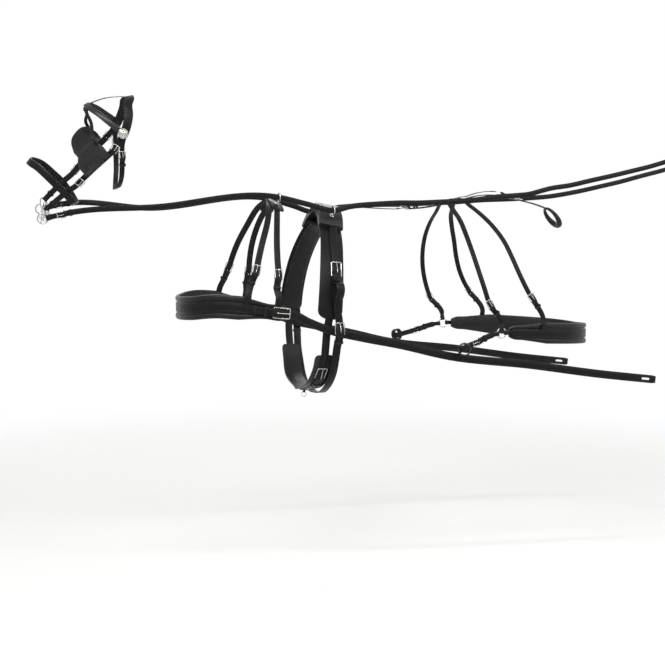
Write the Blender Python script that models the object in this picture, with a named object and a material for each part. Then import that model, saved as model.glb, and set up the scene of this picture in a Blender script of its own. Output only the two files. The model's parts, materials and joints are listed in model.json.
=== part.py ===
# Single driving harness with a breast collar, laid as it is worn.
# X runs from the horse's nose to its tail, Z is up, and the near side is -Y.
# The origin is on the horse's back, under the middle of the driving saddle.
import functools
import math

import bmesh
import bpy
import numpy as np

for old_object in list(bpy.data.objects):
    bpy.data.objects.remove(old_object, do_unlink=True)

# Gaps between pieces
GAP = 0.0003              # between pieces that touch
SLACK = 0.0015            # between layers that are laid on lines of their own
BITE = 0.0006             # how far a keeper is let into the strap that carries it
LAY = 0.0011              # between a billet and the strap that it lies on

# The horse that the harness is cut for
BODY_LENGTH = 1.84        # from the chest to the point of the buttock
BODY_DEPTH = 0.70         # from the back down to the girth
BODY_WIDTH = 0.62         # across the barrel
SADDLE_SHARE = 0.3397     # how far along the body the saddle sits
HEAD_LENGTH = 0.60
HEAD_DEPTH = 0.30
HEAD_WIDTH = 0.23
POLL_FORWARD = 0.7985     # the poll ahead of the saddle
POLL_RISE = 0.4724        # and above it
HEAD_NOD = math.radians(39.7)
HEAD_ROLL = math.radians(17.5)
HIGH_FULLNESS = 1.8       # how square the sections are above their widest place
LOW_FULLNESS = 2.4        # and below it

# Leather
LEATHER = 0.0030          # one strap
LINED = 0.0050            # a strap of two layers
LAY_STEP = 0.012          # fine steps along a laid strap, before they are thinned
LONGEST_STEP = 0.150      # the most between two of its bends
BEND = math.radians(13)   # the least that a strap turns between two of its bends
KEEPER_WALL = 0.0022
KEEPER_RUN = 0.010
TIP_SHARES = ((1.0, 1.0), (0.45, 0.80), (0.0, 0.22))   # distance from the end, width

# Buckles
SMALL_WIRE = 0.0034
LARGE_WIRE = 0.0046
FOLD_WALL = 0.0021        # leather folded round a buckle's bar
HOLE_RADIUS = 0.0029
LARGE_LAY_SHARE = 0.7     # how much more room a billet has on a large buckle, beside its wire
TONGUE_SHARE = 0.72       # a tongue's thickness beside its frame's

# Bridle
CHEEK_WIDTH = 0.022
CROWN_WIDTH = 0.034
BROW_WIDTH = 0.023
NOSE_WIDTH = 0.028
THROAT_WIDTH = 0.019
STAY_WIDTH = 0.016
BRIDLE_BUCKLE = 0.026     # inside length of the frame
ROSETTE_RADIUS = 0.019
ROSETTE_DOME = 0.008
WINKER_HEIGHT = 0.096
WINKER_THICKNESS = 0.004
BIT_RING_RADIUS = 0.0205
BIT_RING_WIRE = 0.0050
MOUTH_RADIUS = 0.0065
MOUTH_HALF = 0.068
CURB_WIRE = 0.0024
CURB_RADIUS = 0.0075
CURB_LINKS = 9
CURB_GRIP = 0.45          # how far two links are let into each other, beside their wire

# Reins
REIN_WIDTH = 0.021
REIN_BUCKLE = 0.026

# Breast collar, neck strap and traces
COLLAR_HALF_WIDTH = 0.264
COLLAR_REACH = 0.400
COLLAR_HEIGHT = 0.092
COLLAR_PAD = 0.016
COLLAR_FULLNESS = 2.4
FACE_WIDTH = 0.036
FACE_THICKNESS = 0.0042
NECK_WIDTH = 0.027
NECK_BUCKLE = 0.034
NECK_PAD = 0.0078         # the stiff top of the neck strap
NECK_TERRET_OUT = 0.068   # along the neck strap from its middle
TRACE_WIDTH = 0.034
TRACE_BUCKLE = 0.058
TRACE_REACH = 1.47        # where the trace ends behind the origin
TRACE_SLOT = 0.040

# Saddle, backband, tugs, girth and bellyband
SEAT_LENGTH = 0.102       # along the back
SEAT_RISE = 0.076
FLAP_WIDTH = 0.100
FLAP_PAD = 0.012
FLAP_LEATHER = 0.004
BACKBAND_WIDTH = 0.032
TUG_BUCKLE = 0.054
SHAFT_SPACE = 0.046       # the shaft that a tug carries, with its clearance
SHAFT_CLEARANCE = 0.005   # from the widest part of the barrel to the middle of the shaft
SHAFT_SPREAD = BODY_WIDTH / 2 + SHAFT_CLEARANCE
GIRTH_WIDTH = 0.078
GIRTH_BILLET = 0.032
GIRTH_BUCKLE = 0.048
BELLY_WIDTH = 0.032
BELLY_BUCKLE = 0.040
TERRET_RADIUS = 0.0185
TERRET_WIRE = 0.0044
TERRET_STEM = 0.010
SADDLE_TERRET_TURN = 20   # degrees round the back
DEE_REACH = 0.016         # the dee for the backstrap behind the seat
GIRTH_RING_WIRE = 0.0026
GIRTH_RING_RADIUS = 0.0105

# Breeching, loin straps, backstrap and crupper
BREECH_HALF_WIDTH = 0.285
BREECH_REACH = 0.500
BREECH_HEIGHT = 0.088
BREECH_PAD = 0.015
BREECH_FULLNESS = 2.4
LOIN_WIDTH = 0.023
LOIN_BUCKLE = 0.032
BACKSTRAP_WIDTH = 0.030
BREECH_RING_RADIUS = 0.0205
BREECH_RING_WIRE = 0.0050
HOLDBACK_WIDTH = 0.024
DOCK_RADIUS = 0.013


# Curves through given places

def smooth(places, values, at):
    """The value at one place of a curve that has no kink where the given values meet."""
    places = np.asarray(places, float)
    values = np.asarray(values, float)
    slopes = np.gradient(values, places, axis=0)
    i = int(np.clip(np.searchsorted(places, at) - 1, 0, len(places) - 2))
    step = places[i + 1] - places[i]
    t = (at - places[i]) / step
    start = (2 * t**3 - 3 * t**2 + 1) * values[i] + (t**3 - 2 * t**2 + t) * step * slopes[i]
    end = (3 * t**2 - 2 * t**3) * values[i + 1] + (t**3 - t**2) * step * slopes[i + 1]
    return start + end


def unit(vector):
    return vector / np.linalg.norm(vector)


def evenly(points, step):
    """Points a step apart, or a little less, on a smooth curve through the given ones."""
    points = np.asarray(points, float)
    runs = np.linalg.norm(np.diff(points[:, :3], axis=0), axis=1)
    places = np.concatenate([[0], np.cumsum(runs)])
    count = max(2, int(round(places[-1] / step)))
    return np.array([smooth(places, points, at) for at in np.linspace(0, places[-1], count + 1)])


def thinned(points, outs, bend=BEND):
    """Drops the places between which a line hardly turns."""
    points, outs = np.array(points), np.array(outs)
    along = np.gradient(points, axis=0)
    along /= np.linalg.norm(along, axis=1)[:, None]
    outs = outs / np.linalg.norm(outs, axis=1)[:, None]
    kept = [0]
    for i in range(1, len(points) - 1):
        last = kept[-1]
        turned_by = max(math.acos(min(1, along[i] @ along[last])), math.acos(min(1, outs[i] @ outs[last])))
        if turned_by > bend or np.linalg.norm(points[i] - points[last]) > LONGEST_STEP - LAY_STEP:
            kept.append(i)
    kept.append(len(points) - 1)
    return points[kept], outs[kept]


# The body and the head that the straps are laid on

class Form:
    """Closed sections along an axis. Rows: along, top, widest, bottom, half width, all shares."""

    def __init__(self, size, rows, place, axes):
        self.length, self.depth, self.width = size
        self.rows = np.array(rows)
        self.place = np.array(place)
        self.along, self.up, self.near = [np.array(axis) for axis in axes]

    def local(self, length, rise, out):
        """A place given by its distances along, up and towards the near side."""
        return self.place + length * self.along + rise * self.up + out * self.near

    def point(self, share, turn):
        """The skin at a share of the length, turned in degrees from the top to the near side."""
        top, widest, bottom, half = smooth(self.rows[:, 0], self.rows[:, 1:], share)
        rise, spread = math.cos(math.radians(turn)), math.sin(math.radians(turn))
        fullness, edge = (HIGH_FULLNESS, top) if rise > 0 else (LOW_FULLNESS, bottom)
        height = widest + (edge - widest) * abs(rise) ** (2 / fullness)
        out = half * math.copysign(abs(spread) ** (2 / fullness), spread)
        return self.local(share * self.length, height * self.depth, out * self.width / 2)

    def normal(self, share, turn):
        nudge = 1.0
        down = self.point(share, turn + nudge) - self.point(share, turn - nudge)
        back = self.point(share + nudge / 90, turn) - self.point(share - nudge / 90, turn)
        out = unit(np.cross(down, back))
        middle = self.local(share * self.length, self.rows[:, 2].mean() * self.depth, 0)
        return out if out @ (self.point(share, turn) - middle) > 0 else -out

    def lifted(self, share, turn, lift):
        return self.point(share, turn) + lift * self.normal(share, turn)


TRUNK_SHARES = (
    (0.057, 0.430, -0.430, -0.800, 0.52),
    (0.128, 0.300, -0.490, -0.886, 0.79),
    (0.193, 0.150, -0.514, -0.936, 0.845),
    (0.258, 0.079, -0.514, -0.971, 0.858),
    (0.329, 0.000, -0.514, -0.986, 0.865),
    (0.410, -0.007, -0.500, -0.979, 0.920),
    (0.492, 0.014, -0.486, -0.964, 0.984),
    (0.573, 0.057, -0.457, -0.921, 1.000),
    (0.655, 0.114, -0.430, -0.857, 0.984),
    (0.736, 0.160, -0.414, -0.814, 0.968),
    (0.802, 0.143, -0.414, -0.800, 0.935),
    (0.856, 0.097, -0.430, -0.800, 0.870),
    (0.899, 0.043, -0.443, -0.800, 0.774),
    (0.954, -0.114, -0.471, -0.800, 0.580),
)
HEAD_SHARES = (
    (-0.08, -0.060, -0.300, -0.560, 0.52),
    (0.00, 0.015, -0.270, -0.670, 0.65),
    (0.10, 0.150, -0.270, -0.780, 0.83),
    (0.20, 0.220, -0.270, -0.830, 0.94),
    (0.333, 0.243, -0.270, -0.830, 0.98),
    (0.50, 0.220, -0.283, -0.750, 0.90),
    (0.667, 0.157, -0.300, -0.667, 0.73),
    (0.833, 0.067, -0.317, -0.617, 0.59),
    (1.00, -0.100, -0.333, -0.533, 0.45),
)


def rolled(vector):
    """A direction of the upright head, tipped so that its far side is higher."""
    x, y, z = vector
    cos, sin = math.cos(HEAD_ROLL), math.sin(HEAD_ROLL)
    return np.array([x, y * cos - z * sin, y * sin + z * cos])


NOD_COS, NOD_SIN = math.cos(HEAD_NOD), math.sin(HEAD_NOD)
HEAD_ALONG = rolled((-NOD_COS, 0, -NOD_SIN))
HEAD_UP = rolled((-NOD_SIN, 0, NOD_COS))
HEAD_NEAR = rolled((0, -1, 0))
trunk = Form(
    (BODY_LENGTH, BODY_DEPTH, BODY_WIDTH),
    TRUNK_SHARES,
    (-SADDLE_SHARE * BODY_LENGTH, 0, 0),
    ((1, 0, 0), (0, 0, 1), (0, -1, 0)),
)
head = Form(
    (HEAD_LENGTH, HEAD_DEPTH, HEAD_WIDTH),
    HEAD_SHARES,
    (-POLL_FORWARD, 0, POLL_RISE),
    (HEAD_ALONG, HEAD_UP, HEAD_NEAR),
)
OUTWARD = np.array([0, -1.0, 0])
BODY_MIRROR = (np.zeros(3), OUTWARD)


def on_trunk(along, out, up):
    """A near place given by shares of the body's length, half width and depth."""
    return trunk.local(along * BODY_LENGTH, up * BODY_DEPTH, out * BODY_WIDTH / 2)


HEAD_MIRROR = (head.place, HEAD_NEAR)


def mirrored_points(points, mirror):
    place, normal = mirror
    points = np.asarray(points, float)
    return points - 2 * ((points - place) @ normal)[..., None] * normal


# Lines that the leather is laid along

class Line:
    """Places, outward and edgeways directions. A piece is drawn flat, then bent along them."""

    def __init__(self, points, outs, closed=False):
        self.points = np.array(points)
        if closed:
            wrapped = np.vstack([self.points[-2:-1], self.points, self.points[1:2]])
            along = np.gradient(wrapped, axis=0)[1:-1]
        else:
            along = np.gradient(self.points, axis=0)
        along /= np.linalg.norm(along, axis=1)[:, None]
        outs = np.array(outs, float)
        outs -= (outs * along).sum(axis=1)[:, None] * along
        self.outs = outs / np.linalg.norm(outs, axis=1)[:, None]
        self.edges = np.cross(along, self.outs)
        runs = np.linalg.norm(np.diff(self.points, axis=0), axis=1)
        self.at = np.concatenate([[0], np.cumsum(runs)])
        self.length = self.at[-1]

    def place(self, run, across, out):
        """Where a spot of the flat piece lies: its run along the line, across it and out of it."""
        i = int(np.clip(np.searchsorted(self.at, run, side="right") - 1, 0, len(self.at) - 2))
        t = (run - self.at[i]) / (self.at[i + 1] - self.at[i])
        point, edge, direction = [
            rows[i] * (1 - t) + rows[i + 1] * t for rows in (self.points, self.edges, self.outs)
        ]
        return point + across * edge + out * direction

    def bends(self, start, end):
        return [run for run in self.at if start + GAP < run < end - GAP]

    def nearest(self, place):
        """How far along the line a place is."""
        runs = np.linspace(0, self.length, 8 * len(self.at))
        gaps = [np.linalg.norm(self.place(run, 0, 0) - place) for run in runs]
        return runs[int(np.argmin(gaps))]


def joined_over(points, outs, mirror, first):
    """One line from a half: over the top where the half starts, or under where it ends."""
    far_points = mirrored_points(points, mirror)
    far_outs = mirrored_points(np.asarray(points) + outs, mirror) - far_points
    if first == "top":
        return Line(
            np.vstack([points[::-1], far_points[1:]]), np.vstack([outs[::-1], far_outs[1:]])
        )
    return Line(
        np.vstack([points, far_points[-2::-1]]), np.vstack([outs, far_outs[-2::-1]])
    )


class Half:
    """The near half of a line, from its top, with the lines made from it."""

    def __init__(self, points, outs, mirror):
        self.points, self.outs, self.mirror = np.array(points), np.array(outs), mirror
        self.side = Line(self.points, self.outs)

    @functools.cached_property
    def over(self):
        return joined_over(self.points, self.outs, self.mirror, "top")

    @functools.cached_property
    def under(self):
        return joined_over(self.points, self.outs, self.mirror, "bottom")


def laid(form, rows, mirror):
    """The near half of a line on the skin. Rows: share of the length, turn, lift."""
    rows = np.array(rows, float)
    places = np.array([form.lifted(*row) for row in rows])
    dense = evenly(np.hstack([places, rows]), LAY_STEP)
    outs = [form.normal(share, turn) for share, turn in dense[:, 3:5]]
    return Half(*thinned(dense[:, :3], outs), mirror)


def freely(places, outs, mirror=BODY_MIRROR):
    """The near half of a line through places in the air, with a direction for each."""
    dense = evenly(np.hstack([np.array(places, float), np.array(outs, float)]), LAY_STEP)
    return Half(*thinned(dense[:, :3], dense[:, 3:]), mirror)


# Shapes: lists of corners and faces

def loft(rings, closed=False):
    """A skin over closed rings of equal count, with flat ends unless it is closed."""
    rings = [np.asarray(ring) for ring in rings]
    count = len(rings[0])
    corners = np.vstack(rings)
    faces = []
    for k in range(len(rings) if closed else len(rings) - 1):
        here, there = k * count, (k + 1) % len(rings) * count
        for i in range(count):
            j = (i + 1) % count
            faces.append((here + i, here + j, there + j, there + i))
    if not closed:
        faces.append(tuple(range(count))[::-1])
        faces.append(tuple(len(corners) - count + i for i in range(count)))
    return corners, faces


def mirrored(shape, mirror=BODY_MIRROR):
    corners, faces = shape
    return mirrored_points(corners, mirror), [face[::-1] for face in faces]


def tube(path, radius, sides=6, closed=False, flat=1.0):
    """A round wire along a path, or a flattened one."""
    path = np.array(path, float)
    if closed:
        along = np.roll(path, -1, axis=0) - np.roll(path, 1, axis=0)
    else:
        along = np.gradient(path, axis=0)
    along /= np.linalg.norm(along, axis=1)[:, None]
    best = np.argmin(np.abs(along).max(axis=0))
    across = np.cross(along[0], np.eye(3)[best])
    rings = []
    radii = np.broadcast_to(radius, len(path))
    for point, direction, size in zip(path, along, radii):
        across = unit(across - (across @ direction) * direction)
        other = np.cross(direction, across)
        turns = [2 * math.pi * (i + 0.5) / sides for i in range(sides)]
        ring = [
            point + size * (math.cos(turn) * across + flat * math.sin(turn) * other)
            for turn in turns
        ]
        rings.append(ring)
    return loft(rings, closed)


def ring_shape(place, axis, radius, wire, turns=24, sides=6):
    """A round ring of wire about an axis."""
    axis = unit(np.array(axis, float))
    first = unit(np.cross(axis, np.eye(3)[int(np.argmin(np.abs(axis)))]))
    second = np.cross(axis, first)
    rings = []
    for i in range(turns):
        angle = 2 * math.pi * i / turns
        out = math.cos(angle) * first + math.sin(angle) * second
        ring = []
        for j in range(sides):
            tilt = 2 * math.pi * (j + 0.5) / sides
            away, aside = radius + wire / 2 * math.cos(tilt), wire / 2 * math.sin(tilt)
            ring.append(place + away * out + aside * axis)
        rings.append(ring)
    return loft(rings, closed=True)


def turned(place, axis, profile, sides=16):
    """A turned piece. Profile: radius and height along the axis, from its foot to its top."""
    axis = unit(np.array(axis, float))
    first = unit(np.cross(axis, np.eye(3)[int(np.argmin(np.abs(axis)))]))
    second = np.cross(axis, first)
    rings = []
    for radius, height in profile:
        turns = [2 * math.pi * i / sides for i in range(sides)]
        rings.append(
            [place + height * axis + radius * (math.cos(t) * first + math.sin(t) * second) for t in turns]
        )
    return loft(rings)


def slab(line, rows, closed=False):
    """A strap. Rows: run along the line, half width, inner face, outer face."""
    rows = sorted(rows)
    runs = [row[0] for row in rows]
    inner = [run for run in line.bends(runs[0], runs[-1]) if min(abs(run - r) for r in runs) > GAP]
    rings = []
    for run in sorted(runs + inner):
        half, low, high = [np.interp(run, runs, [row[k] for row in rows]) for k in (1, 2, 3)]
        corners = ((-half, low), (half, low), (half, high), (-half, high))
        rings.append([line.place(run, across, out) for across, out in corners])
    return loft(rings[:-1] if closed else rings, closed)


def padded(line, rows, profile_shares):
    """A pad. Rows as a strap's. Profile: shares of the half width and of the thickness."""
    runs = [row[0] for row in rows]
    rings = []
    for run in sorted(set(runs) | set(line.bends(runs[0], runs[-1]))):
        half, low, high = [np.interp(run, runs, [row[k] for row in rows]) for k in (1, 2, 3)]
        rings.append(
            [line.place(run, half * across, low + (high - low) * out) for across, out in profile_shares]
        )
    return loft(rings)


def block(line, start, end, half, low, high):
    return slab(line, [(start, half, low, high), (end, half, low, high)])


def slot_cutter(line, start, end, half, low, high):
    """A cutter for a slot with round ends, along the line."""
    outline = []
    for middle, first in ((end - half, 90), (start + half, 270)):
        for k in range(4):
            turn = math.radians(first - 60 * k)
            outline.append((middle + half * math.cos(turn), half * math.sin(turn)))
    return loft([[line.place(run, across, out) for run, across in outline] for out in (low, high)])


def pin(line, run, across, out, half, radius, sides=6):
    """A round bar that lies across the line."""
    places = [line.place(run, across - half, out), line.place(run, across + half, out)]
    return tube(places, radius, sides)


def punch(line, run, low, high, radius=HOLE_RADIUS, sides=6):
    """A cutter for a punched hole."""
    return tube([line.place(run, 0, low), line.place(run, 0, high)], radius, sides)


def tip_rows(end, sense, half, low, high):
    """The rows of a strap's pointed end. Sense is +1 where the line runs towards the end."""
    return [(end - sense * back * 2 * half, half * width, low, high) for back, width in TIP_SHARES]


def both_ends(line, rows):
    return rows + [(line.length - run, half, low, high) for run, half, low, high in rows]


# Buckles

class Buckle:
    """A buckle on the folded end of one strap, and the billet of another that passes through it.

    Sense is +1 where the billet comes from farther along the line. Low is the inner face of the
    strap that carries the buckle, and half is half the billet's width."""

    def __init__(self, line, run, sense, half, low, chape, billet, length, wire):
        self.line, self.run, self.sense = line, run, sense
        self.half, self.low, self.chape, self.billet = half, low, chape, billet
        self.radius = wire / 2
        self.fold = self.radius + GAP + FOLD_WALL
        self.bar_out = low + self.fold
        self.front = run + sense * (length + wire)
        self.front_out = low + billet + LAY / 2 + self.radius
        self.chape_half = half + GAP + BITE
        self.side = self.chape_half + 2 * GAP + self.radius
        self.lay = LAY + (wire - SMALL_WIRE) * LARGE_LAY_SHARE
        self.over = low + 2 * self.fold + self.lay
        self.hole = run + sense * (self.fold + HOLE_RADIUS)
        self.tongue_radius = self.radius * TONGUE_SHARE
        self.pivot = line.place(run, 0, self.bar_out)
        self.axis = unit(line.place(run, 1, self.bar_out) - self.pivot)

    def level(self, run):
        share = (run - self.run) / (self.front - self.run)
        return self.bar_out + (self.front_out - self.bar_out) * share

    def frame(self, sides=4, corner=2):
        """The frame, a rounded rectangle of wire. One of its sides is the bar."""
        reach = abs(self.front - self.run)
        path = []
        for end, side, first in ((0, 1, 180), (1, 1, 90), (1, -1, 0), (0, -1, -90)):
            round_off = self.radius * (2.4 if end else 1.0)
            middle = end * reach + (1 - 2 * end) * round_off
            for k in range(corner):
                turn = math.radians(first - 90 * k / (corner - 1))
                run = self.run + self.sense * (middle + round_off * math.cos(turn))
                across = side * (self.side - round_off) + round_off * math.sin(turn)
                path.append(self.line.place(run, across, self.level(run)))
        return tube(path, self.radius, sides, closed=True)

    def tongue(self, loose=False):
        thick = self.tongue_radius
        hole = abs(self.hole - self.run)
        reach = abs(self.front - self.run)
        top = self.over + self.billet + thick
        rest = self.front_out + self.radius + thick + GAP
        start = self.radius + thick / 2 if loose else 0
        spots = (
            (start, self.bar_out + self.radius * (0.6 if loose else 0)),
            (hole, self.bar_out + self.radius + GAP),
            (hole + thick, top),
            (reach, rest),
            (reach + 2 * thick, rest),
        )
        path = [self.line.place(self.run + self.sense * run, 0, out) for run, out in spots]
        return tube(path, thick, 4)

    def tongue_eye(self):
        """The closed end of a loose tongue, round the bar."""
        return pin(self.line, self.run, 0, self.bar_out, self.tongue_radius, self.eye_radius(), 8)

    def eye_radius(self):
        return self.radius + 2 * GAP + 1.2 * self.tongue_radius

    def bar_hole(self):
        return pin(self.line, self.run, 0, self.bar_out, 2 * self.side, self.radius + 2 * GAP)

    def tongue_slot(self):
        """A cutter for the slot in the fold, in which a loose tongue turns."""
        half = self.tongue_radius + SLACK * 0.6
        behind = self.run - self.sense * self.eye_radius() * 1.4
        start, end = sorted((behind, self.run + self.sense * 2 * self.fold))
        return block(self.line, start, end, half, self.low - self.fold, self.over - self.lay / 2)

    def chape_rows(self, sink=0.0):
        """The end of the strap that carries the buckle, from its plain part to its fold."""
        sense, run, fold, low = self.sense, self.run, self.fold, self.low
        plain = (run - sense * 2.2 * fold, self.chape_half, low - sink, low + self.chape)
        spots = ((-1.0, 0.0, 1.7), (0.0, 0.0, 2.0), (0.7, 0.3, 1.7), (1.0, 0.65, 1.35))
        rows = [plain]
        for along, lower, upper in spots:
            inner = low + lower * fold - sink * (along <= 0)
            rows.append((run + sense * along * fold, self.chape_half, inner, low + upper * fold))
        return rows

    def billet_rows(self, tip, sink=0.0):
        """The billet from where it enters the frame to its pointed end, a run beyond the bar."""
        sense, run, fold, low = self.sense, self.run, self.fold, self.low
        half, thick = self.half, self.billet
        laid_low = low + self.chape + self.lay - sink
        rows = [
            (self.front, half, low, low + thick),
            (run + sense * 1.2 * fold, half, self.over, self.over + thick),
            (run - sense * 1.2 * fold, half, self.over, self.over + thick),
            (run - sense * 3.2 * fold, half, laid_low, laid_low + thick),
        ]
        return rows + tip_rows(run - sense * tip, -sense, half, laid_low, laid_low + thick)

    def billet_hole(self):
        middle = self.hole + self.sense * self.tongue_radius / 2
        return punch(self.line, middle, self.low, self.over + 3 * self.billet)

    def loop(self, back):
        """A keeper on the strap that carries the buckle, a distance behind the bar."""
        middle = self.run - self.sense * back
        half, wall = self.half + GAP, KEEPER_WALL
        foot = self.low + BITE
        high = self.low + self.chape + LAY + self.billet + LAY
        section = (
            (-half - wall, foot), (-half - wall, high + wall), (half + wall, high + wall), (half + wall, foot),
            (half, foot), (half, high), (-half, high), (-half, foot),
        )
        ends = (middle - KEEPER_RUN / 2, middle + KEEPER_RUN / 2)
        return loft([[self.line.place(end, across, out) for across, out in section] for end in ends])


def ring_fold(line, run, sense, half, thick, wire, middle, swell):
    """The end of a strap, folded round a ring. Middle is the ring's height out of the line."""
    hole = wire / 2 + 2 * GAP + swell
    outer = hole + FOLD_WALL
    spots = ((-2.4, None, None), (-1.0, 0.8, 0.8), (-0.2, 1.0, 1.0), (0.55, 0.83, 0.83), (1.0, 0.35, 0.35))
    rows = []
    for along, lower, upper in spots:
        low = middle - thick / 2 if lower is None else middle - lower * outer
        high = middle + thick / 2 if upper is None else middle + upper * outer
        rows.append((run + sense * along * outer, half, low, high))
    return rows, pin(line, run, 0, middle, 2 * half, hole, 8)


# Nodes

FINISHES = {
    "leather": ((0.012, 0.012, 0.013), 0.42, 0.0),
    "soft leather": ((0.016, 0.016, 0.017), 0.55, 0.0),
    "nickel": ((0.74, 0.74, 0.72), 0.22, 1.0),
    "steel": ((0.62, 0.62, 0.62), 0.25, 1.0),
}
SMOOTH_ANGLE = math.radians(38)
FLAT_ANGLE = math.radians(0.4)
WELD = 0.000004


def object_of(name, shape):
    corners, faces = shape
    mesh = bpy.data.meshes.new(name)
    mesh.from_pydata([tuple(corner) for corner in corners], [], [tuple(face) for face in faces])
    flat = bmesh.new()
    flat.from_mesh(mesh)
    bmesh.ops.triangulate(flat, faces=flat.faces)
    bmesh.ops.recalc_face_normals(flat, faces=flat.faces)
    flat.to_mesh(mesh)
    flat.free()
    made = bpy.data.objects.new(name, mesh)
    bpy.context.scene.collection.objects.link(made)
    return made


def combine(base, shape, operation):
    tool = object_of("tool", shape)
    modifier = base.modifiers.new("join", "BOOLEAN")
    modifier.operation = operation
    modifier.solver = "EXACT"
    modifier.object = tool
    graph = bpy.context.evaluated_depsgraph_get()
    result = bpy.data.meshes.new_from_object(base.evaluated_get(graph))
    base.modifiers.clear()
    welded = bmesh.new()
    welded.from_mesh(result)
    bmesh.ops.remove_doubles(welded, verts=welded.verts, dist=WELD)
    bmesh.ops.dissolve_degenerate(welded, edges=welded.edges, dist=WELD)
    bmesh.ops.triangulate(welded, faces=welded.faces)
    welded.to_mesh(result)
    welded.free()
    base.data = result
    bpy.data.objects.remove(tool, do_unlink=True)


def tidy(mesh):
    """Takes away the corners that the joining left on flat faces and straight edges."""
    flat = bmesh.new()
    flat.from_mesh(mesh)
    bmesh.ops.dissolve_limit(flat, angle_limit=FLAT_ANGLE, verts=flat.verts, edges=flat.edges)
    bmesh.ops.triangulate(flat, faces=flat.faces)
    flat.to_mesh(mesh)
    flat.free()


def node(name, finish, adds, cuts=(), pivot=None):
    """One piece: its shapes joined, its holes cut, its finish, and its origin on its pivot."""
    made = object_of(name, adds[0])
    for shape in adds[1:]:
        combine(made, shape, "UNION")
    for shape in cuts:
        combine(made, shape, "DIFFERENCE")
    tidy(made.data)
    colour, roughness, metallic = FINISHES[finish]
    material = bpy.data.materials.new(name)
    material.use_nodes = True
    shader = material.node_tree.nodes["Principled BSDF"]
    shader.inputs["Base Color"].default_value = (*colour, 1)
    shader.inputs["Roughness"].default_value = roughness
    shader.inputs["Metallic"].default_value = metallic
    made.data.materials.clear()
    made.data.materials.append(material)
    if pivot is not None:
        for vertex in made.data.vertices:
            vertex.co = [a - b for a, b in zip(vertex.co, pivot)]
        made.location = pivot
    made.data.shade_smooth()
    made.data.set_sharp_from_angle(angle=SMOOTH_ANGLE)
    return made


def pair(name, finish, adds, cuts=(), pivot=None, mirror=BODY_MIRROR):
    """A near piece and its mirror image on the far side."""
    node(f"{name}_left", finish, adds, cuts, pivot)
    far_pivot = None if pivot is None else mirrored_points(pivot, mirror)
    far_adds = [mirrored(shape, mirror) for shape in adds]
    far_cuts = [mirrored(shape, mirror) for shape in cuts]
    node(f"{name}_right", finish, far_adds, far_cuts, far_pivot)


# The bridle. The head's own places are shares of its length, depth and half width.

def on_head(along, up, out):
    return head.local(along * HEAD_LENGTH, up * HEAD_DEPTH, out * HEAD_WIDTH / 2)


# The bit lies across the mouth. A loop on each end carries the cheekpiece, and a loose ring the rein.

BIT_LOOP_WIRE = 0.0040
BIT_LOOP_OUT = LEATHER / 2
BIT_AXIS_SHARES = (0.8825, -0.4617)
RING_SHARES = (0.9067, -0.5100)
bit_middle = on_head(*BIT_AXIS_SHARES, 0)
ring_middle = on_head(*RING_SHARES, 0) + MOUTH_HALF * head.near
bit_end = bit_middle + MOUTH_HALF * head.near

CURB_SHARES = ((0.930, -0.560, 0), (0.905, -0.545, 0.36))
CHEEK_LIFT = 0.001
CHEEK_TURNS = (
    (-0.014, 0, CHEEK_LIFT), (-0.0117, 20, CHEEK_LIFT), (0.019, 39, CHEEK_LIFT), (0.059, 65, CHEEK_LIFT),
    (0.112, 80, CHEEK_LIFT), (0.157, 88, CHEEK_LIFT), (0.201, 91.2, CHEEK_LIFT), (0.254, 93.2, CHEEK_LIFT),
    (0.429, 96.5, CHEEK_LIFT), (0.527, 99.7, CHEEK_LIFT), (0.585, 103, CHEEK_LIFT), (0.688, 104.2, CHEEK_LIFT),
    (0.756, 106, CHEEK_LIFT), (0.845, 110, CHEEK_LIFT),
)
THROAT_TURNS = (
    (0.130, 84, CHEEK_LIFT), (0.215, 97, CHEEK_LIFT), (0.249, 105, CHEEK_LIFT), (0.288, 116, CHEEK_LIFT),
    (0.349, 137.5, 2 * CHEEK_LIFT), (0.400, 160, 9 * CHEEK_LIFT), (0.425, 180, 13 * CHEEK_LIFT),
)
BROW_LIFT = CHEEK_LIFT + LEATHER + 1.3 * SLACK
BROW_TURNS = (
    (0.232, 0, BROW_LIFT), (0.224, 22, BROW_LIFT), (0.2015, 42, BROW_LIFT), (0.1805, 63, 1.15 * BROW_LIFT),
    (0.163, 80, 1.3 * BROW_LIFT), (0.157, 91, 1.35 * BROW_LIFT),
)
NOSE_LIFT = CHEEK_LIFT + 2 * LEATHER + 1.5 * SLACK
NOSE_TURNS = (
    (0.742, 0, CHEEK_LIFT), (0.737, 17, CHEEK_LIFT), (0.718, 39, CHEEK_LIFT), (0.704, 56, NOSE_LIFT),
    (0.691, 84, NOSE_LIFT), (0.6836, 102.5, NOSE_LIFT), (0.686, 131, NOSE_LIFT), (0.690, 152, CHEEK_LIFT),
    (0.690, 180, CHEEK_LIFT),
)
STAY_TURNS = ((-0.005, 0, CHEEK_LIFT), (0.10, 0, CHEEK_LIFT), (0.19, 0, CHEEK_LIFT), (0.235, 0, CHEEK_LIFT))

cheek_line = laid(head, CHEEK_TURNS, HEAD_MIRROR)
throat_line = laid(head, THROAT_TURNS, HEAD_MIRROR)
brow_line = laid(head, BROW_TURNS, HEAD_MIRROR)
nose_half = laid(head, NOSE_TURNS, HEAD_MIRROR)
far_nose = mirrored_points(nose_half.points, HEAD_MIRROR)
far_nose_outs = mirrored_points(nose_half.points + nose_half.outs, HEAD_MIRROR) - far_nose
nose_line = Line(
    np.vstack([nose_half.points, far_nose[-2::-1]]), np.vstack([nose_half.outs, far_nose_outs[-2::-1]]), True
)

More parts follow.
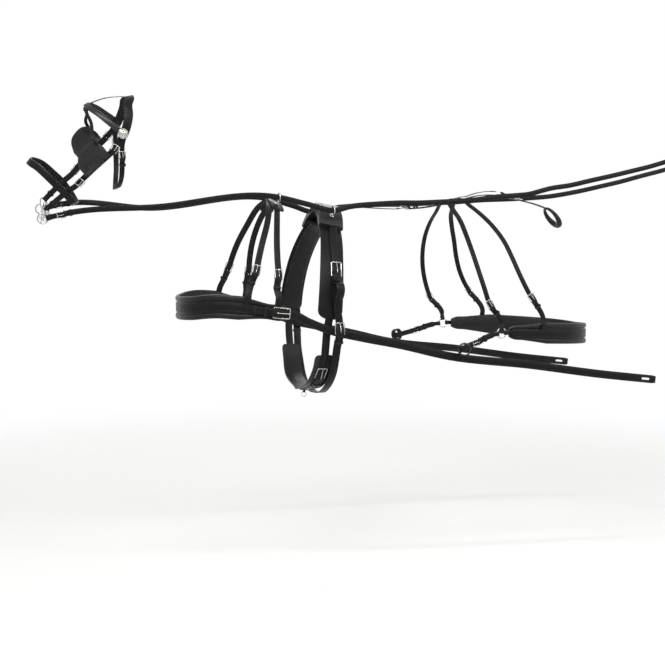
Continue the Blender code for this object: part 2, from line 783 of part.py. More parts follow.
ROSETTE_AT = cheek_line.side.nearest(on_head(0.157, -0.277, 0.96))
CHEEK_BUCKLE_AT = cheek_line.side.nearest(on_head(0.262, -0.317, 1.0))
LOW_BUCKLE_AT = cheek_line.side.nearest(on_head(0.588, -0.43, 0.85))
BIT_EYE_AT = cheek_line.side.length
CHEEK_TIP = 1.6 * CHEEK_WIDTH
cheek = cheek_line.side


def cheek_top():
    """The upper cheek buckle: the crown's billet comes down into it."""
    bar_at = CHEEK_BUCKLE_AT + BRIDLE_BUCKLE / 2
    return Buckle(cheek, bar_at, -1, CHEEK_WIDTH / 2, 0, LEATHER, LEATHER, BRIDLE_BUCKLE, SMALL_WIRE)


def throat_top():
    line = throat_line.side
    at = line.nearest(on_head(0.247, -0.453, 0.95))
    return Buckle(
        line, at + BRIDLE_BUCKLE / 2, -1, THROAT_WIDTH / 2, 0, LEATHER, LEATHER, BRIDLE_BUCKLE, SMALL_WIRE
    )


def make_crown():
    """The crown strap, which divides into a cheek billet and a throat billet on each side."""
    buckle, lower = cheek_top(), throat_top()
    over = cheek_line.over
    middle = cheek_line.side.length
    narrow = ROSETTE_AT + CROWN_WIDTH
    rows = [(0.0, CROWN_WIDTH / 2, 0, LEATHER), (ROSETTE_AT, CROWN_WIDTH / 2, 0, LEATHER)]
    rows.append((narrow, CHEEK_WIDTH / 2, 0, LEATHER))
    rows += buckle.billet_rows(CHEEK_TIP)
    near = [(middle - run, half, low, high) for run, half, low, high in rows if run > 0]
    far = [(middle + run, half, low, high) for run, half, low, high in rows]
    crown = slab(over, near + far)
    inset = LEATHER / 4
    billet = slab(
        throat_line.side,
        [(0.0, THROAT_WIDTH / 2, inset, LEATHER - inset), (CROWN_WIDTH, THROAT_WIDTH / 2, inset, LEATHER - inset)]
        + lower.billet_rows(1.6 * THROAT_WIDTH),
    )
    stay_line = laid(head, STAY_TURNS, HEAD_MIRROR).side
    stay = slab(
        stay_line,
        [(0.0, STAY_WIDTH / 2, inset, LEATHER - inset), (stay_line.length, STAY_WIDTH / 2, 0, LEATHER - inset)],
    )
    fork = make_stay_fork()
    adds = [crown, billet, mirrored(billet, HEAD_MIRROR), stay, fork, mirrored(fork, HEAD_MIRROR)]
    cuts = []
    for hole in (buckle.billet_hole(), lower.billet_hole()):
        cuts += [hole, mirrored(hole, HEAD_MIRROR)]
    node("crown_strap", "leather", adds, cuts)


def winker_places():
    """The winker's lower places, on the cheekpiece, and its upper ones, which stand clear of the eye."""
    shares = ((0.0, 0.42), (0.10, 0.78), (0.27, 0.96), (0.50, 1.0), (0.75, 0.96), (0.90, 0.80), (1.0, 0.50))
    splay_shares = (0.16, 0.62)
    start = cheek.nearest(on_head(0.305, -0.333, 1.0))
    end = cheek.nearest(on_head(0.505, -0.40, 0.9))
    lows, highs = [], []
    for along, height in shares:
        run = start + along * (end - start)
        low = cheek.place(run, 0, 2 * LEATHER + 2 * GAP + (along < 0.2) * 2 * LEATHER)
        splay = splay_shares[0] + along * (splay_shares[1] - splay_shares[0])
        lean = unit(head.up + splay * head.near)
        lows.append(low)
        highs.append(low + height * WINKER_HEIGHT * lean)
    return lows, highs


def make_winkers():
    """A blinker: a stiff leather cup beside the eye, sewn along a tab on the cheekpiece."""
    lows, highs = winker_places()
    bulge_share = 0.10
    across_shares = (0.0, 0.2, 0.4, 0.6, 0.8, 1.0)
    rings = []
    for low, high in zip(lows, highs):
        up = high - low
        out = unit(np.cross(head.along, up))
        out = out if out @ head.near > 0 else -out
        thick = WINKER_THICKNESS / 2 * out
        bulges = [math.sin(math.pi * t) * bulge_share * WINKER_HEIGHT for t in across_shares]
        spots = [low + t * up + bulge * out for t, bulge in zip(across_shares, bulges)]
        rings.append([spot - thick for spot in spots] + [spot + thick for spot in spots[::-1]])
    plate = loft(rings)
    start, end = cheek.nearest(lows[2]), cheek.nearest(lows[-1])
    reach = CHEEK_WIDTH / 8
    low = LEATHER + GAP
    tab = slab(
        cheek,
        [
            (start - reach, CHEEK_WIDTH / 4, low, low + LEATHER),
            (start, CHEEK_WIDTH / 2, low, low + LEATHER),
            (end, CHEEK_WIDTH / 2, low, low + LEATHER),
            (end + reach, CHEEK_WIDTH / 4, low, low + LEATHER),
        ],
    )
    pair("winker", "leather", [tab, plate], mirror=HEAD_MIRROR)


def make_stay_fork():
    """One arm of the winker stay, from the middle of the forehead to the top of a winker."""
    lows, highs = winker_places()
    top = lows[1] + 0.86 * (highs[1] - lows[1])
    up = unit(highs[1] - lows[1])
    out = unit(np.cross(head.along, up))
    out = out if out @ head.near > 0 else -out
    seat = (WINKER_THICKNESS / 2 + GAP) * out + WINKER_HEIGHT * 0.045 * out
    starts = [head.lifted(0.200, 3, CHEEK_LIFT), head.lifted(0.250, 20, CHEEK_LIFT)]
    places = starts + [head.lifted(0.272, 45, 3 * LEATHER), top + seat + 0.18 * WINKER_HEIGHT * up, top + seat]
    outs = [head.normal(0.200, 3), head.normal(0.250, 20), head.normal(0.272, 45), out, out]
    line = freely(places, outs, HEAD_MIRROR).side
    inset = LEATHER / 3
    half = STAY_WIDTH / 2
    rows = [(0.0, half * 0.6, inset, LEATHER - inset), (line.length * 0.2, half * 0.8, 0, LEATHER)]
    return slab(line, rows + tip_rows(line.length, 1, half * 0.8, 0, LEATHER))


def make_browband():
    line = brow_line.over
    end = line.length
    half = BROW_WIDTH / 2
    loop_half = ROSETTE_RADIUS * 0.8
    rows = [
        (0.0, loop_half * 0.7, 0, LEATHER),
        (loop_half, loop_half, 0, LEATHER),
        (2 * loop_half, half, 0, LEATHER),
    ]
    node("browband", "leather", [slab(line, both_ends(line, rows))])


def make_rosettes():
    """A domed rosette where the browband meets the crown strap."""
    place = brow_line.side.place(brow_line.side.length - ROSETTE_RADIUS * 0.8, 0, LEATHER + SLACK)
    axis = unit(brow_line.side.place(brow_line.side.length - ROSETTE_RADIUS * 0.8, 0, 1) - place)
    shares = ((1.0, 0.0), (1.0, 0.22), (0.86, 0.42), (0.62, 0.78), (0.32, 0.96), (0.08, 1.0))
    profile = [(radius * ROSETTE_RADIUS, height * ROSETTE_DOME) for radius, height in shares]
    pair("rosette", "nickel", [turned(place, axis, profile, 12)], mirror=HEAD_MIRROR)


def make_cheekpieces():
    """The cheekpiece, with its upper buckle, and its lower billet, buckled round the bit."""
    top = cheek_top()
    half = CHEEK_WIDTH / 2
    eye_rows, eye_hole = ring_fold(
        cheek, BIT_EYE_AT, 1, half - 2 * GAP, LEATHER, BIT_LOOP_WIRE, BIT_LOOP_OUT, GAP
    )
    body = slab(cheek, top.chape_rows() + [(BIT_EYE_AT - CHEEK_WIDTH * 1.6, half, 0, LEATHER)] + eye_rows)
    raised = Buckle(
        cheek, LOW_BUCKLE_AT, -1, half, LEATHER - BITE, LEATHER, LEATHER, BRIDLE_BUCKLE, SMALL_WIRE
    )
    shift = LEATHER - BITE
    doubled = slab(
        cheek,
        [
            (raised.run - BRIDLE_BUCKLE * 0.2, half * 0.96, shift, 2 * LEATHER - BITE),
            (BIT_EYE_AT - CHEEK_WIDTH * 1.3, half * 0.96, shift, 2 * LEATHER - BITE),
        ],
    )
    adds = [body, doubled, top.frame(), top.tongue(), raised.frame(), raised.tongue()]
    adds.append(keeper_over(cheek, BIT_EYE_AT - CHEEK_WIDTH * 1.5, half, 0, 2 * LEATHER - BITE))
    pair("cheekpiece", "leather", adds, [eye_hole], mirror=HEAD_MIRROR)


def keeper_over(line, middle, half, low, high):
    """A keeper that is sewn to what it goes round."""
    wall = KEEPER_WALL
    side, foot, top = half + wall, low + BITE, high + wall
    section = ((-side, foot), (-side, top), (side, top), (side, foot))
    ends = (middle - KEEPER_RUN / 2, middle + KEEPER_RUN / 2)
    return loft([[line.place(end, across, out) for across, out in section] for end in ends])


def make_noseband():
    rows = [(0.0, NOSE_WIDTH / 2, 0, LINED), (nose_line.length, NOSE_WIDTH / 2, 0, LINED)]
    node("noseband", "leather", [slab(nose_line, rows, closed=True)])


def make_throat_lash():
    buckle = throat_top()
    line = throat_line.under
    rows = buckle.chape_rows()
    lash = slab(line, both_ends(line, rows))
    adds = [lash]
    for shape in (buckle.frame(), buckle.tongue(), buckle.loop(BRIDLE_BUCKLE * 0.9)):
        adds += [shape, mirrored(shape, HEAD_MIRROR)]
    node("throat_lash", "leather", adds)


def make_bit():
    along = unit(bit_end - ring_middle)
    centre = bit_end - along * (np.linalg.norm(bit_end - ring_middle) - BIT_RING_RADIUS)
    reach = MOUTH_RADIUS * 1.25
    profile_shares = ((0.72, -1.0), (1.0, -0.86), (1.05, -0.8), (1.05, 0.8), (1.0, 0.86), (0.72, 1.0))
    cheek_end = cheek.place(BIT_EYE_AT, 0, BIT_LOOP_OUT)
    edge = unit(cheek.place(BIT_EYE_AT, 1, BIT_LOOP_OUT) - cheek_end)
    side = CHEEK_WIDTH / 2 + BIT_LOOP_WIRE / 2 + 2 * GAP
    back = cheek_end + 0.62 * (centre - cheek_end)
    butt = turned(centre, head.near, [(MOUTH_RADIUS * r, reach * h) for r, h in profile_shares], 12)
    bar_points = [centre - share * 2 * MOUTH_HALF * head.near for share in (0.03, 0.25, 0.5)]
    bar = tube(bar_points, MOUTH_RADIUS, 10)
    loop_path = [
        centre, back + side * edge, cheek_end + side * edge, cheek_end - side * edge, back - side * edge,
    ]
    loop = tube(loop_path, BIT_LOOP_WIRE / 2, 6, closed=True)
    near = [butt, loop]
    adds = [tube([bar_points[0], 2 * bit_shift(centre) - bar_points[0]], MOUTH_RADIUS * 0.8, 10)]
    cut = ring_shape(ring_middle, head.near, BIT_RING_RADIUS, BIT_RING_WIRE + 2 * GAP)
    for shape in near:
        adds += [shape, mirrored(shape, HEAD_MIRROR)]
    node("bit_mouthpiece", "steel", adds, [cut, mirrored(cut, HEAD_MIRROR)])


def bit_shift(centre):
    """The middle of the mouthpiece, on the head's mid-plane."""
    return centre - ((centre - head.place) @ head.near) * head.near


def make_bit_rings():
    ring = ring_shape(ring_middle, head.near, BIT_RING_RADIUS, BIT_RING_WIRE)
    pair("bit_ring", "steel", [ring], pivot=ring_middle, mirror=HEAD_MIRROR)


def make_curb_chain():
    """The curb chain: links of wire that hang under the chin from the two bit loops."""
    cheek_end = cheek.place(BIT_EYE_AT, 0, BIT_LOOP_OUT)
    edge = unit(cheek.place(BIT_EYE_AT, 1, BIT_LOOP_OUT) - cheek_end)
    run_along = unit(bit_end - cheek_end)
    side = CHEEK_WIDTH / 2 + BIT_LOOP_WIRE / 2 + 2 * GAP
    hang_from = cheek_end - side * edge + CURB_RADIUS * 1.05 * run_along
    inside = (BIT_LOOP_WIRE + CURB_WIRE) / 2 + SLACK
    chin, bow = [on_head(*shares) for shares in CURB_SHARES]
    inward = hang_from + 0.3 * (bow - hang_from) - 1.3 * CURB_RADIUS * head.near
    near = [hang_from, inward, bow, chin]
    path = evenly(near + [mirrored_points(place, HEAD_MIRROR) for place in near[-2::-1]], CURB_RADIUS / 4)
    runs = np.concatenate([[0], np.cumsum(np.linalg.norm(np.diff(path, axis=0), axis=1))])
    gap = runs[-1] / CURB_LINKS
    radius = gap / 2 + CURB_WIRE * CURB_GRIP
    slip = radius - inside
    hook = run_along - (run_along @ head.near) * head.near

    def spot(at):
        return np.array([np.interp(at, runs, path[:, i]) for i in range(3)])

    adds = []
    for k in range(CURB_LINKS):
        at = slip + (runs[-1] - 2 * slip) * k / (CURB_LINKS - 1)
        along = unit(spot(at + gap / 2) - spot(at - gap / 2))
        axis = unit(hook - (hook @ along) * along)
        adds.append(ring_shape(spot(at), np.cross(along, axis) if k % 2 else axis, radius, CURB_WIRE, 8, 3))
    node("curb_chain", "steel", adds, pivot=(path[0] + path[-1]) / 2)


# The reins run from the bit rings through both pairs of terrets to the driver's hands.

REIN_SHARES = (
    (0.3788, 0.371, 0.0857), (0.4511, 0.323, 0.1043), (0.4989, 0.313, 0.1114),
    (0.5489, 0.306, 0.1129), (0.5995, 0.290, 0.1200),
)
NEAR_HAND_SHARES = (
    (0.6767, 0.274, 0.1323), (0.7527, 0.274, 0.1580), (0.7913, 0.274, 0.1651),
    (0.8305, 0.274, 0.1764), (0.8565, 0.274, 0.1943), (0.8826, 0.274, 0.2114),
    (0.9359, 0.274, 0.2329), (0.9897, 0.274, 0.2643), (1.0440, 0.274, 0.2943),
    (1.0989, 0.274, 0.3271), (1.1549, 0.274, 0.3614), (1.1940, 0.274, 0.3900),
    (1.2419, 0.274, 0.4257),
)
FAR_HAND_SHARES = (
    (0.6767, 0.274, 0.1300), (0.7527, 0.274, 0.1457), (0.8180, 0.274, 0.1529),
    (0.8805, 0.274, 0.1620), (0.9351, 0.274, 0.1743), (0.9821, 0.274, 0.1936),
    (1.0185, 0.274, 0.2114), (1.0745, 0.274, 0.2429), (1.1315, 0.274, 0.2757),
    (1.1892, 0.274, 0.3143), (1.2476, 0.274, 0.3514), (1.2854, 0.274, 0.3771),
)
REIN_CHEEK_SHARES = (-0.0407, 0.2581, 0.0757)   # where a rein leaves the cheek for the neck
REIN_TIP = 0.042
REIN_BUCKLE_AT = 0.066


def terret_centre(base, out):
    return base + (TERRET_STEM + TERRET_RADIUS) * out


def rein_line(sign):
    """The rein of one side: +1 is the near side. Its flat sides face outwards."""
    out = sign * head.near
    middle = bit_shift(ring_middle) + out * np.linalg.norm(ring_middle - bit_shift(ring_middle))
    back = unit(-0.90 * head.along - 0.435 * head.up)
    ring_point = middle + (BIT_RING_RADIUS - BIT_RING_WIRE * 0.3) * back
    after = ring_point + REIN_BUCKLE_AT * back
    places = [ring_point, (ring_point + after) / 2, after]
    free = [on_trunk(*REIN_CHEEK_SHARES), terret_centre(*neck_seat()), terret_centre(*saddle_seat())]
    free.insert(2, (free[1] + free[2]) / 2)
    shares = REIN_SHARES + (NEAR_HAND_SHARES if sign > 0 else FAR_HAND_SHARES)
    free += [on_trunk(*share) for share in shares]
    places += [place * np.array([1, sign, 1]) for place in free]
    outs = [out, out, (out + sign * OUTWARD) / 2] + [sign * OUTWARD] * len(free)
    dense = evenly(np.hstack([np.array(places), np.array(outs)]), LAY_STEP)
    return Line(*thinned(dense[:, :3], dense[:, 3:], BEND / 2))


def make_rein(side, sign):
    line = rein_line(sign)
    half = REIN_WIDTH / 2
    buckle = Buckle(line, REIN_BUCKLE_AT, -1, half, 0, LEATHER, LEATHER, REIN_BUCKLE, SMALL_WIRE)
    eye_rows, eye_hole = ring_fold(
        line, 0.0, -1, half, LEATHER, BIT_RING_WIRE, LEATHER / 2, BIT_RING_WIRE * 0.56
    )
    rein = slab(line, buckle.chape_rows() + [(line.length, half, 0, LEATHER)])
    billet = slab(line, eye_rows + buckle.billet_rows(REIN_TIP, LAY + BITE))
    loop = buckle.loop(REIN_BUCKLE * 0.9)
    cuts = [buckle.bar_hole(), buckle.tongue_slot(), buckle.billet_hole(), eye_hole]
    node(f"rein_{side}", "leather", [rein, billet, loop], cuts)
    node(f"rein_buckle_{side}", "nickel", [buckle.frame(6, 3), buckle.tongue()])


# The draught line: the breast collar's middle, then the trace behind it

COLLAR_BACK = 0.215       # the collar's rear end ahead of the saddle
COLLAR_RISE_SHARES = ((0, -0.491), (25, -0.483), (45, -0.469), (65, -0.478), (90, -0.514))
TRACE_SHARES = (
    (0.2582, 0.8548, -0.56), (0.3055, 0.8726, -0.6093), (0.3723, 0.9258, -0.6514),
    (0.4533, 0.9935, -0.6943), (0.5652, 1.0435, -0.7657), (0.7565, 1.0903, -0.8314),
    (0.9343, 1.110, -0.9029), (1.0805, 1.125, -0.9514),
)
TRACE_END_SHARES = (1.129, -0.9686)


def band(reach, half_width, fullness, sense, end, rise_shares, turns):
    """Places and directions of a band round the chest or the buttocks, from its middle."""
    places, outs = [], []
    angles = [row[0] for row in rise_shares]
    heights = [row[1] for row in rise_shares]
    for turn in turns:
        ahead, aside = math.cos(math.radians(turn)), math.sin(math.radians(turn))
        ahead, aside = max(ahead, 0.0), max(aside, 0.0)
        x = end + sense * reach * ahead ** (2 / fullness)
        y = -half_width * aside ** (2 / fullness)
        places.append(np.array([x, y, smooth(angles, heights, turn) * BODY_DEPTH]))
        out = np.array(
            [sense * ahead ** (2 - 2 / fullness) / reach, -aside ** (2 - 2 / fullness) / half_width, 0]
        )
        outs.append(unit(out))
    return places, outs


BAND_TURNS = (0, 4, 9, 16, 25, 35, 46, 58, 70, 80, 86, 90)
collar_places, collar_outs = band(
    COLLAR_REACH - COLLAR_PAD, COLLAR_HALF_WIDTH, COLLAR_FULLNESS, -1, -COLLAR_BACK, COLLAR_RISE_SHARES, BAND_TURNS
)
trace_places = [on_trunk(*shares) for shares in TRACE_SHARES]
trace_places.append(on_trunk(TRACE_REACH / BODY_LENGTH + SADDLE_SHARE, *TRACE_END_SHARES))


def draught_half():
    return freely(collar_places + trace_places, collar_outs + [OUTWARD] * len(trace_places))


draught = draught_half()
draught_over = draught.over
DRAUGHT_MIDDLE = draught.side.length
COLLAR_END_SHARES = (0.2174, 0.8516, -0.5143)
COLLAR_END = DRAUGHT_MIDDLE - draught.side.nearest(on_trunk(*COLLAR_END_SHARES))
FACE_SEAT_SHARE = 0.62    # the channel of a pad, beside its rolls
PAD_END_SHARE = 0.575     # a pad's thin ends, beside its middle
FACE_LOW = COLLAR_PAD * FACE_SEAT_SHARE + GAP
TRACE_BAR_AT = COLLAR_END + TRACE_BUCKLE * 1.1
TRACE_TIP = 0.082
TRACE_SHARE_OF_FACE = 0.94
PAD_SHARES = (
    (-0.94, 0.0), (0.94, 0.0), (1.0, 0.40), (0.86, 0.96), (0.62, 0.98), (0.45, 0.62),
    (-0.45, 0.62), (-0.62, 0.98), (-0.86, 0.96), (-1.0, 0.40),
)


def trace_buckle():
    half = TRACE_WIDTH * TRACE_SHARE_OF_FACE / 2
    return Buckle(
        draught_over, TRACE_BAR_AT, -1, half, FACE_LOW, FACE_THICKNESS, LINED, TRACE_BUCKLE, LARGE_WIRE
    )


def make_collar_pad():
    """The breast collar's padded body: two rolls with a channel for the face strap."""
    half = COLLAR_HEIGHT / 2
    rows = [
        (COLLAR_END, half * 0.42, 0, COLLAR_PAD * PAD_END_SHARE),
        (COLLAR_END + half * 0.3, half * 0.56, 0, COLLAR_PAD * PAD_END_SHARE),
        (COLLAR_END + half * 2.0, half * 0.66, 0, COLLAR_PAD * PAD_END_SHARE),
        (COLLAR_END + half * 4.2, half, 0, COLLAR_PAD),
    ]
    node("collar_pad", "soft leather", [padded(draught_over, sorted(both_ends(draught_over, rows)), PAD_SHARES)])


def fork_line(top_share, rows, foot, over):
    """A branch of the neck strap, from the top of the neck down over the pad to the face strap."""
    run = draught_over.nearest(foot)
    half = FACE_WIDTH / 2
    inner = FACE_LOW + GAP
    rows = [(top_share, 0), *rows]
    places = [trunk.lifted(share, turn, NECK_LIFT) for share, turn in rows]
    outs = [trunk.normal(share, turn) for share, turn in rows]
    direction = draught_over.place(run, 0, 1) - draught_over.place(run, 0, 0)
    spots = [(COLLAR_HEIGHT * 0.62, over * 0.75), (COLLAR_HEIGHT * 0.42, over), (half * 1.25, over)]
    for across, out in spots + [(half * 0.45, inner)]:
        places.append(draught_over.place(run, across, out))
        outs.append(direction)
    return freely(places, outs)


NECK_LIFT = 0.001
NECK_TOP_SHARE = 0.218
NECK_SPLIT_SHARE = (NECK_WIDTH / 2 + SLACK / 2) / BODY_LENGTH
FRONT_FORK_TURNS = ((0.198, 25), (0.1833, 42), (0.1662, 56), (0.1552, 65.4), (0.1504, 70), (0.138, 77))
REAR_FORK_TURNS = ((0.2163, 22.8), (0.2057, 40.6), (0.2000, 52), (0.1977, 61.6), (0.1975, 68.4), (0.1926, 76))
FRONT_FOOT_SHARES = (0.12774, 0.80645, -0.47143)
REAR_FOOT_SHARES = (0.19133, 0.83871, -0.48571)
front_fork = fork_line(
    NECK_TOP_SHARE - NECK_SPLIT_SHARE, FRONT_FORK_TURNS, on_trunk(*FRONT_FOOT_SHARES), COLLAR_PAD + SLACK
)
rear_fork = fork_line(
    NECK_TOP_SHARE + NECK_SPLIT_SHARE, REAR_FORK_TURNS, on_trunk(*REAR_FOOT_SHARES), FACE_LOW + GAP
)


def fork_buckle(fork, place):
    line = fork.over
    run = line.nearest(place)
    half = NECK_WIDTH / 2 - BITE - GAP
    return Buckle(line, run - NECK_BUCKLE / 2, 1, half, 0, LEATHER, LEATHER, NECK_BUCKLE, SMALL_WIRE)


front_buckle = fork_buckle(front_fork, trunk.lifted(0.1504, 70, 0))
rear_buckle = fork_buckle(rear_fork, trunk.lifted(0.1978, 68.4, 0))


def make_collar_face():
    """The collar's face strap, with the short tugs that the neck strap buckles to."""
    buckle = trace_buckle()
    face = slab(draught_over, both_ends(draught_over, buckle.chape_rows()))
    adds = [face]
    for back in (TRACE_BUCKLE * 0.55, TRACE_TIP * 0.86):
        loop = buckle.loop(back)
        adds += [loop, mirrored(loop)]
    for fork_catch in (front_buckle, rear_buckle):
        thin = (fork_catch.chape_half, 0, LEATHER * 0.54)
        tug = slab(fork_catch.line, [(GAP, *thin), (FACE_WIDTH * 0.45, *thin)] + fork_catch.chape_rows())
        for shape in (tug, fork_catch.frame(), fork_catch.tongue(), fork_catch.loop(NECK_BUCKLE)):
            adds += [shape, mirrored(shape)]
    hole, slot = buckle.bar_hole(), buckle.tongue_slot()
    node("collar_face", "leather", adds, [hole, slot, mirrored(hole), mirrored(slot)])


def neck_top_line():
    """The line of the stiff top of the neck strap, over the withers."""
    return laid(trunk, [(NECK_TOP_SHARE, turn, 0.0) for turn in (0, 12, 24)], BODY_MIRROR).over


def make_neck_strap():
    half = NECK_WIDTH + SLACK
    thick = NECK_PAD
    line = neck_top_line()
    rows = [(0.0, half * 0.8, LEATHER * 0.8, thick * 0.9), (half * 0.5, half, -LEATHER * 0.2, thick)]
    pad = slab(line, both_ends(line, rows))
    adds, cuts = [pad], []
    for fork_catch, fork in ((front_buckle, front_fork), (rear_buckle, rear_fork)):
        rows = fork_catch.billet_rows(NECK_WIDTH * 1.7)
        adds.append(slab(fork.over, both_ends(fork.over, rows)))
        hole = fork_catch.billet_hole()
        cuts += [hole, mirrored(hole)]
    node("neck_strap", "leather", adds, cuts)


def terret(base, out, up):
    """A terret: a foot, a stem and a ring for the rein. Out is the ring's way from its foot."""
    centre = terret_centre(base, out)
    foot = turned(
        base, out, [(TERRET_STEM * share, TERRET_STEM * height) for share, height in TERRET_FOOT_SHARES], 8
    )
    ring = ring_shape(centre, up, TERRET_RADIUS, TERRET_WIRE, 12, 5)
    return [foot, ring]


TERRET_FOOT_SHARES = ((0.9, 0.0), (0.9, 0.18), (0.5, 0.34), (0.30, 0.5), (0.30, 0.8), (0.36, 1.05))


def neck_seat():
    """Where the near neck terret stands, and the way it points."""
    line = neck_top_line()
    run = line.length / 2 - NECK_TERRET_OUT
    base = line.place(run, 0, NECK_PAD + 1.6 * SLACK)
    return base, unit(unit(line.place(run, 0, 1) - line.place(run, 0, 0)) + 0.35 * trunk.up)


def make_neck_terrets():
    base, out = neck_seat()
    pair("neck_terret", "nickel", terret(base, out, trunk.along), pivot=base)


def make_traces():
    buckle = trace_buckle()
    half = buckle.half
    low = FACE_LOW
    rows = [
        (0.0, half * 0.9, low, low + LINED),
        (half, TRACE_WIDTH / 2, low, low + LINED),
        (TRACE_SLOT * 3, TRACE_WIDTH / 2, low, low + LINED),
    ]
    line = draught_over
    trace = slab(line, rows + buckle.billet_rows(TRACE_TIP))
    slot_half = half * 0.28
    slot = slot_cutter(line, TRACE_SLOT * 0.7, TRACE_SLOT * 1.7, slot_half, low - LINED, low + 2 * LINED)
    pair("trace", "leather", [trace], [slot, buckle.billet_hole()])
    pair("trace_buckle", "nickel", [buckle.frame(6, 3)])
    eye = buckle.tongue_eye()
    bore = pin(line, buckle.run, 0, buckle.bar_out, buckle.side, buckle.radius + 2 * GAP, 8)
    pair("trace_buckle_tongue", "nickel", [buckle.tongue(loose=True), eye], [bore], pivot=buckle.pivot)


# The driving saddle

FLAP_TURNS = (
    (0.3385, 0, 0.0), (0.334, 22, 0.0), (0.3269, 38, 0.0), (0.3172, 56, 0.0), (0.3106, 71, 0.0),
    (0.306, 84, 0.0), (0.3034, 92, 0.0), (0.2990, 98.5, 0.0), (0.2978, 108, 0.0), (0.298, 117, 0.0),
    (0.297, 129, 0.0), (0.2935, 143, 0.0), (0.2925, 180, 0.0),
)
flap_half = laid(trunk, FLAP_TURNS, BODY_MIRROR)
flap_side = flap_half.side
FLAP_TOP = flap_side.nearest(trunk.point(0.336, 13))
FLAP_END = flap_side.nearest(trunk.point(0.3034, 92))
FLAP_OUT = FLAP_PAD + FLAP_LEATHER
GIRTH_PAD = 0.007
GIRTH_BAR_AT = flap_side.nearest(trunk.point(0.295, 138))
GIRTH_PAD_AT = flap_side.nearest(trunk.point(0.298, 116))
TREE_TURNS = (0, 9, 17, 23, 26.5)
TREE_INNER_SHARES = (0.53, 0.49, 0.38, 0.235, 0.222)    # of the seat's rise
TREE_OUTER_SHARES = (1.04, 0.99, 0.84, 0.62, 0.46)
TREE_PROFILE_SHARES = (
    (-1, 0), (1, 0), (1, 0.55), (0.9, 0.9), (0.6, 1), (-0.6, 1), (-0.9, 0.9), (-1, 0.55),
)
HANG_TOP_SHARE = 0.342
HANG_BODY_TURNS = (
    (10, 0.342, 0.68), (18, 0.3415, 0.55), (25, 0.3395, 0.37), (31, 0.335, 0.28), (38.5, 0.3296, 0.265),
    (57, 0.3245, 0.265), (66, 0.3216, 0.265),
)                                                       # turn, share, lift beside the seat's rise
SHAFT_LOOP_TURNS = (108, 74, 38, 0, -38)
SHAFT_SHARES = (0.3180, -0.379)
TAIL_SHARES = ((0.3180, 0.968, -0.457), (0.3190, 0.946, -0.500), (0.3222, 0.950, -0.553), (0.3228, 0.965, -0.628))
HANG_BELLY_TURNS = (
    (0.3212, 108, 0.31), (0.3199, 118.4, 0.30), (0.3199, 129, 0.275), (0.318, 142, 0.25), (0.316, 160, 0.21),
    (0.316, 180, 0.18),
)


def shaft_places():
    """Places of the tug's outer layer round the shaft, from its inner top to its outer underside."""
    along, up = SHAFT_SHARES
    middle = trunk.local(along * BODY_LENGTH, up * BODY_DEPTH, SHAFT_SPREAD)
    radius = SHAFT_SPACE / 2 + SLACK / 3
    places = []
    for turn in SHAFT_LOOP_TURNS:
        out, rise = math.cos(math.radians(turn)), math.sin(math.radians(turn))
        way = out * trunk.near + rise * trunk.up
        places.append((middle + radius * way, way))
    return middle, places


def hang_half():
    """The backband's line over the saddle and down round the shaft, then the bellyband's under the belly."""
    places = [trunk.lifted(HANG_TOP_SHARE, 0, SEAT_RISE * 0.74)]
    outs = [trunk.normal(HANG_TOP_SHARE, 0)]
    level = np.array([0, 1, 1])
    for turn, share, lift in HANG_BODY_TURNS:
        places.append(trunk.lifted(share, turn, lift * SEAT_RISE))
        outs.append(unit(trunk.normal(share, turn) * level))
    for place, out in shaft_places()[1]:
        places.append(place)
        outs.append(out)
    for along, out, up in TAIL_SHARES:
        places.append(on_trunk(along, out, up))
        outs.append(OUTWARD)
    for share, turn, lift in HANG_BELLY_TURNS:
        places.append(trunk.lifted(share, turn, lift * SEAT_RISE))
        outs.append(unit(trunk.normal(share, turn) * level))
    return freely(places, outs)


hang = hang_half()
TUG_BAR_AT = hang.side.nearest(trunk.lifted(0.3223, 66, FLAP_OUT + SLACK))
BELLY_BAR_AT = hang.side.nearest(on_trunk(*TAIL_SHARES[-1]))


def tug_buckle():
    half = BACKBAND_WIDTH / 2
    return Buckle(hang.side, TUG_BAR_AT, -1, half, 0, LINED, LINED, TUG_BUCKLE, LARGE_WIRE)


def belly_buckle():
    half = BELLY_WIDTH / 2 - BITE
    return Buckle(hang.side, BELLY_BAR_AT, -1, half, 0, LEATHER, LEATHER, BELLY_BUCKLE, SMALL_WIRE)


def girth_buckle():
    half = GIRTH_BILLET / 2
    low = GIRTH_PAD + GAP
    return Buckle(flap_side, GIRTH_BAR_AT, -1, half, low, LEATHER, LEATHER, GIRTH_BUCKLE, SMALL_WIRE)


def tree_rows():
    """The near half of the tree: run, half width, inner face, outer face."""
    rows = []
    for turn, inner, outer in zip(TREE_TURNS, TREE_INNER_SHARES, TREE_OUTER_SHARES):
        run = flap_side.nearest(trunk.point(FLAP_TURNS[0][0], turn)) if turn else 0.0
        low = max(inner * SEAT_RISE, FLAP_OUT + GAP)
        rows.append((run, SEAT_LENGTH / 2, low, max(outer * SEAT_RISE, low + FLAP_LEATHER)))
    return rows


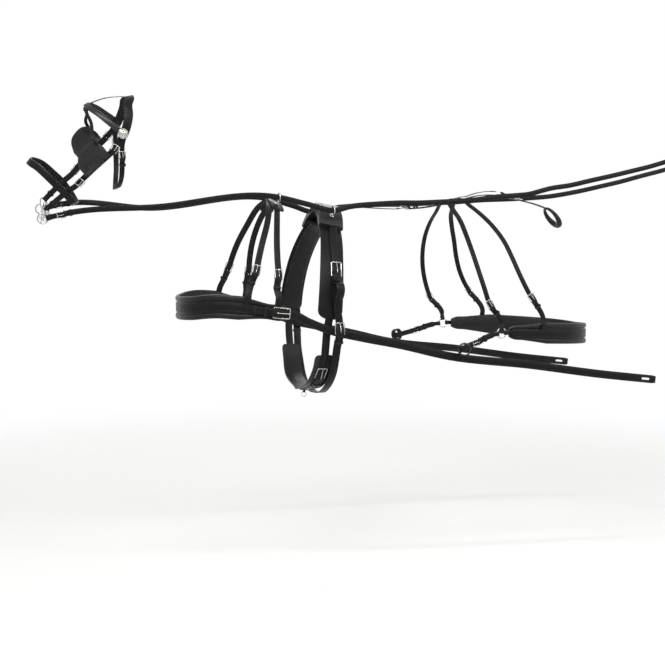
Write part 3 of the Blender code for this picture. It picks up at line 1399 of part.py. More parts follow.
def make_saddle_tree():
    """The arched tree with its patent seat, a slot for the backband and a dee for the backstrap."""
    middle = flap_side.length
    both = [
        (middle + sign * run, *rest) for run, *rest in tree_rows() for sign in (1, -1) if run or sign > 0
    ]
    tree = padded(flap_half.over, sorted(both), TREE_PROFILE_SHARES)
    slot_half = BACKBAND_WIDTH / 2 + 2 * GAP
    reach = hang.side.nearest(trunk.lifted(0.333, 34, FLAP_OUT))
    start, end = hang.side.length - reach, hang.side.length + reach
    slot = block(hang.over, start, end, slot_half, -2 * GAP, LINED + 2 * GAP)
    wide = BACKSTRAP_WIDTH / 2 + SMALL_WIRE
    front, (back_end, _, height) = SEAT_LENGTH * 0.35, dee_place()
    path = [(front, -wide, height), (back_end, -wide, height), (back_end, wide, height), (front, wide, height)]
    node("saddle_tree", "leather", [tree, tube(path, SMALL_WIRE / 2, 6)], [slot])


def saddle_seat():
    """Where the near saddle terret stands, and the way it points, square to the tree."""
    run = flap_side.nearest(trunk.point(FLAP_TURNS[0][0], SADDLE_TERRET_TURN))
    rows = tree_rows()
    spots = []
    for at in (run - TERRET_STEM, run, run + TERRET_STEM):
        high = np.interp(at, [row[0] for row in rows], [row[3] for row in rows])
        spots.append(flap_side.place(at, 0, high))
    out = unit(np.cross(trunk.along, spots[2] - spots[0]))
    out = out if out @ trunk.up > 0 else -out
    return spots[1] + SLACK * out, out


def make_saddle_terrets():
    base, out = saddle_seat()
    pair("saddle_terret", "nickel", terret(base, out, trunk.along))


def make_saddle_flaps():
    """A flap with its pad sewn under it, and the girth billet."""
    buckle = girth_buckle()
    half = FLAP_WIDTH / 2
    pad_half = half * 0.78
    overlap = 1 + FLAP_LEATHER / 2 / FLAP_PAD
    pad = padded(
        flap_side,
        [
            (FLAP_TOP, pad_half * 0.9, 0, FLAP_PAD),
            (FLAP_END - pad_half * 0.9, pad_half, 0, FLAP_PAD),
            (FLAP_END - pad_half * 0.25, pad_half * 0.72, 0, FLAP_PAD),
        ],
        ((-0.86, 0), (0.86, 0), (1, 0.35), (1, overlap), (-1, overlap), (-1, 0.35)),
    )
    round_shares = ((0.0, 0.42), (0.10, 0.66), (0.28, 0.87), (0.60, 1.0))
    rows = [(FLAP_END - half * back, half * wide, FLAP_PAD, FLAP_OUT) for back, wide in round_shares]
    leather = slab(flap_side, rows + [(FLAP_TOP, half * 0.9, FLAP_PAD, FLAP_OUT)])
    low = FLAP_PAD - LEATHER
    billet = slab(
        flap_side,
        [
            (FLAP_END - half * 1.6, GIRTH_BILLET / 2, low, FLAP_PAD + FLAP_LEATHER / 2),
            (FLAP_END, GIRTH_BILLET / 2, low, low + LEATHER),
        ]
        + buckle.billet_rows(GIRTH_BILLET * 1.4),
    )
    pair("saddle_flap", "leather", [leather, pad, billet], [buckle.billet_hole()])


def make_backband():
    buckle = tug_buckle()
    rows = buckle.billet_rows(BACKBAND_WIDTH * 1.5)
    middle = hang.side.length
    both = [(middle + sign * run, half, low, high) for run, half, low, high in rows for sign in (1, -1)]
    hole = buckle.billet_hole()
    node("backband", "leather", [slab(hang.over, both)], [hole, mirrored(hole)])
    pair("tug_buckle", "nickel", [buckle.frame(6, 3)])
    bore = pin(buckle.line, buckle.run, 0, buckle.bar_out, buckle.side, buckle.radius + 2 * GAP, 8)
    tongue = [buckle.tongue_eye(), buckle.tongue(loose=True)]
    pair("tug_buckle_tongue", "nickel", tongue, [bore], pivot=buckle.pivot)


def make_tugs():
    """A tug: two layers that part round the shaft, and a tail down to the bellyband."""
    upper, lower = tug_buckle(), belly_buckle()
    half = BACKBAND_WIDTH / 2
    outer = slab(hang.side, upper.chape_rows() + lower.billet_rows(BELLY_WIDTH * 1.6))
    middle, loop = shaft_places()
    start = hang.side.place(upper.run + 2.6 * upper.fold, 0, LINED * 0.1)
    end_run = hang.side.nearest(on_trunk(*TAIL_SHARES[1]))
    end = hang.side.place(end_run, 0, LEATHER * 0.2)
    inside = middle - SHAFT_SPACE / 2 * trunk.near
    drop = SHAFT_SPACE / 2 * trunk.up
    places = [start, inside + 0.75 * drop, inside, inside - 0.9 * drop, end]
    line = freely(places, [OUTWARD] * 5).side
    inner = slab(line, [(0.0, half * 0.94, 0, LEATHER), (line.length, half * 0.94, 0, LEATHER)])
    cuts = [upper.bar_hole(), upper.tongue_slot(), lower.billet_hole()]
    pair("tug", "leather", [outer, inner], cuts)


def make_bellyband():
    buckle = belly_buckle()
    line = hang.under
    band_rows = both_ends(line, buckle.chape_rows())
    hole, slot, loop = buckle.bar_hole(), buckle.tongue_slot(), buckle.loop(BELLY_BUCKLE * 0.8)
    cuts = [hole, slot, mirrored(hole), mirrored(slot)]
    node("bellyband", "leather", [slab(line, band_rows), loop, mirrored(loop)], cuts)
    pair("bellyband_buckle", "nickel", [buckle.frame(), buckle.tongue()])


def make_girth():
    """The girth: a wide padded band, the straps that carry its buckles, and a tab for its ring."""
    buckle = girth_buckle()
    line = flap_half.under
    half = GIRTH_WIDTH / 2
    pad_rows = both_ends(
        line,
        [(GIRTH_PAD_AT, half * 0.7, 0, GIRTH_PAD), (GIRTH_PAD_AT + half * 0.5, half, 0, GIRTH_PAD)],
    )
    sink = GAP + BITE
    straps = slab(line, both_ends(line, buckle.chape_rows(sink)))
    middle = line.length / 2
    hole = GIRTH_RING_WIRE / 2 + 2 * GAP + GIRTH_RING_WIRE * 0.38
    centre = GIRTH_PAD + LEATHER + FOLD_WALL + hole
    foot = GIRTH_PAD + LEATHER - BITE
    reach, top = 1.6 * hole, centre + hole + FOLD_WALL
    tab = block(line, middle - reach, middle + reach, 1.5 * GIRTH_RING_WIRE, foot, top)
    tunnel = pin(line, middle, 0, centre, 3 * GIRTH_RING_WIRE, hole, 8)
    cuts = [tunnel]
    for shape in (buckle.bar_hole(), buckle.tongue_slot()):
        cuts += [shape, mirrored(shape)]
    loop = buckle.loop(GIRTH_BUCKLE * 0.9)
    node("girth", "leather", [slab(line, pad_rows), straps, tab, loop, mirrored(loop)], cuts)
    pair("girth_buckle", "nickel", [buckle.frame(), buckle.tongue()])
    pivot = line.place(middle, 0, centre)
    ring_centre = line.place(middle, 0, centre + GIRTH_RING_RADIUS)
    ring = ring_shape(ring_centre, np.array([0, 1.0, 0]), GIRTH_RING_RADIUS, GIRTH_RING_WIRE, 14, 5)
    node("girth_ring", "nickel", [ring], pivot=pivot)


# The breeching, and the straps on the back that carry it

BREECH_FRONT = 0.680
BREECH_RISE_SHARES = ((0, -0.693), (45, -0.675), (90, -0.648))
HOLD_SHARES = (
    (0.6892, 1.01049123, -0.6536), (0.6700, 1.03507368, -0.6630), (0.6413, 1.07716842, -0.6900),
    (0.6114, 1.12981404, -0.7130), (0.5854, 1.19997193, -0.7343),
)
breech_places, breech_outs = band(
    BREECH_REACH, BREECH_HALF_WIDTH, BREECH_FULLNESS, 1, BREECH_FRONT, BREECH_RISE_SHARES, BAND_TURNS
)


def on_breech(along, out, up):
    """A place beside the breeching, in shares of the body's length, the breeching's half width and the depth."""
    return trunk.local(along * BODY_LENGTH, up * BODY_DEPTH, out * BREECH_HALF_WIDTH)


hold_places = [on_breech(*shares) for shares in HOLD_SHARES]
breech = freely(breech_places + hold_places, breech_outs + [OUTWARD] * len(hold_places))
breech_side = breech.side
BREECH_FACE_LOW = BREECH_PAD * FACE_SEAT_SHARE + GAP
BREECH_RING_OUT = BREECH_FACE_LOW + FACE_THICKNESS / 2
BREECH_RING_SHARES = (0.70274, 0.99999474, -0.65429)
BREECH_RING_AT = breech_side.nearest(on_breech(*BREECH_RING_SHARES))
ring_place = breech_side.place(BREECH_RING_AT, 0, BREECH_RING_OUT)
ring_axis = unit(breech_side.place(BREECH_RING_AT, 0, 1) - ring_place)
ring_up = unit(breech_side.place(BREECH_RING_AT, 1, BREECH_RING_OUT) - ring_place)
RING_EYE_HALF = BREECH_RING_RADIUS * 0.42
RING_SWELL = RING_EYE_HALF**2 / (2 * BREECH_RING_RADIUS) + SLACK / 2 + GAP
LOIN_FOOT_SHARES = (0.80818, 0.98000246, -0.65714)   # where the rear loin strap meets the breeching
LOIN_LIFT = 0.001
BACK_SHARES = (
    (0.425, 0.83), (0.473, 0.68), (0.522, 0.47), (0.572, 0.25), (0.597, 0.18), (0.622, 0.13), (0.647, 0.095),
    (0.672, 0.08), (0.724, 0.08), (0.776, 0.08), (0.802, 0.08), (0.828, 0.13), (0.8545, 0.24), (0.880, 0.31),
    (0.892, 0.36),
)                                                       # share of the body, lift beside the seat's rise
BACKSTRAP_THICKNESS = 0.004
LOIN_ROOM = 0.0047        # between the backstrap and a loin strap that crosses it
BACK_TIP_SHARE = 0.7658   # where the free tip of the backstrap's billet ends
FRONT_LOIN_SHARE, REAR_LOIN_SHARE = 0.637, 0.668


def back_lift(share):
    """How far the backstrap's inner face stands off the back."""
    return np.interp(share, [row[0] for row in BACK_SHARES], [row[1] for row in BACK_SHARES]) * SEAT_RISE


def loin_over(share):
    return back_lift(share) + BACKSTRAP_THICKNESS + LOIN_ROOM


HOLD_BAR_AT = breech_side.nearest(hold_places[2]) - SLACK
BREECH_PAD_END = BREECH_RING_AT - BREECH_RING_RADIUS * 1.9
FRONT_LOIN_TURNS = (
    (FRONT_LOIN_SHARE, 0, loin_over(FRONT_LOIN_SHARE)), (0.636, 7, loin_over(FRONT_LOIN_SHARE)),
    (0.6345, 20, LOIN_LIFT), (0.6346, 32, LOIN_LIFT),
    (0.6350, 46.6, LOIN_LIFT), (0.6387, 58.8, LOIN_LIFT), (0.6458, 71, LOIN_LIFT), (0.6569, 83.7, LOIN_LIFT),
    (0.671, 95, LOIN_LIFT),
)
REAR_LOIN_TURNS = (
    (REAR_LOIN_SHARE, 0, loin_over(REAR_LOIN_SHARE)), (0.670, 7, loin_over(REAR_LOIN_SHARE)),
    (0.677, 20, LOIN_LIFT), (0.684, 29, LOIN_LIFT),
    (0.7022, 43.5, LOIN_LIFT), (0.7201, 56.2, LOIN_LIFT), (0.7326, 67, LOIN_LIFT), (0.748, 78.4, LOIN_LIFT),
    (0.7672, 89.8, LOIN_LIFT), (0.7765, 93.1, LOIN_LIFT),
)


def loin_front_half():
    places = [trunk.lifted(*row) for row in FRONT_LOIN_TURNS]
    outs = [trunk.normal(share, turn) for share, turn, lift in FRONT_LOIN_TURNS]
    top = ring_place + BREECH_RING_RADIUS * ring_up - LEATHER / 2 * ring_axis
    places += [top + BREECH_RING_RADIUS * 1.4 * ring_up, top, top - SLACK * ring_up]
    return freely(places, outs + [ring_axis] * 3)


def loin_rear_half():
    places = [trunk.lifted(*row) for row in REAR_LOIN_TURNS]
    outs = [trunk.normal(share, turn) for share, turn, lift in REAR_LOIN_TURNS]
    run = breech_side.nearest(on_breech(*LOIN_FOOT_SHARES))
    inner = BREECH_FACE_LOW + FACE_THICKNESS * 0.3
    over = BREECH_PAD + SLACK
    out = unit(breech_side.place(run, 0, 1) - breech_side.place(run, 0, 0))
    half = FACE_WIDTH / 2
    spots = [(BREECH_HEIGHT * 0.62, over * 0.75), (BREECH_HEIGHT * 0.42, over), (half * 1.25, over)]
    for across, lift in spots + [(half * 0.45, inner)]:
        places.append(breech_side.place(run, across, lift))
        outs.append(out)
    return freely(places, outs)


loin_front, loin_rear = loin_front_half(), loin_rear_half()


def loin_buckle(half_line, place):
    half = LOIN_WIDTH / 2 - BITE - GAP
    run = half_line.side.nearest(place) + LOIN_BUCKLE / 2
    return Buckle(half_line.side, run, -1, half, 0, LEATHER, LEATHER, LOIN_BUCKLE, SMALL_WIRE)


front_loin_buckle = loin_buckle(loin_front, trunk.lifted(0.671, 95, 0))
rear_loin_buckle = loin_buckle(loin_rear, trunk.lifted(0.7765, 93.1, 0))
LOIN_TIP = 1.8 * LOIN_WIDTH


def over_rows(half_line, rows):
    """The rows of a near half, and those of its far half, on the line over the top."""
    middle = half_line.side.length
    return [(middle + sign * run, half, low, high) for run, half, low, high in rows for sign in (1, -1)]


def make_loin_straps():
    catch = front_loin_buckle
    strap = slab(loin_front.over, over_rows(loin_front, catch.billet_rows(LOIN_TIP, LAY + BITE)))
    eye_at = loin_front.side.nearest(ring_place + BREECH_RING_RADIUS * ring_up - LEATHER / 2 * ring_axis)
    eye_rows, eye_hole = ring_fold(
        loin_front.side, eye_at, 1, RING_EYE_HALF, LEATHER, BREECH_RING_WIRE, LEATHER / 2, RING_SWELL
    )
    full = (eye_rows[0][0] - LOIN_WIDTH * 0.3, catch.chape_half, 0, LEATHER)
    lower = slab(loin_front.side, catch.chape_rows() + [full] + eye_rows)
    adds = [strap]
    for shape in (lower, catch.frame(), catch.tongue(), catch.loop(LOIN_BUCKLE)):
        adds += [shape, mirrored(shape)]
    node("loin_strap_front", "leather", adds, [eye_hole, mirrored(eye_hole)])
    catch = rear_loin_buckle
    hole = catch.billet_hole()
    strap = slab(loin_rear.over, over_rows(loin_rear, catch.billet_rows(LOIN_TIP)))
    node("loin_strap_rear", "leather", [strap], [hole, mirrored(hole)])


def make_breeching_pad():
    half = BREECH_HEIGHT / 2
    line = breech.over
    end = breech_side.length - BREECH_PAD_END
    rows = [
        (end, half * 0.42, 0, BREECH_PAD * PAD_END_SHARE),
        (end + half * 0.3, half * 0.56, 0, BREECH_PAD * PAD_END_SHARE),
        (end + half * 1.6, half * 0.70, 0, BREECH_PAD * PAD_END_SHARE),
        (end + half * 4.2, half, 0, BREECH_PAD),
    ]
    node("breeching_pad", "soft leather", [padded(line, sorted(both_ends(line, rows)), PAD_SHARES)])


def make_breeching_face():
    """The breeching's face strap, folded round both rings, with the short tugs of the rear loin strap."""
    half = FACE_WIDTH / 2
    eye_run = BREECH_RING_AT - BREECH_RING_RADIUS
    eye_rows, eye_hole = ring_fold(
        breech_side, eye_run, 1, RING_EYE_HALF, FACE_THICKNESS, BREECH_RING_WIRE, BREECH_RING_OUT, RING_SWELL
    )
    low, high = BREECH_FACE_LOW, BREECH_FACE_LOW + FACE_THICKNESS
    rows = [(eye_run - FACE_WIDTH, half, low, high), (0.0, half, low, high)] + eye_rows
    adds, cuts = [slab(breech.over, over_rows_behind(breech, rows))], [eye_hole, mirrored(eye_hole)]
    catch = rear_loin_buckle
    end = loin_rear.side.length
    rows = [
        (end - GAP, catch.chape_half, 0, LEATHER * 0.6), (end - FACE_WIDTH * 0.3, catch.chape_half, 0, LEATHER),
    ]
    tug = slab(loin_rear.side, rows + catch.chape_rows())
    for shape in (tug, catch.frame(), catch.tongue(), catch.loop(LOIN_BUCKLE)):
        adds += [shape, mirrored(shape)]
    node("breeching_face", "leather", adds, cuts)


def over_rows_behind(half_line, rows):
    """Rows of a near half that starts at its middle, on the line through both halves."""
    middle = half_line.side.length
    far = [(middle + run, half, low, high) for run, half, low, high in rows if run > 0]
    near = [(middle - run, half, low, high) for run, half, low, high in rows]
    return near + far


def make_breeching_rings():
    ring = ring_shape(ring_place, ring_axis, BREECH_RING_RADIUS, BREECH_RING_WIRE)
    pair("breeching_ring", "nickel", [ring], pivot=ring_place)


def make_breeching_straps():
    """A holdback strap, from the breeching ring round the shaft and back to its buckle."""
    line = breech_side
    half = HOLDBACK_WIDTH / 2
    low = BREECH_RING_OUT - LEATHER / 2
    eye_run = BREECH_RING_AT + BREECH_RING_RADIUS
    eye_rows, eye_hole = ring_fold(
        line, eye_run, -1, RING_EYE_HALF, LEATHER, BREECH_RING_WIRE, BREECH_RING_OUT, RING_SWELL
    )
    buckle = Buckle(line, HOLD_BAR_AT, 1, half - BITE - GAP, low, LEATHER, LEATHER, LOIN_BUCKLE, SMALL_WIRE)
    full = (eye_rows[0][0] + HOLDBACK_WIDTH * 0.3, buckle.chape_half, low, low + LEATHER)
    strap = slab(line, eye_rows + [full] + buckle.chape_rows())
    end = line.length
    billet = slab(
        line, buckle.billet_rows(HOLDBACK_WIDTH * 1.5, LAY + BITE) + [(end, half, low, low + LEATHER)]
    )
    last = line.place(end, 0, low + LEATHER / 2)
    lead = unit(last - line.place(end - LAY_STEP, 0, low + LEATHER / 2))
    outward = unit(line.place(end, 0, 1) - line.place(end, 0, 0))
    radius = SHAFT_SPACE / 2 + LEATHER / 2
    axis = unit(0.80 * lead + 0.60 * outward)
    across = unit(outward - (outward @ axis) * axis)
    centre = last + radius * across + lead * HOLDBACK_WIDTH * 0.35
    rings = []
    for k in range(16):
        turn = 2 * math.pi * k / 16
        way = math.cos(turn) * across + math.sin(turn) * np.cross(axis, across)
        inner, outer = radius - LEATHER / 2, radius + LEATHER / 2
        spots = ((inner, -1), (inner, 1), (outer, 1), (outer, -1))
        rings.append([centre + size * way + side * half * axis for size, side in spots])
    loop = loft(rings, closed=True)
    cuts = [eye_hole, buckle.bar_hole(), buckle.tongue_slot(), buckle.billet_hole()]
    keeper_loop = buckle.loop(LOIN_BUCKLE * 0.9)
    pair("breeching_strap", "leather", [strap, billet, loop, keeper_loop], cuts)
    pair("breeching_buckle", "nickel", [buckle.frame(), buckle.tongue()])


def dee_place():
    return np.array([SEAT_LENGTH / 2 + DEE_REACH, 0, SEAT_RISE * 0.70])


def back_line():
    places = [trunk.lifted(share, 0, lift * SEAT_RISE) for share, lift in BACK_SHARES]
    outs = [trunk.normal(share, 0) for share, lift in BACK_SHARES]
    lead = dee_place() - SLACK * 5 * trunk.along
    return freely([lead, dee_place()] + places, [trunk.up] * 2 + outs).side


back = back_line()


def back_run(share):
    """How far along the backstrap a share of the body is."""
    return back.nearest(trunk.lifted(share, 0, back_lift(share)))


CRUPPER_BAR_AT = back_run(0.8075)
BACK_BAR_AT = back_run(0.5425)


def crupper_buckle():
    half = BACKSTRAP_WIDTH / 2 - BITE - GAP
    return Buckle(back, CRUPPER_BAR_AT, 1, half, 0, BACKSTRAP_THICKNESS, LEATHER, BELLY_BUCKLE, SMALL_WIRE)


def make_backstrap():
    """The backstrap, buckled to the saddle's dee. Its long billet lies over both loin straps."""
    half = BACKSTRAP_WIDTH / 2
    rear = crupper_buckle()
    front = Buckle(
        back, BACK_BAR_AT, -1, half - BITE - GAP, 0, BACKSTRAP_THICKNESS, LEATHER, BELLY_BUCKLE, SMALL_WIRE
    )
    dee_at = back.nearest(dee_place())
    eye_rows, eye_hole = ring_fold(back, dee_at, -1, half * 0.9, LEATHER, SMALL_WIRE, LEATHER / 2, 0.0)
    strap = slab(back, front.chape_rows() + rear.chape_rows())
    rows = front.billet_rows(BACKSTRAP_WIDTH, LAY + BITE)[:4]
    low = rows[-1][2]
    over = BACKSTRAP_THICKNESS + LOIN_ROOM + LEATHER + LAY
    reach = LOIN_WIDTH / 2 + SLACK
    stops = [
        (back_run(FRONT_LOIN_SHARE) - 3 * reach, low), (back_run(FRONT_LOIN_SHARE) - reach, over),
        (back_run(REAR_LOIN_SHARE) + 1.5 * reach, over), (back_run(REAR_LOIN_SHARE) + 3 * reach, over * 0.7),
    ]
    rows += [(run, front.half, lift, lift + LEATHER) for run, lift in stops]
    rows += tip_rows(back_run(BACK_TIP_SHARE), 1, front.half, over * 1.3, over * 1.3 + LEATHER)
    billet = slab(back, eye_rows + rows)
    between = (back_run(FRONT_LOIN_SHARE) + back_run(REAR_LOIN_SHARE)) / 2
    held = keeper_over(back, between, half, BACKSTRAP_THICKNESS - 2 * BITE, over + LEATHER)
    adds = [strap, billet, front.loop(BELLY_BUCKLE), held]
    for buckle in (front, rear):
        adds += [buckle.frame(), buckle.tongue()]
    node("backstrap", "leather", adds, [eye_hole])


def make_crupper():
    """The crupper: a billet with its end standing free, a strap, and a padded loop under the dock."""
    buckle = crupper_buckle()
    half = buckle.half
    rows = buckle.billet_rows(BACKSTRAP_WIDTH)[:4]
    low = rows[-1][2]
    reach = BACKSTRAP_WIDTH * 2
    tip_shares = ((0.35, 0.05, 1), (0.6, 0.35, 1), (0.85, 0.8, 1), (0.94, 0.93, 0.8), (1.0, 1.0, 0.22))
    for share, rise, wide in tip_shares:
        out = low + rise * 4 * LEATHER
        rows.append((buckle.run - share * reach, half * wide, out, out + LEATHER))
    end = back.length
    strap = slab(back, rows + [(end - BACKSTRAP_WIDTH, half, 0, LEATHER), (end, half * 0.8, 0, LEATHER)])
    dock = dock_loop()
    node("crupper", "leather", [strap, dock], [buckle.billet_hole()])


def dock_loop():
    start = back.place(back.length, 0, LEATHER / 2)
    down = unit(np.array([0.62, 0, -0.78]))
    half = DOCK_RADIUS * 3.1
    middle = start + down * half * 1.12
    path, radii = [], []
    for k in range(18):
        turn = 2 * math.pi * k / 18
        way, side = math.cos(turn), math.sin(turn)
        path.append(middle - down * way * half * 1.15 - side * half * OUTWARD)
        radii.append(DOCK_RADIUS * (0.72 - 0.28 * way))
    return tube(path, radii, 7, closed=True)


make_crown()
make_browband()
make_rosettes()
make_cheekpieces()
make_winkers()
make_noseband()
make_throat_lash()
make_bit()
make_bit_rings()
make_curb_chain()
for side_name, side_sign in (("left", 1), ("right", -1)):
    make_rein(side_name, side_sign)
make_collar_pad()
make_collar_face()
make_neck_strap()
make_neck_terrets()
make_traces()
make_saddle_tree()
make_saddle_terrets()
make_saddle_flaps()
make_backband()
make_tugs()
make_bellyband()
make_girth()
make_backstrap()
make_crupper()
make_loin_straps()
make_breeching_pad()
make_breeching_face()
make_breeching_rings()
make_breeching_straps()
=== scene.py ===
# %% [markdown]
# A single driving harness with a breast collar, dressed over its CAD frame. A harness is nearly all
# straps. So the file first lays lines over the form that wears it, then draws each strap flat and
# bends it along its line, and at last gives leather, metal and thread a finish. X runs from the
# noseband to the crupper, Z is up, and the near side is -Y.

import functools
import json
import math

import bmesh
import bpy
import numpy as np
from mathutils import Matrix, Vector


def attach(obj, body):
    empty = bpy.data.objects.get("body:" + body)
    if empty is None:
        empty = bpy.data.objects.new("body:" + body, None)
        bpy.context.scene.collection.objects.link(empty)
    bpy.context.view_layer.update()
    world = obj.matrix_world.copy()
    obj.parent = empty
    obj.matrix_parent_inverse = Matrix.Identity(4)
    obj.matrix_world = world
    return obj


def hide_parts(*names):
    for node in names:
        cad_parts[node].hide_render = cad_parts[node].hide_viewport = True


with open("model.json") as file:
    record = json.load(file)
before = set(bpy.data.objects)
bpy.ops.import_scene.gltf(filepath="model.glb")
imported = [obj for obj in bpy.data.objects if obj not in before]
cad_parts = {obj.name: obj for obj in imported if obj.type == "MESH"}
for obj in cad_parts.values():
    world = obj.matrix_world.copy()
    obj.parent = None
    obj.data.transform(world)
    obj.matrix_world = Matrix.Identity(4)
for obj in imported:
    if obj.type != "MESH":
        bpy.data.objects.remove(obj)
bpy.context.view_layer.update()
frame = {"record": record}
record = frame["record"]
BODY_OF = {node: body for body, nodes in record["behaviour"]["bodies"].items() for node in nodes}

# %% [markdown]
# The camera stands where the photograph was taken from: in front of the near shoulder and a little
# above the belly. It could be turned by hand until the picture looks right, but its place and its
# way of looking are in the CAD's own metres here, so the picture is the same each time.

# %% Camera
CAMERA_PLACE = (-1.34627, -4.25581, -0.07564)
CAMERA_WAY = (0.3079, 0.9476, -0.0854)
SENSOR_WIDTH = 36.0
LENS = 58.2

camera_data = bpy.data.cameras.new("camera")
camera_data.sensor_width = SENSOR_WIDTH
camera_data.lens = LENS
camera = bpy.data.objects.new("camera", camera_data)
camera.location = CAMERA_PLACE
camera.rotation_euler = Vector(CAMERA_WAY).to_track_quat("-Z", "Y").to_euler()
bpy.context.scene.collection.objects.link(camera)
bpy.context.scene.camera = camera
bpy.context.scene.view_settings.view_transform = "Standard"
print("camera at", CAMERA_PLACE, "with a lens of", LENS, "mm")

# %% [markdown]
# A material in Blender is a tree of nodes. Three small helpers add a node, feed its sockets and do
# sums, so that the finishes below read as a list of what feeds what. Each node could also be added
# and linked by hand, but the same four lines would then come back a hundred times.

# %% Nodes of a material
def feed(tree, socket, value):
    """Sets a socket to a value, or links it to the output of another node."""
    if isinstance(value, bpy.types.NodeSocket):
        tree.links.new(value, socket)
    else:
        socket.default_value = value


def add_node(tree, kind, settings=None, **inputs):
    """A node of one kind with its settings, and with its inputs fed."""
    node = tree.nodes.new("ShaderNode" + kind)
    for label, value in (settings or {}).items():
        setattr(node, label, value)
    for label, value in inputs.items():
        feed(tree, node.inputs[label.replace("_", " ")], value)
    return node


def sum_of(tree, operation, *values):
    node = add_node(tree, "Math", {"operation": operation})
    for socket, value in zip(node.inputs, values):
        feed(tree, socket, value)
    return node.outputs[0]


def ranged(tree, value, low, high):
    """A value from 0 to 1, moved into another range."""
    return add_node(tree, "MapRange", Value=value, To_Min=low, To_Max=high).outputs["Result"]


def new_material(name, **inputs):
    """A material, its tree, its shader with some inputs fed, and the place on the object."""
    material = bpy.data.materials.new(name)
    material.use_nodes = True
    tree = material.node_tree
    shader = tree.nodes["Principled BSDF"]
    for label, value in inputs.items():
        feed(tree, shader.inputs[label.replace("_", " ")], value)
    return material, tree, shader, add_node(tree, "TexCoord").outputs["Object"]


print("helpers: feed, add_node, sum_of, ranged, new_material")

# %% [markdown]
# The floor bends up into a wall all round, like the paper sweep of a photo studio, so no line shows
# where they meet. A plane with a hard edge would show its horizon in the side views. Near the
# harness the paper takes its shadow, and further off it fades to white for what sees it.

# %% Floor and background
FLOOR_HEIGHT = -1.535
SWEEP_START = 6.0
SWEEP_RADIUS = 2.5
WALL_RISE = 5.0
SWEEP_SIDES = 96
FADE_START, FADE_END = 2.2, 5.5
PAPER_COLOUR = (0.86, 0.86, 0.85, 1)
AMBIENT = 0.55            # strength of the surround as a light


def sweep_profile():
    """Distance from the middle and height of the studio's floor, from its middle to its rim."""
    turns = [math.radians(6 * k) for k in range(16)]
    bend = [
        (SWEEP_START + SWEEP_RADIUS * math.sin(turn), SWEEP_RADIUS * (1 - math.cos(turn)))
        for turn in turns
    ]
    rim = (SWEEP_START + SWEEP_RADIUS, SWEEP_RADIUS + WALL_RISE)
    return [(0.01, 0.0), (SWEEP_START / 2, 0.0), *bend, rim]


def make_studio():
    corners, faces = [], []
    for away, height in sweep_profile():
        for k in range(SWEEP_SIDES):
            turn = 2 * math.pi * k / SWEEP_SIDES
            corners.append((away * math.cos(turn), away * math.sin(turn), FLOOR_HEIGHT + height))
    for ring in range(len(sweep_profile()) - 1):
        for k in range(SWEEP_SIDES):
            a, b = ring * SWEEP_SIDES + k, ring * SWEEP_SIDES + (k + 1) % SWEEP_SIDES
            faces.append((a, b, b + SWEEP_SIDES, a + SWEEP_SIDES))
    mesh = bpy.data.meshes.new("studio_floor")
    mesh.from_pydata(corners, [], faces)
    mesh.shade_smooth()
    mesh.materials.append(paper())
    floor = bpy.data.objects.new("studio_floor", mesh)
    bpy.context.scene.collection.objects.link(floor)


def seen_directly(tree):
    """One for what the camera, a polished surface or a clear one sees, zero for what lights."""
    sees = add_node(tree, "LightPath").outputs
    reflected = sum_of(tree, "MAXIMUM", sees["Is Glossy Ray"], sees["Is Transmission Ray"])
    return sum_of(tree, "MAXIMUM", sees["Is Camera Ray"], reflected)


def paper():
    """Pale paper that fades to plain white away from the middle."""
    material, tree, shader, where = new_material(
        "pale studio paper", Base_Color=PAPER_COLOUR, Roughness=0.9, Specular_IOR_Level=0.1
    )
    away = add_node(tree, "VectorMath", {"operation": "LENGTH"}, Vector=where).outputs["Value"]
    fade = add_node(
        tree, "MapRange", {"interpolation_type": "SMOOTHSTEP"},
        Value=away, From_Min=FADE_START, From_Max=FADE_END,
    )
    share = sum_of(tree, "MULTIPLY", fade.outputs["Result"], seen_directly(tree))
    mix = add_node(tree, "MixShader", Fac=share)
    feed(tree, mix.inputs[1], shader.outputs[0])
    feed(tree, mix.inputs[2], add_node(tree, "Emission").outputs[0])
    feed(tree, tree.nodes["Material Output"].inputs["Surface"], mix.outputs[0])
    return material


def make_world():
    """An even pale surround. What the eye and the metal see of it is white."""
    world = bpy.data.worlds.new("surround")
    bpy.context.scene.world = world
    world.use_nodes = True
    tree = world.node_tree
    tree.nodes.clear()
    strength = ranged(tree, seen_directly(tree), AMBIENT, 1.0)
    background = add_node(tree, "Background", Color=(1, 1, 1, 1), Strength=strength)
    add_node(tree, "OutputWorld", Surface=background.outputs[0])


make_studio()
make_world()
print("floor at", FLOOR_HEIGHT)

# %% [markdown]
# Black leather shows only by its highlights. So the lamps are large soft boxes, one of them a long
# strip that draws a thin light along the straps. Bare bulbs would give hard spots instead.

# %% Lamps
LAMPS = {                 # place, what it is aimed at, size, power
    "key": ((-2.6, -3.4, 3.2), (-0.1, 0, -0.2), (2.6, 1.6), 130),
    "fill": ((3.0, -3.0, 1.6), (0.3, 0, -0.3), (2.4, 2.0), 60),
    "back": ((0.6, 4.0, 2.8), (0, 0, 0), (3.2, 1.6), 80),
    "strip": ((-0.4, -2.6, 2.6), (0.1, 0, -0.2), (3.4, 0.22), 60),
}
for lamp_name, (place, aim, size, power) in LAMPS.items():
    lamp_data = bpy.data.lights.new(lamp_name, "AREA")
    lamp_data.shape = "RECTANGLE"
    lamp_data.size, lamp_data.size_y = size
    lamp_data.energy = power
    lamp = bpy.data.objects.new(lamp_name, lamp_data)
    lamp.location = place
    lamp.rotation_euler = (Vector(aim) - Vector(place)).to_track_quat("-Z", "Y").to_euler()
    bpy.context.scene.collection.objects.link(lamp)
print("lamps:", ", ".join(LAMPS))

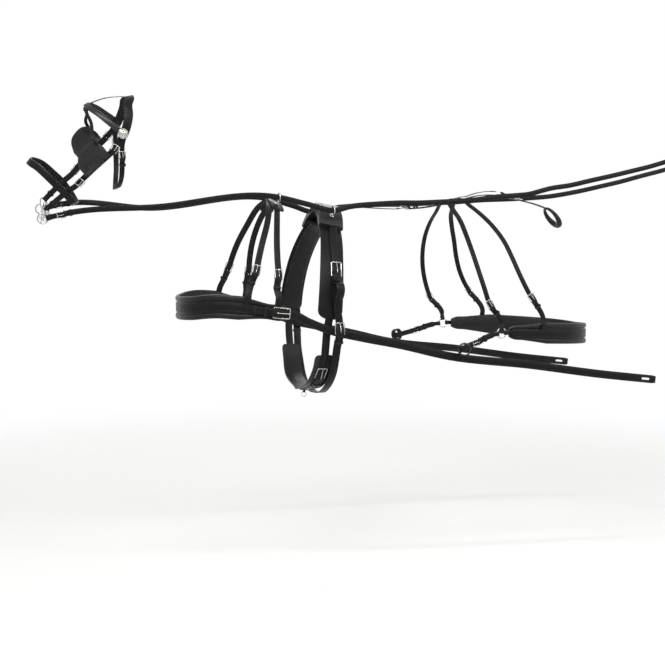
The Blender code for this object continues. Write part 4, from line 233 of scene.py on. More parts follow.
# %% [markdown]
# Every surface of black leather has grain: tight cells where the hide was pebbled, over a slower
# unevenness. Edges and handled places are rubbed paler, and the hollows of the metal get painted
# shade, dark as if light did not reach into them. A node group makes each of these for all
# finishes, with inputs for its scale and amount. They could be images, but a made pattern has no
# seams and no smallest size.

# %% Grain and wear groups
PORE_SCALE, FOLD_SCALE, PATCH_SCALE, SPOT_SCALE = 2400.0, 55.0, 14.0, 90.0    # per metre
PORE_SHARE, FOLD_SHARE = 0.35, 0.8    # height beside that of the cells
RUBBED = (0.505, 0.56)    # pointiness of an edge, from its start to its ridge
# A hollow's pointiness range marks where shade is painted into corners.
SHADED_HOLLOW = (0.495, 0.44)    # and of a corner, from its start to its depth


def new_group(name, inputs, outputs):
    group = bpy.data.node_groups.new(name, "ShaderNodeTree")
    for label, kind, value in inputs:
        socket = group.interface.new_socket(name=label, in_out="INPUT", socket_type=kind)
        socket.default_value = value
    for label in outputs:
        group.interface.new_socket(name=label, in_out="OUTPUT", socket_type="NodeSocketFloat")
    given, gives = group.nodes.new("NodeGroupInput"), group.nodes.new("NodeGroupOutput")
    return group, given.outputs, gives.inputs


def noise(tree, where, scale, detail, **more):
    return add_node(tree, "TexNoise", Vector=where, Scale=scale, Detail=detail, **more).outputs["Fac"]


def make_grain():
    """Height of the grain, and a slow mask for its colour and gloss."""
    group, given, gives = new_group(
        "leather grain",
        [("Vector", "NodeSocketVector", (0, 0, 0)), ("Cell Scale", "NodeSocketFloat", 900.0)],
        ["Height", "Patches"],
    )
    where = given["Vector"]
    cells = add_node(group, "TexVoronoi", Vector=where, Scale=given["Cell Scale"])
    pores = sum_of(group, "MULTIPLY", noise(group, where, PORE_SCALE, 2.0), PORE_SHARE)
    folds = sum_of(group, "MULTIPLY", noise(group, where, FOLD_SCALE, 4.0), FOLD_SHARE)
    pebbles = sum_of(group, "ADD", cells.outputs["Distance"], pores)
    feed(group, gives["Height"], sum_of(group, "ADD", pebbles, folds))
    feed(group, gives["Patches"], noise(group, where, PATCH_SCALE, 5.0))
    return group


def make_wear_and_shade():
    """Where edges are rubbed, broken up by noise, and where shade is painted into corners."""
    group, given, gives = new_group(
        "edge wear and painted shade",
        [
            ("Vector", "NodeSocketVector", (0, 0, 0)),
            ("Pointiness", "NodeSocketFloat", 0.5),
            ("Amount", "NodeSocketFloat", 0.5),
        ],
        ["Worn", "Painted Shade"],
    )
    edge, corner = [
        add_node(
            group, "MapRange", Value=given["Pointiness"], From_Min=start, From_Max=end
        ).outputs["Result"]
        for start, end in (RUBBED, SHADED_HOLLOW)
    ]
    broken = sum_of(group, "MULTIPLY", edge, noise(group, given["Vector"], SPOT_SCALE, 6.0))
    feed(group, gives["Worn"], sum_of(group, "MULTIPLY", broken, given["Amount"]))
    # The hollow mask carries shade painted into corners.
    feed(group, gives["Painted Shade"], corner)
    return group


GRAIN, WEAR_AND_SHADE = make_grain(), make_wear_and_shade()
print("node groups:", GRAIN.name, "and", WEAR_AND_SHADE.name)

# %% [markdown]
# The straps are bridle leather: dense, dyed black and dressed with wax, so it has a satin shine and
# a very fine grain. The pads are a softer hide with larger grain and less shine. The blinkers,
# browband and seat are patent, a leather under a coat of lacquer. One function makes all three,
# because they differ only in these values.

# %% Leather finishes
GRAIN_STRENGTH = 0.35


def blend_colours(tree, factor, first, second):
    """A mix of two colours, each given as three numbers or as a socket."""
    mix = add_node(tree, "Mix", {"data_type": "RGBA"}, Factor=factor)
    for label, value in (("A", first), ("B", second)):
        socket = next(s for s in mix.inputs if s.name == label and s.type == "RGBA")
        feed(tree, socket, (*value, 1) if isinstance(value, tuple) else value)
    return next(s for s in mix.outputs if s.type == "RGBA")


def wear_and_shade_of(tree, where, amount):
    """The group of edge wear and painted corner shade, placed in a material."""
    edges = add_node(tree, "NewGeometry").outputs["Pointiness"]
    wear_and_shade = add_node(tree, "Group", {"node_tree": WEAR_AND_SHADE}, Vector=where, Pointiness=edges, Amount=amount)
    return wear_and_shade.outputs


def roughen(tree, shader, height, strength, depth):
    """A bump from a height, on the shader's normal."""
    bump = add_node(tree, "Bump", Strength=strength, Distance=depth, Height=height)
    feed(tree, shader.inputs["Normal"], bump.outputs["Normal"])


def make_leather(name, dark, light, worn, roughness, cells, depth, specular, coat=0.0, wear=0.5):
    material, tree, shader, where = new_material(
        name, Specular_IOR_Level=specular, Coat_Weight=coat, Coat_Roughness=0.12
    )
    grain = add_node(tree, "Group", {"node_tree": GRAIN}, Vector=where, Cell_Scale=cells).outputs
    body = blend_colours(tree, grain["Patches"], dark, light)
    colour = blend_colours(tree, wear_and_shade_of(tree, where, wear)["Worn"], body, worn)
    feed(tree, shader.inputs["Base Color"], colour)
    feed(tree, shader.inputs["Roughness"], ranged(tree, grain["Patches"], *roughness))
    roughen(tree, shader, grain["Height"], GRAIN_STRENGTH, depth)
    return material


STRAP = make_leather(
    "bridle leather", dark=(0.004, 0.004, 0.005), light=(0.007, 0.007, 0.008),
    worn=(0.040, 0.037, 0.034), roughness=(0.26, 0.42), cells=620.0, depth=0.0007, specular=0.11,
)
SOFT = make_leather(
    "soft pad leather", dark=(0.005, 0.005, 0.006), light=(0.010, 0.010, 0.011),
    worn=(0.035, 0.033, 0.031), roughness=(0.28, 0.42), cells=420.0, depth=0.0010, specular=0.20,
)
PATENT = make_leather(
    "patent leather", dark=(0.010, 0.010, 0.011), light=(0.016, 0.016, 0.017),
    worn=(0.030, 0.030, 0.030), roughness=(0.30, 0.42), cells=500.0, depth=0.0003, specular=0.18,
    coat=0.15, wear=0.2,
)
print("leathers:", STRAP.name, SOFT.name, PATENT.name)

# %% [markdown]
# The buckles, terrets and rings are nickel-plated brass, and the bit is steel. Both are polished,
# so what shows is the room, a little broken by fine scratches, by a patchy dull film, and by shade
# painted dark into the corners.
# The thread is waxed linen. Plain grey would look like plastic, so each gets its own unevenness.

# %% Metal and thread finishes
FILM_SCALE, TWIST_SCALE = 60.0, 1800.0
SCRATCH_STRENGTH, SCRATCH_DEPTH = 0.08, 0.0001


def make_metal(name, bright, dull, painted_shade, roughness, scratches):
    material, tree, shader, where = new_material(name, Metallic=1.0)
    wear_and_shade = wear_and_shade_of(tree, where, 0.8)
    film = noise(tree, where, FILM_SCALE, 6.0)
    rubbed = blend_colours(tree, wear_and_shade["Worn"], blend_colours(tree, film, bright, dull), bright)
    # Shade painted into the hollows: the corner mask darkens the metal towards a near black.
    feed(tree, shader.inputs["Base Color"], blend_colours(tree, wear_and_shade["Painted Shade"], rubbed, painted_shade))
    feed(tree, shader.inputs["Roughness"], ranged(tree, film, *roughness))
    height = noise(tree, where, scratches, 3.0, Distortion=1.5)
    roughen(tree, shader, height, SCRATCH_STRENGTH, SCRATCH_DEPTH)
    return material


def make_thread():
    """Waxed linen thread, twisted, in the harness's black."""
    material, tree, shader, where = new_material("waxed thread")
    twist = noise(tree, where, TWIST_SCALE, 2.0)
    colour = blend_colours(tree, twist, (0.018, 0.017, 0.016), (0.060, 0.057, 0.052))
    feed(tree, shader.inputs["Base Color"], colour)
    feed(tree, shader.inputs["Roughness"], ranged(tree, twist, 0.5, 0.8))
    return material


# Each metal's darkest colour is the shade painted into its corners.
NICKEL = make_metal(
    "polished nickel", bright=(0.58, 0.57, 0.54), dull=(0.36, 0.35, 0.33), painted_shade=(0.08, 0.07, 0.06),
    roughness=(0.14, 0.28), scratches=700.0,
)
STEEL = make_metal(
    "bit steel", bright=(0.48, 0.48, 0.48), dull=(0.30, 0.30, 0.30), painted_shade=(0.08, 0.08, 0.08),
    roughness=(0.18, 0.32), scratches=900.0,
)
FINISHES = {
    "leather": STRAP, "loop": STRAP, "patent": PATENT, "soft": SOFT, "nickel": NICKEL,
    "steel": STEEL, "thread": make_thread(),
}
print("finishes:", ", ".join(FINISHES))

# %% [markdown]
# The sizes come first, as a harness maker would note them: the gaps, the body that the harness is
# cut for, the leathers, and the hardware. They could be typed where they are used, but most are
# used in many places, and with a name each one is said once.

# %% Sizes of the body and of the leather
GAP = 0.0003              # between pieces that touch
SLACK = 0.0015            # between layers that are laid on lines of their own
BITE = 0.0006             # how far a keeper is let into the strap that carries it
LAY = 0.0011              # between a billet and the strap that it lies on

BODY_LENGTH = 1.84        # from the chest to the point of the buttock
BODY_DEPTH = 0.70         # from the back down to the girth
BODY_WIDTH = 0.62         # across the barrel
SADDLE_SHARE = 0.3397     # how far along the body the saddle sits
HEAD_LENGTH = 0.60
HEAD_DEPTH = 0.30
HEAD_WIDTH = 0.23
POLL_FORWARD = 0.7985     # the poll ahead of the saddle
POLL_RISE = 0.4724        # and above it
HEAD_NOD = math.radians(39.7)
HEAD_ROLL = math.radians(17.5)
HIGH_FULLNESS = 1.8       # how square the sections are above their widest place
LOW_FULLNESS = 2.4        # and below it

LEATHER = 0.0030          # one strap
LINED = 0.0050            # a strap of two layers
LAY_STEP = 0.006          # fine steps along a laid strap
LONGEST_STEP = 0.040      # the most between two of its bends
BEND = math.radians(3)    # the least that a strap turns between two of its bends
KEEPER_WALL = 0.0022
KEEPER_RUN = 0.010
TIP_SHARES = ((1.0, 1.0), (0.45, 0.80), (0.0, 0.22))   # distance from the end, width
SMALL_WIRE = 0.0034
LARGE_WIRE = 0.0046
FOLD_WALL = 0.0021        # leather folded round a buckle's bar
HOLE_RADIUS = 0.0029
LARGE_LAY_SHARE = 0.7     # how much more room a billet has on a large buckle, beside its wire
TONGUE_SHARE = 0.72       # a tongue's thickness beside its frame's
print("a body", BODY_LENGTH, "m long, leather", LEATHER, "m and", LINED, "m thick")

# %% [markdown]
# Smooth curves through a few given values carry everything here. A spline object could do it, but a
# small function gives the value at any place, which the straps need.

# %% Curves
def smooth(places, values, at):
    """The value at one place of a curve that has no kink where the given values meet."""
    places = np.asarray(places, float)
    values = np.asarray(values, float)
    slopes = np.gradient(values, places, axis=0)
    i = int(np.clip(np.searchsorted(places, at) - 1, 0, len(places) - 2))
    step = places[i + 1] - places[i]
    t = (at - places[i]) / step
    start = (2 * t**3 - 3 * t**2 + 1) * values[i] + (t**3 - 2 * t**2 + t) * step * slopes[i]
    end = (3 * t**2 - 2 * t**3) * values[i + 1] + (t**3 - t**2) * step * slopes[i + 1]
    return start + end


def unit(vector):
    return vector / np.linalg.norm(vector)


def evenly(points, step):
    """Points a step apart, or a little less, on a smooth curve through the given ones."""
    points = np.asarray(points, float)
    runs = np.linalg.norm(np.diff(points[:, :3], axis=0), axis=1)
    places = np.concatenate([[0], np.cumsum(runs)])
    count = max(2, int(round(places[-1] / step)))
    return np.array([smooth(places, points, at) for at in np.linspace(0, places[-1], count + 1)])


def thinned(points, outs, bend=BEND):
    """Drops the places between which a line hardly turns."""
    points, outs = np.array(points), np.array(outs)
    along = np.gradient(points, axis=0)
    along /= np.linalg.norm(along, axis=1)[:, None]
    outs = outs / np.linalg.norm(outs, axis=1)[:, None]
    kept = [0]
    for i in range(1, len(points) - 1):
        last = kept[-1]
        cosines = along[i] @ along[last], outs[i] @ outs[last]
        turned_by = max(math.acos(min(1, cosine)) for cosine in cosines)
        if turned_by > bend or np.linalg.norm(points[i] - points[last]) > LONGEST_STEP - LAY_STEP:
            kept.append(i)
    kept.append(len(points) - 1)
    return points[kept], outs[kept]


print("halfway along a smooth curve:", smooth((0, 1, 2), (0, 1, 0), 0.5))

# %% [markdown]
# The straps need a body to lie on, though none is in the model. It could be a sculpted mesh that
# the straps are shrunk onto, but then nothing says where a strap runs. So the trunk and the head
# are each a row of rounded sections along an axis, where a share of the length and a turn round the
# axis name any spot, its place and its way out.

# %% The forms that the straps lie on
class Form:
    """Closed sections along an axis. Rows: along, top, widest, bottom, half width, all shares."""

    def __init__(self, size, rows, place, axes):
        self.length, self.depth, self.width = size
        self.rows = np.array(rows)
        self.place = np.array(place)
        self.along, self.up, self.near = [np.array(axis) for axis in axes]

    def local(self, length, rise, out):
        """A place given by its distances along, up and towards the near side."""
        return self.place + length * self.along + rise * self.up + out * self.near

    def point(self, share, turn):
        """The skin at a share of the length, turned in degrees from the top to the near side."""
        top, widest, bottom, half = smooth(self.rows[:, 0], self.rows[:, 1:], share)
        rise, spread = math.cos(math.radians(turn)), math.sin(math.radians(turn))
        fullness, edge = (HIGH_FULLNESS, top) if rise > 0 else (LOW_FULLNESS, bottom)
        height = widest + (edge - widest) * abs(rise) ** (2 / fullness)
        out = half * math.copysign(abs(spread) ** (2 / fullness), spread)
        return self.local(share * self.length, height * self.depth, out * self.width / 2)

    def normal(self, share, turn):
        nudge = 1.0
        down = self.point(share, turn + nudge) - self.point(share, turn - nudge)
        back = self.point(share + nudge / 90, turn) - self.point(share - nudge / 90, turn)
        out = unit(np.cross(down, back))
        middle = self.local(share * self.length, self.rows[:, 2].mean() * self.depth, 0)
        return out if out @ (self.point(share, turn) - middle) > 0 else -out

    def lifted(self, share, turn, lift):
        return self.point(share, turn) + lift * self.normal(share, turn)


TRUNK_SHARES = (
    (0.057, 0.430, -0.430, -0.800, 0.52),
    (0.128, 0.300, -0.490, -0.886, 0.79),
    (0.193, 0.150, -0.514, -0.936, 0.845),
    (0.258, 0.079, -0.514, -0.971, 0.858),
    (0.329, 0.000, -0.514, -0.986, 0.865),
    (0.410, -0.007, -0.500, -0.979, 0.920),
    (0.492, 0.014, -0.486, -0.964, 0.984),
    (0.573, 0.057, -0.457, -0.921, 1.000),
    (0.655, 0.114, -0.430, -0.857, 0.984),
    (0.736, 0.160, -0.414, -0.814, 0.968),
    (0.802, 0.143, -0.414, -0.800, 0.935),
    (0.856, 0.097, -0.430, -0.800, 0.870),
    (0.899, 0.043, -0.443, -0.800, 0.774),
    (0.954, -0.114, -0.471, -0.800, 0.580),
)
HEAD_SHARES = (
    (-0.08, -0.060, -0.300, -0.560, 0.52),
    (0.00, 0.015, -0.270, -0.670, 0.65),
    (0.10, 0.150, -0.270, -0.780, 0.83),
    (0.20, 0.220, -0.270, -0.830, 0.94),
    (0.333, 0.243, -0.270, -0.830, 0.98),
    (0.50, 0.220, -0.283, -0.750, 0.90),
    (0.667, 0.157, -0.300, -0.667, 0.73),
    (0.833, 0.067, -0.317, -0.617, 0.59),
    (1.00, -0.100, -0.333, -0.533, 0.45),
)


def rolled(vector):
    """A direction of the upright head, tipped so that its far side is higher."""
    x, y, z = vector
    cos, sin = math.cos(HEAD_ROLL), math.sin(HEAD_ROLL)
    return np.array([x, y * cos - z * sin, y * sin + z * cos])


NOD_COS, NOD_SIN = math.cos(HEAD_NOD), math.sin(HEAD_NOD)
HEAD_ALONG = rolled((-NOD_COS, 0, -NOD_SIN))
HEAD_UP = rolled((-NOD_SIN, 0, NOD_COS))
HEAD_NEAR = rolled((0, -1, 0))
trunk = Form(
    (BODY_LENGTH, BODY_DEPTH, BODY_WIDTH),
    TRUNK_SHARES,
    (-SADDLE_SHARE * BODY_LENGTH, 0, 0),
    ((1, 0, 0), (0, 0, 1), (0, -1, 0)),
)
head = Form(
    (HEAD_LENGTH, HEAD_DEPTH, HEAD_WIDTH),
    HEAD_SHARES,
    (-POLL_FORWARD, 0, POLL_RISE),
    (HEAD_ALONG, HEAD_UP, HEAD_NEAR),
)
OUTWARD = np.array([0, -1.0, 0])
BODY_MIRROR = (np.zeros(3), OUTWARD)


def on_trunk(along, out, up):
    """A near place given by shares of the body's length, half width and depth."""
    return trunk.local(along * BODY_LENGTH, up * BODY_DEPTH, out * BODY_WIDTH / 2)


HEAD_MIRROR = (head.place, HEAD_NEAR)


def mirrored_points(points, mirror):
    place, normal = mirror
    points = np.asarray(points, float)
    return points - 2 * ((points - place) @ normal)[..., None] * normal


print("trunk", trunk.length, "m long and", trunk.depth, "m deep, head", head.length, "m long")

# %% [markdown]
# A line has, at each place, a way along, a way out of the skin and a way edgeways. A strap is drawn
# flat in those three and so bends and twists with the body. A curve modifier could bend flat straps
# too, but it turns them by rules of its own, and two straps on one line have to agree.

# %% Lines to lay straps on
class Line:
    """Places, outward and edgeways directions. A piece is drawn flat, then bent along them."""

    def __init__(self, points, outs, closed=False):
        self.points = np.array(points)
        if closed:
            wrapped = np.vstack([self.points[-2:-1], self.points, self.points[1:2]])
            along = np.gradient(wrapped, axis=0)[1:-1]
        else:
            along = np.gradient(self.points, axis=0)
        along /= np.linalg.norm(along, axis=1)[:, None]
        outs = np.array(outs, float)
        outs -= (outs * along).sum(axis=1)[:, None] * along
        self.outs = outs / np.linalg.norm(outs, axis=1)[:, None]
        self.edges = np.cross(along, self.outs)
        runs = np.linalg.norm(np.diff(self.points, axis=0), axis=1)
        self.at = np.concatenate([[0], np.cumsum(runs)])
        self.length = self.at[-1]

    def place(self, run, across, out):
        """Where a spot of the flat piece lies: its run along the line, across it and out of it."""
        i = int(np.clip(np.searchsorted(self.at, run, side="right") - 1, 0, len(self.at) - 2))
        t = (run - self.at[i]) / (self.at[i + 1] - self.at[i])
        point, edge, direction = [
            rows[i] * (1 - t) + rows[i + 1] * t for rows in (self.points, self.edges, self.outs)
        ]
        return point + across * edge + out * direction

    def bends(self, start, end):
        return [run for run in self.at if start + GAP < run < end - GAP]

    def nearest(self, place):
        """How far along the line a place is."""
        runs = np.linspace(0, self.length, 8 * len(self.at))
        gaps = [np.linalg.norm(self.place(run, 0, 0) - place) for run in runs]
        return runs[int(np.argmin(gaps))]


def joined_over(points, outs, mirror, first, closed=False):
    """One line from a half: over the top where the half starts, or under where it ends."""
    far_points = mirrored_points(points, mirror)
    far_outs = mirrored_points(np.asarray(points) + outs, mirror) - far_points
    if first == "top":
        return Line(np.vstack([points[::-1], far_points[1:]]), np.vstack([outs[::-1], far_outs[1:]]))
    return Line(np.vstack([points, far_points[-2::-1]]), np.vstack([outs, far_outs[-2::-1]]), closed)


class Half:
    """The near half of a line, from its top, with the lines made from it."""

    def __init__(self, points, outs, mirror):
        self.points, self.outs, self.mirror = np.array(points), np.array(outs), mirror
        self.side = Line(self.points, self.outs)

    @functools.cached_property
    def over(self):
        return joined_over(self.points, self.outs, self.mirror, "top")

    @functools.cached_property
    def under(self):
        return joined_over(self.points, self.outs, self.mirror, "bottom")


def laid(form, rows, mirror):
    """The near half of a line on the skin. Rows: share of the length, turn, lift."""
    rows = np.array(rows, float)
    places = np.array([form.lifted(*row) for row in rows])
    dense = evenly(np.hstack([places, rows]), LAY_STEP)
    outs = [form.normal(share, turn) for share, turn in dense[:, 3:5]]
    return Half(*thinned(dense[:, :3], outs), mirror)


def at_lift(lift, *spots):
    """Rows for a line that keeps one height off the skin. Spots: share of the length, turn."""
    return [(*spot, lift) for spot in spots]


def freely(places, outs, mirror=BODY_MIRROR):
    """The near half of a line through places in the air, with a direction for each."""
    dense = evenly(np.hstack([np.array(places, float), np.array(outs, float)]), LAY_STEP)
    return Half(*thinned(dense[:, :3], dense[:, 3:]), mirror)


print("a laid line bends every", LONGEST_STEP, "m, or sooner where it turns")

# %% [markdown]
# Every piece is a skin stretched over rings of points. Tubes and tori could come from Blender's own
# primitives, but one loft makes straps, wires and turned feet alike. Each shape carries the name of
# its finish, so that one call can later part a buckled strap into leather, metal and thread.

# %% Shapes
def loft(rings, closed=False, finish="leather"):
    """A skin over closed rings of equal count, with flat ends unless it is closed."""
    rings = [np.asarray(ring) for ring in rings]
    count = len(rings[0])
    corners = np.vstack(rings)
    faces = []
    for k in range(len(rings) if closed else len(rings) - 1):
        here, there = k * count, (k + 1) % len(rings) * count
        for i in range(count):
            j = (i + 1) % count
            faces.append((here + i, here + j, there + j, there + i))
    if not closed:
        faces.append(tuple(range(count))[::-1])
        faces.append(tuple(len(corners) - count + i for i in range(count)))
    return corners, faces, finish


def mirrored(shape, mirror=BODY_MIRROR):
    corners, faces, finish = shape
    return mirrored_points(corners, mirror), [face[::-1] for face in faces], finish


def both_sides(shapes, mirror=BODY_MIRROR):
    """Each shape, followed by its mirror image."""
    return [each for shape in shapes for each in (shape, mirrored(shape, mirror))]


def tube(path, radius, sides=14, closed=False, finish="nickel"):
    """A round wire along a path."""
    path = np.array(path, float)
    if closed:
        along = np.roll(path, -1, axis=0) - np.roll(path, 1, axis=0)
    else:
        along = np.gradient(path, axis=0)
    along /= np.linalg.norm(along, axis=1)[:, None]
    best = np.argmin(np.abs(along).max(axis=0))
    across = np.cross(along[0], np.eye(3)[best])
    turns = [2 * math.pi * (i + 0.5) / sides for i in range(sides)]
    rings = []
    for point, direction, size in zip(path, along, np.broadcast_to(radius, len(path))):
        across = unit(across - (across @ direction) * direction)
        other = np.cross(direction, across)
        ways = [math.cos(turn) * across + math.sin(turn) * other for turn in turns]
        rings.append([point + size * way for way in ways])
    return loft(rings, closed, finish)


def square_to(axis):
    """Two directions square to an axis and to each other."""
    first = unit(np.cross(axis, np.eye(3)[int(np.argmin(np.abs(axis)))]))
    return first, np.cross(axis, first)


def ring_shape(place, axis, radius, wire, turns=56, sides=14, finish="nickel"):
    """A round ring of wire about an axis."""
    axis = unit(np.array(axis, float))
    first, second = square_to(axis)
    angles = [2 * math.pi * i / turns for i in range(turns)]
    path = [place + radius * (math.cos(angle) * first + math.sin(angle) * second) for angle in angles]
    return tube(path, wire / 2, sides, closed=True, finish=finish)


def turned(place, axis, profile, sides=40, finish="nickel"):
    """A turned piece. Profile: radius and height along the axis, from its foot to its top."""
    axis = unit(np.array(axis, float))
    first, second = square_to(axis)
    turns = [2 * math.pi * i / sides for i in range(sides)]
    rings = [
        [place + height * axis + radius * (math.cos(t) * first + math.sin(t) * second) for t in turns]
        for radius, height in profile
    ]
    return loft(rings, finish=finish)


print("faces of a wire ring:", len(ring_shape(np.zeros(3), (0, 0, 1), 1, 0.1)[1]))

# %% [markdown]
# A strap has rounded edges with a crease pressed beside them. A bevel modifier could round the
# edges too, but it can't press the crease, so each ring of the loft has both in its outline.

# %% Straps
EDGE_ROUND = 0.0011
CREASE_IN = 0.0017
CREASE_HALF = 0.0005
CREASE_DEPTH = 0.0003


def strap_profile(half, low, high):
    """Corners of a strap's section, counted from the middle of its inner face."""
    soft = min(EDGE_ROUND, 0.42 * (high - low), 0.3 * half)
    crease = min(CREASE_IN, 0.25 * half)
    narrow = min(CREASE_HALF, 0.05 * half)
    deep = min(CREASE_DEPTH, 0.12 * (high - low))
    near = half - soft
    right = [
        (near, low), (half - 0.3 * soft, low + 0.3 * soft), (half, low + soft), (half, high - soft),
        (half - 0.3 * soft, high - 0.3 * soft), (near, high), (near - crease + narrow, high),
        (near - crease, high - deep), (near - crease - narrow, high),
    ]
    return right + [(-across, rise) for across, rise in right[::-1]]


def slab(line, rows, closed=False, finish="leather"):
    """A strap. Rows: run along the line, half width, inner face, outer face."""
    rows = sorted(rows)
    runs = [row[0] for row in rows]
    inner = [run for run in line.bends(runs[0], runs[-1]) if min(abs(run - r) for r in runs) > GAP]
    rings = []
    for run in sorted(runs + inner):
        half, low, high = [np.interp(run, runs, [row[k] for row in rows]) for k in (1, 2, 3)]
        rings.append([line.place(run, across, rise) for across, rise in strap_profile(half, low, high)])
    return loft(rings[:-1] if closed else rings, closed, finish)


def padded(line, rows, profile_shares, finish="soft"):
    """A pad. Rows as a strap's. Profile: shares of the half width and of the thickness."""
    runs = [row[0] for row in rows]
    rings = []
    for run in sorted(set(runs) | set(line.bends(runs[0], runs[-1]))):
        half, low, high = [np.interp(run, runs, [row[k] for row in rows]) for k in (1, 2, 3)]
        spots = [(half * across, low + (high - low) * rise) for across, rise in profile_shares]
        rings.append([line.place(run, *spot) for spot in spots])
    return loft(rings, finish=finish)


def eased(rows, count):
    """More rows between the given ones, on smooth curves through them."""
    runs = [row[0] for row in rows]
    rest = [row[1:] for row in rows]
    return [(run, *smooth(runs, rest, run)) for run in np.linspace(runs[0], runs[-1], count)]


def block(line, start, end, half, low, high, finish="loop"):
    return slab(line, [(start, half, low, high), (end, half, low, high)], finish=finish)


def pin(line, run, across, rise, half, radius, sides=20):
    """A round bar that lies across the line."""
    return tube([line.place(run, across + side * half, rise) for side in (-1, 1)], radius, sides)


def tip_rows(end, sense, half, low, high):
    """The rows of a strap's pointed end. Sense is +1 where the line runs towards the end."""
    return [(end - sense * back * 2 * half, half * width, low, high) for back, width in TIP_SHARES]


def both_ends(line, rows):
    return rows + [(line.length - run, half, low, high) for run, half, low, high in rows]


def over_rows(half_line, rows):
    """Rows of a near half, and those of its far half, on the line over the top."""
    middle = half_line.side.length
    both = [(run, rest, sign) for run, *rest in rows for sign in (1, -1) if run or sign > 0]
    return [(middle + sign * run, *rest) for run, rest, sign in both]


print("corners of a strap's section:", len(strap_profile(LEATHER, 0, LEATHER)))

# %% [markdown]
# Doubled leather is held by a row of stitches beside each edge. They could be painted on as a bump,
# but then they are no part of the mesh, so each stitch is a small lump of its own.

# %% Stitches
STITCH_IN = 0.0036
STITCH_STEP = 0.0046
STITCH_LENGTH = 0.0031
STITCH_HALF = 0.00045
STITCH_RISE = 0.00032
NARROWEST_STITCHED = 0.0062
STITCH_SHARES = ((0.0, 0.3), (0.5, 1.0), (1.0, 0.3))    # of a stitch's length, size there


def stitches(line, spots):
    """Small lumps of thread. Spots: run, across and height of each stitch's start."""
    corners, faces = [], []
    for run, across, high in spots:
        rings = []
        for share, size in STITCH_SHARES:
            at, half, rise = run + share * STITCH_LENGTH, size * STITCH_HALF, size * STITCH_RISE
            flat = ((-half, -rise / 2), (half, -rise / 2), (0.6 * half, rise), (-0.6 * half, rise))
            rings.append([line.place(at, across + aside, high + up) for aside, up in flat])
        lump_corners, lump_faces, _ = loft(rings)
        faces += [tuple(len(corners) + i for i in face) for face in lump_faces]
        corners += list(lump_corners)
    return np.array(corners), faces, "thread"


def seam(line, rows, start, end):
    """A row of stitches beside each edge of a strap, from one run to another."""
    rows = sorted(rows)
    runs = [row[0] for row in rows]
    spots = []
    for run in np.arange(min(start, end), max(start, end) - STITCH_LENGTH, STITCH_STEP):
        half, high = [np.interp(run, runs, [row[k] for row in rows]) for k in (1, 3)]
        if half > NARROWEST_STITCHED:
            spots += [(run, sign * (half - STITCH_IN), high) for sign in (-1, 1)]
    return stitches(line, spots)


print("a stitch every", STITCH_STEP, "m")

# %% [markdown]
# A buckle is a bent wire frame on the folded end of one strap. The other strap's billet lies
# through it, and its tongue goes through a punched hole. One buckle could be modelled and copied,
# but a copy stays flat where its strap bends. So one class works out all of them, large and small,
# each on the line of the straps that it joins.

# %% Buckles
FRAME_CORNER = 6          # bends in each corner of a frame
LONG_SEAM, SHORT_SEAM = 0.040, 0.03
FOLD_SHARES = ((-1.0, 0.0, 1.7), (0.0, 0.0, 2.0), (0.7, 0.3, 1.7), (1.0, 0.65, 1.35))
RING_FOLD_SHARES = ((-1.0, 0.8), (-0.2, 1.0), (0.55, 0.83), (1.0, 0.35))
BENT, LAID = 1.2, 3.2     # folds from the bar to where a billet bends, and to where it lies flat
HOLE_SHARES = (0.45, 0.68)                              # of the billet's tip, behind the bar
HOLES_AHEAD = (0.008, 0.026)                            # past the front of the frame
HOLE_RIM = ((1, -GAP), (1, GAP / 3), (0.7, GAP / 3), (0.55, -GAP / 3), (0.1, -GAP / 3))


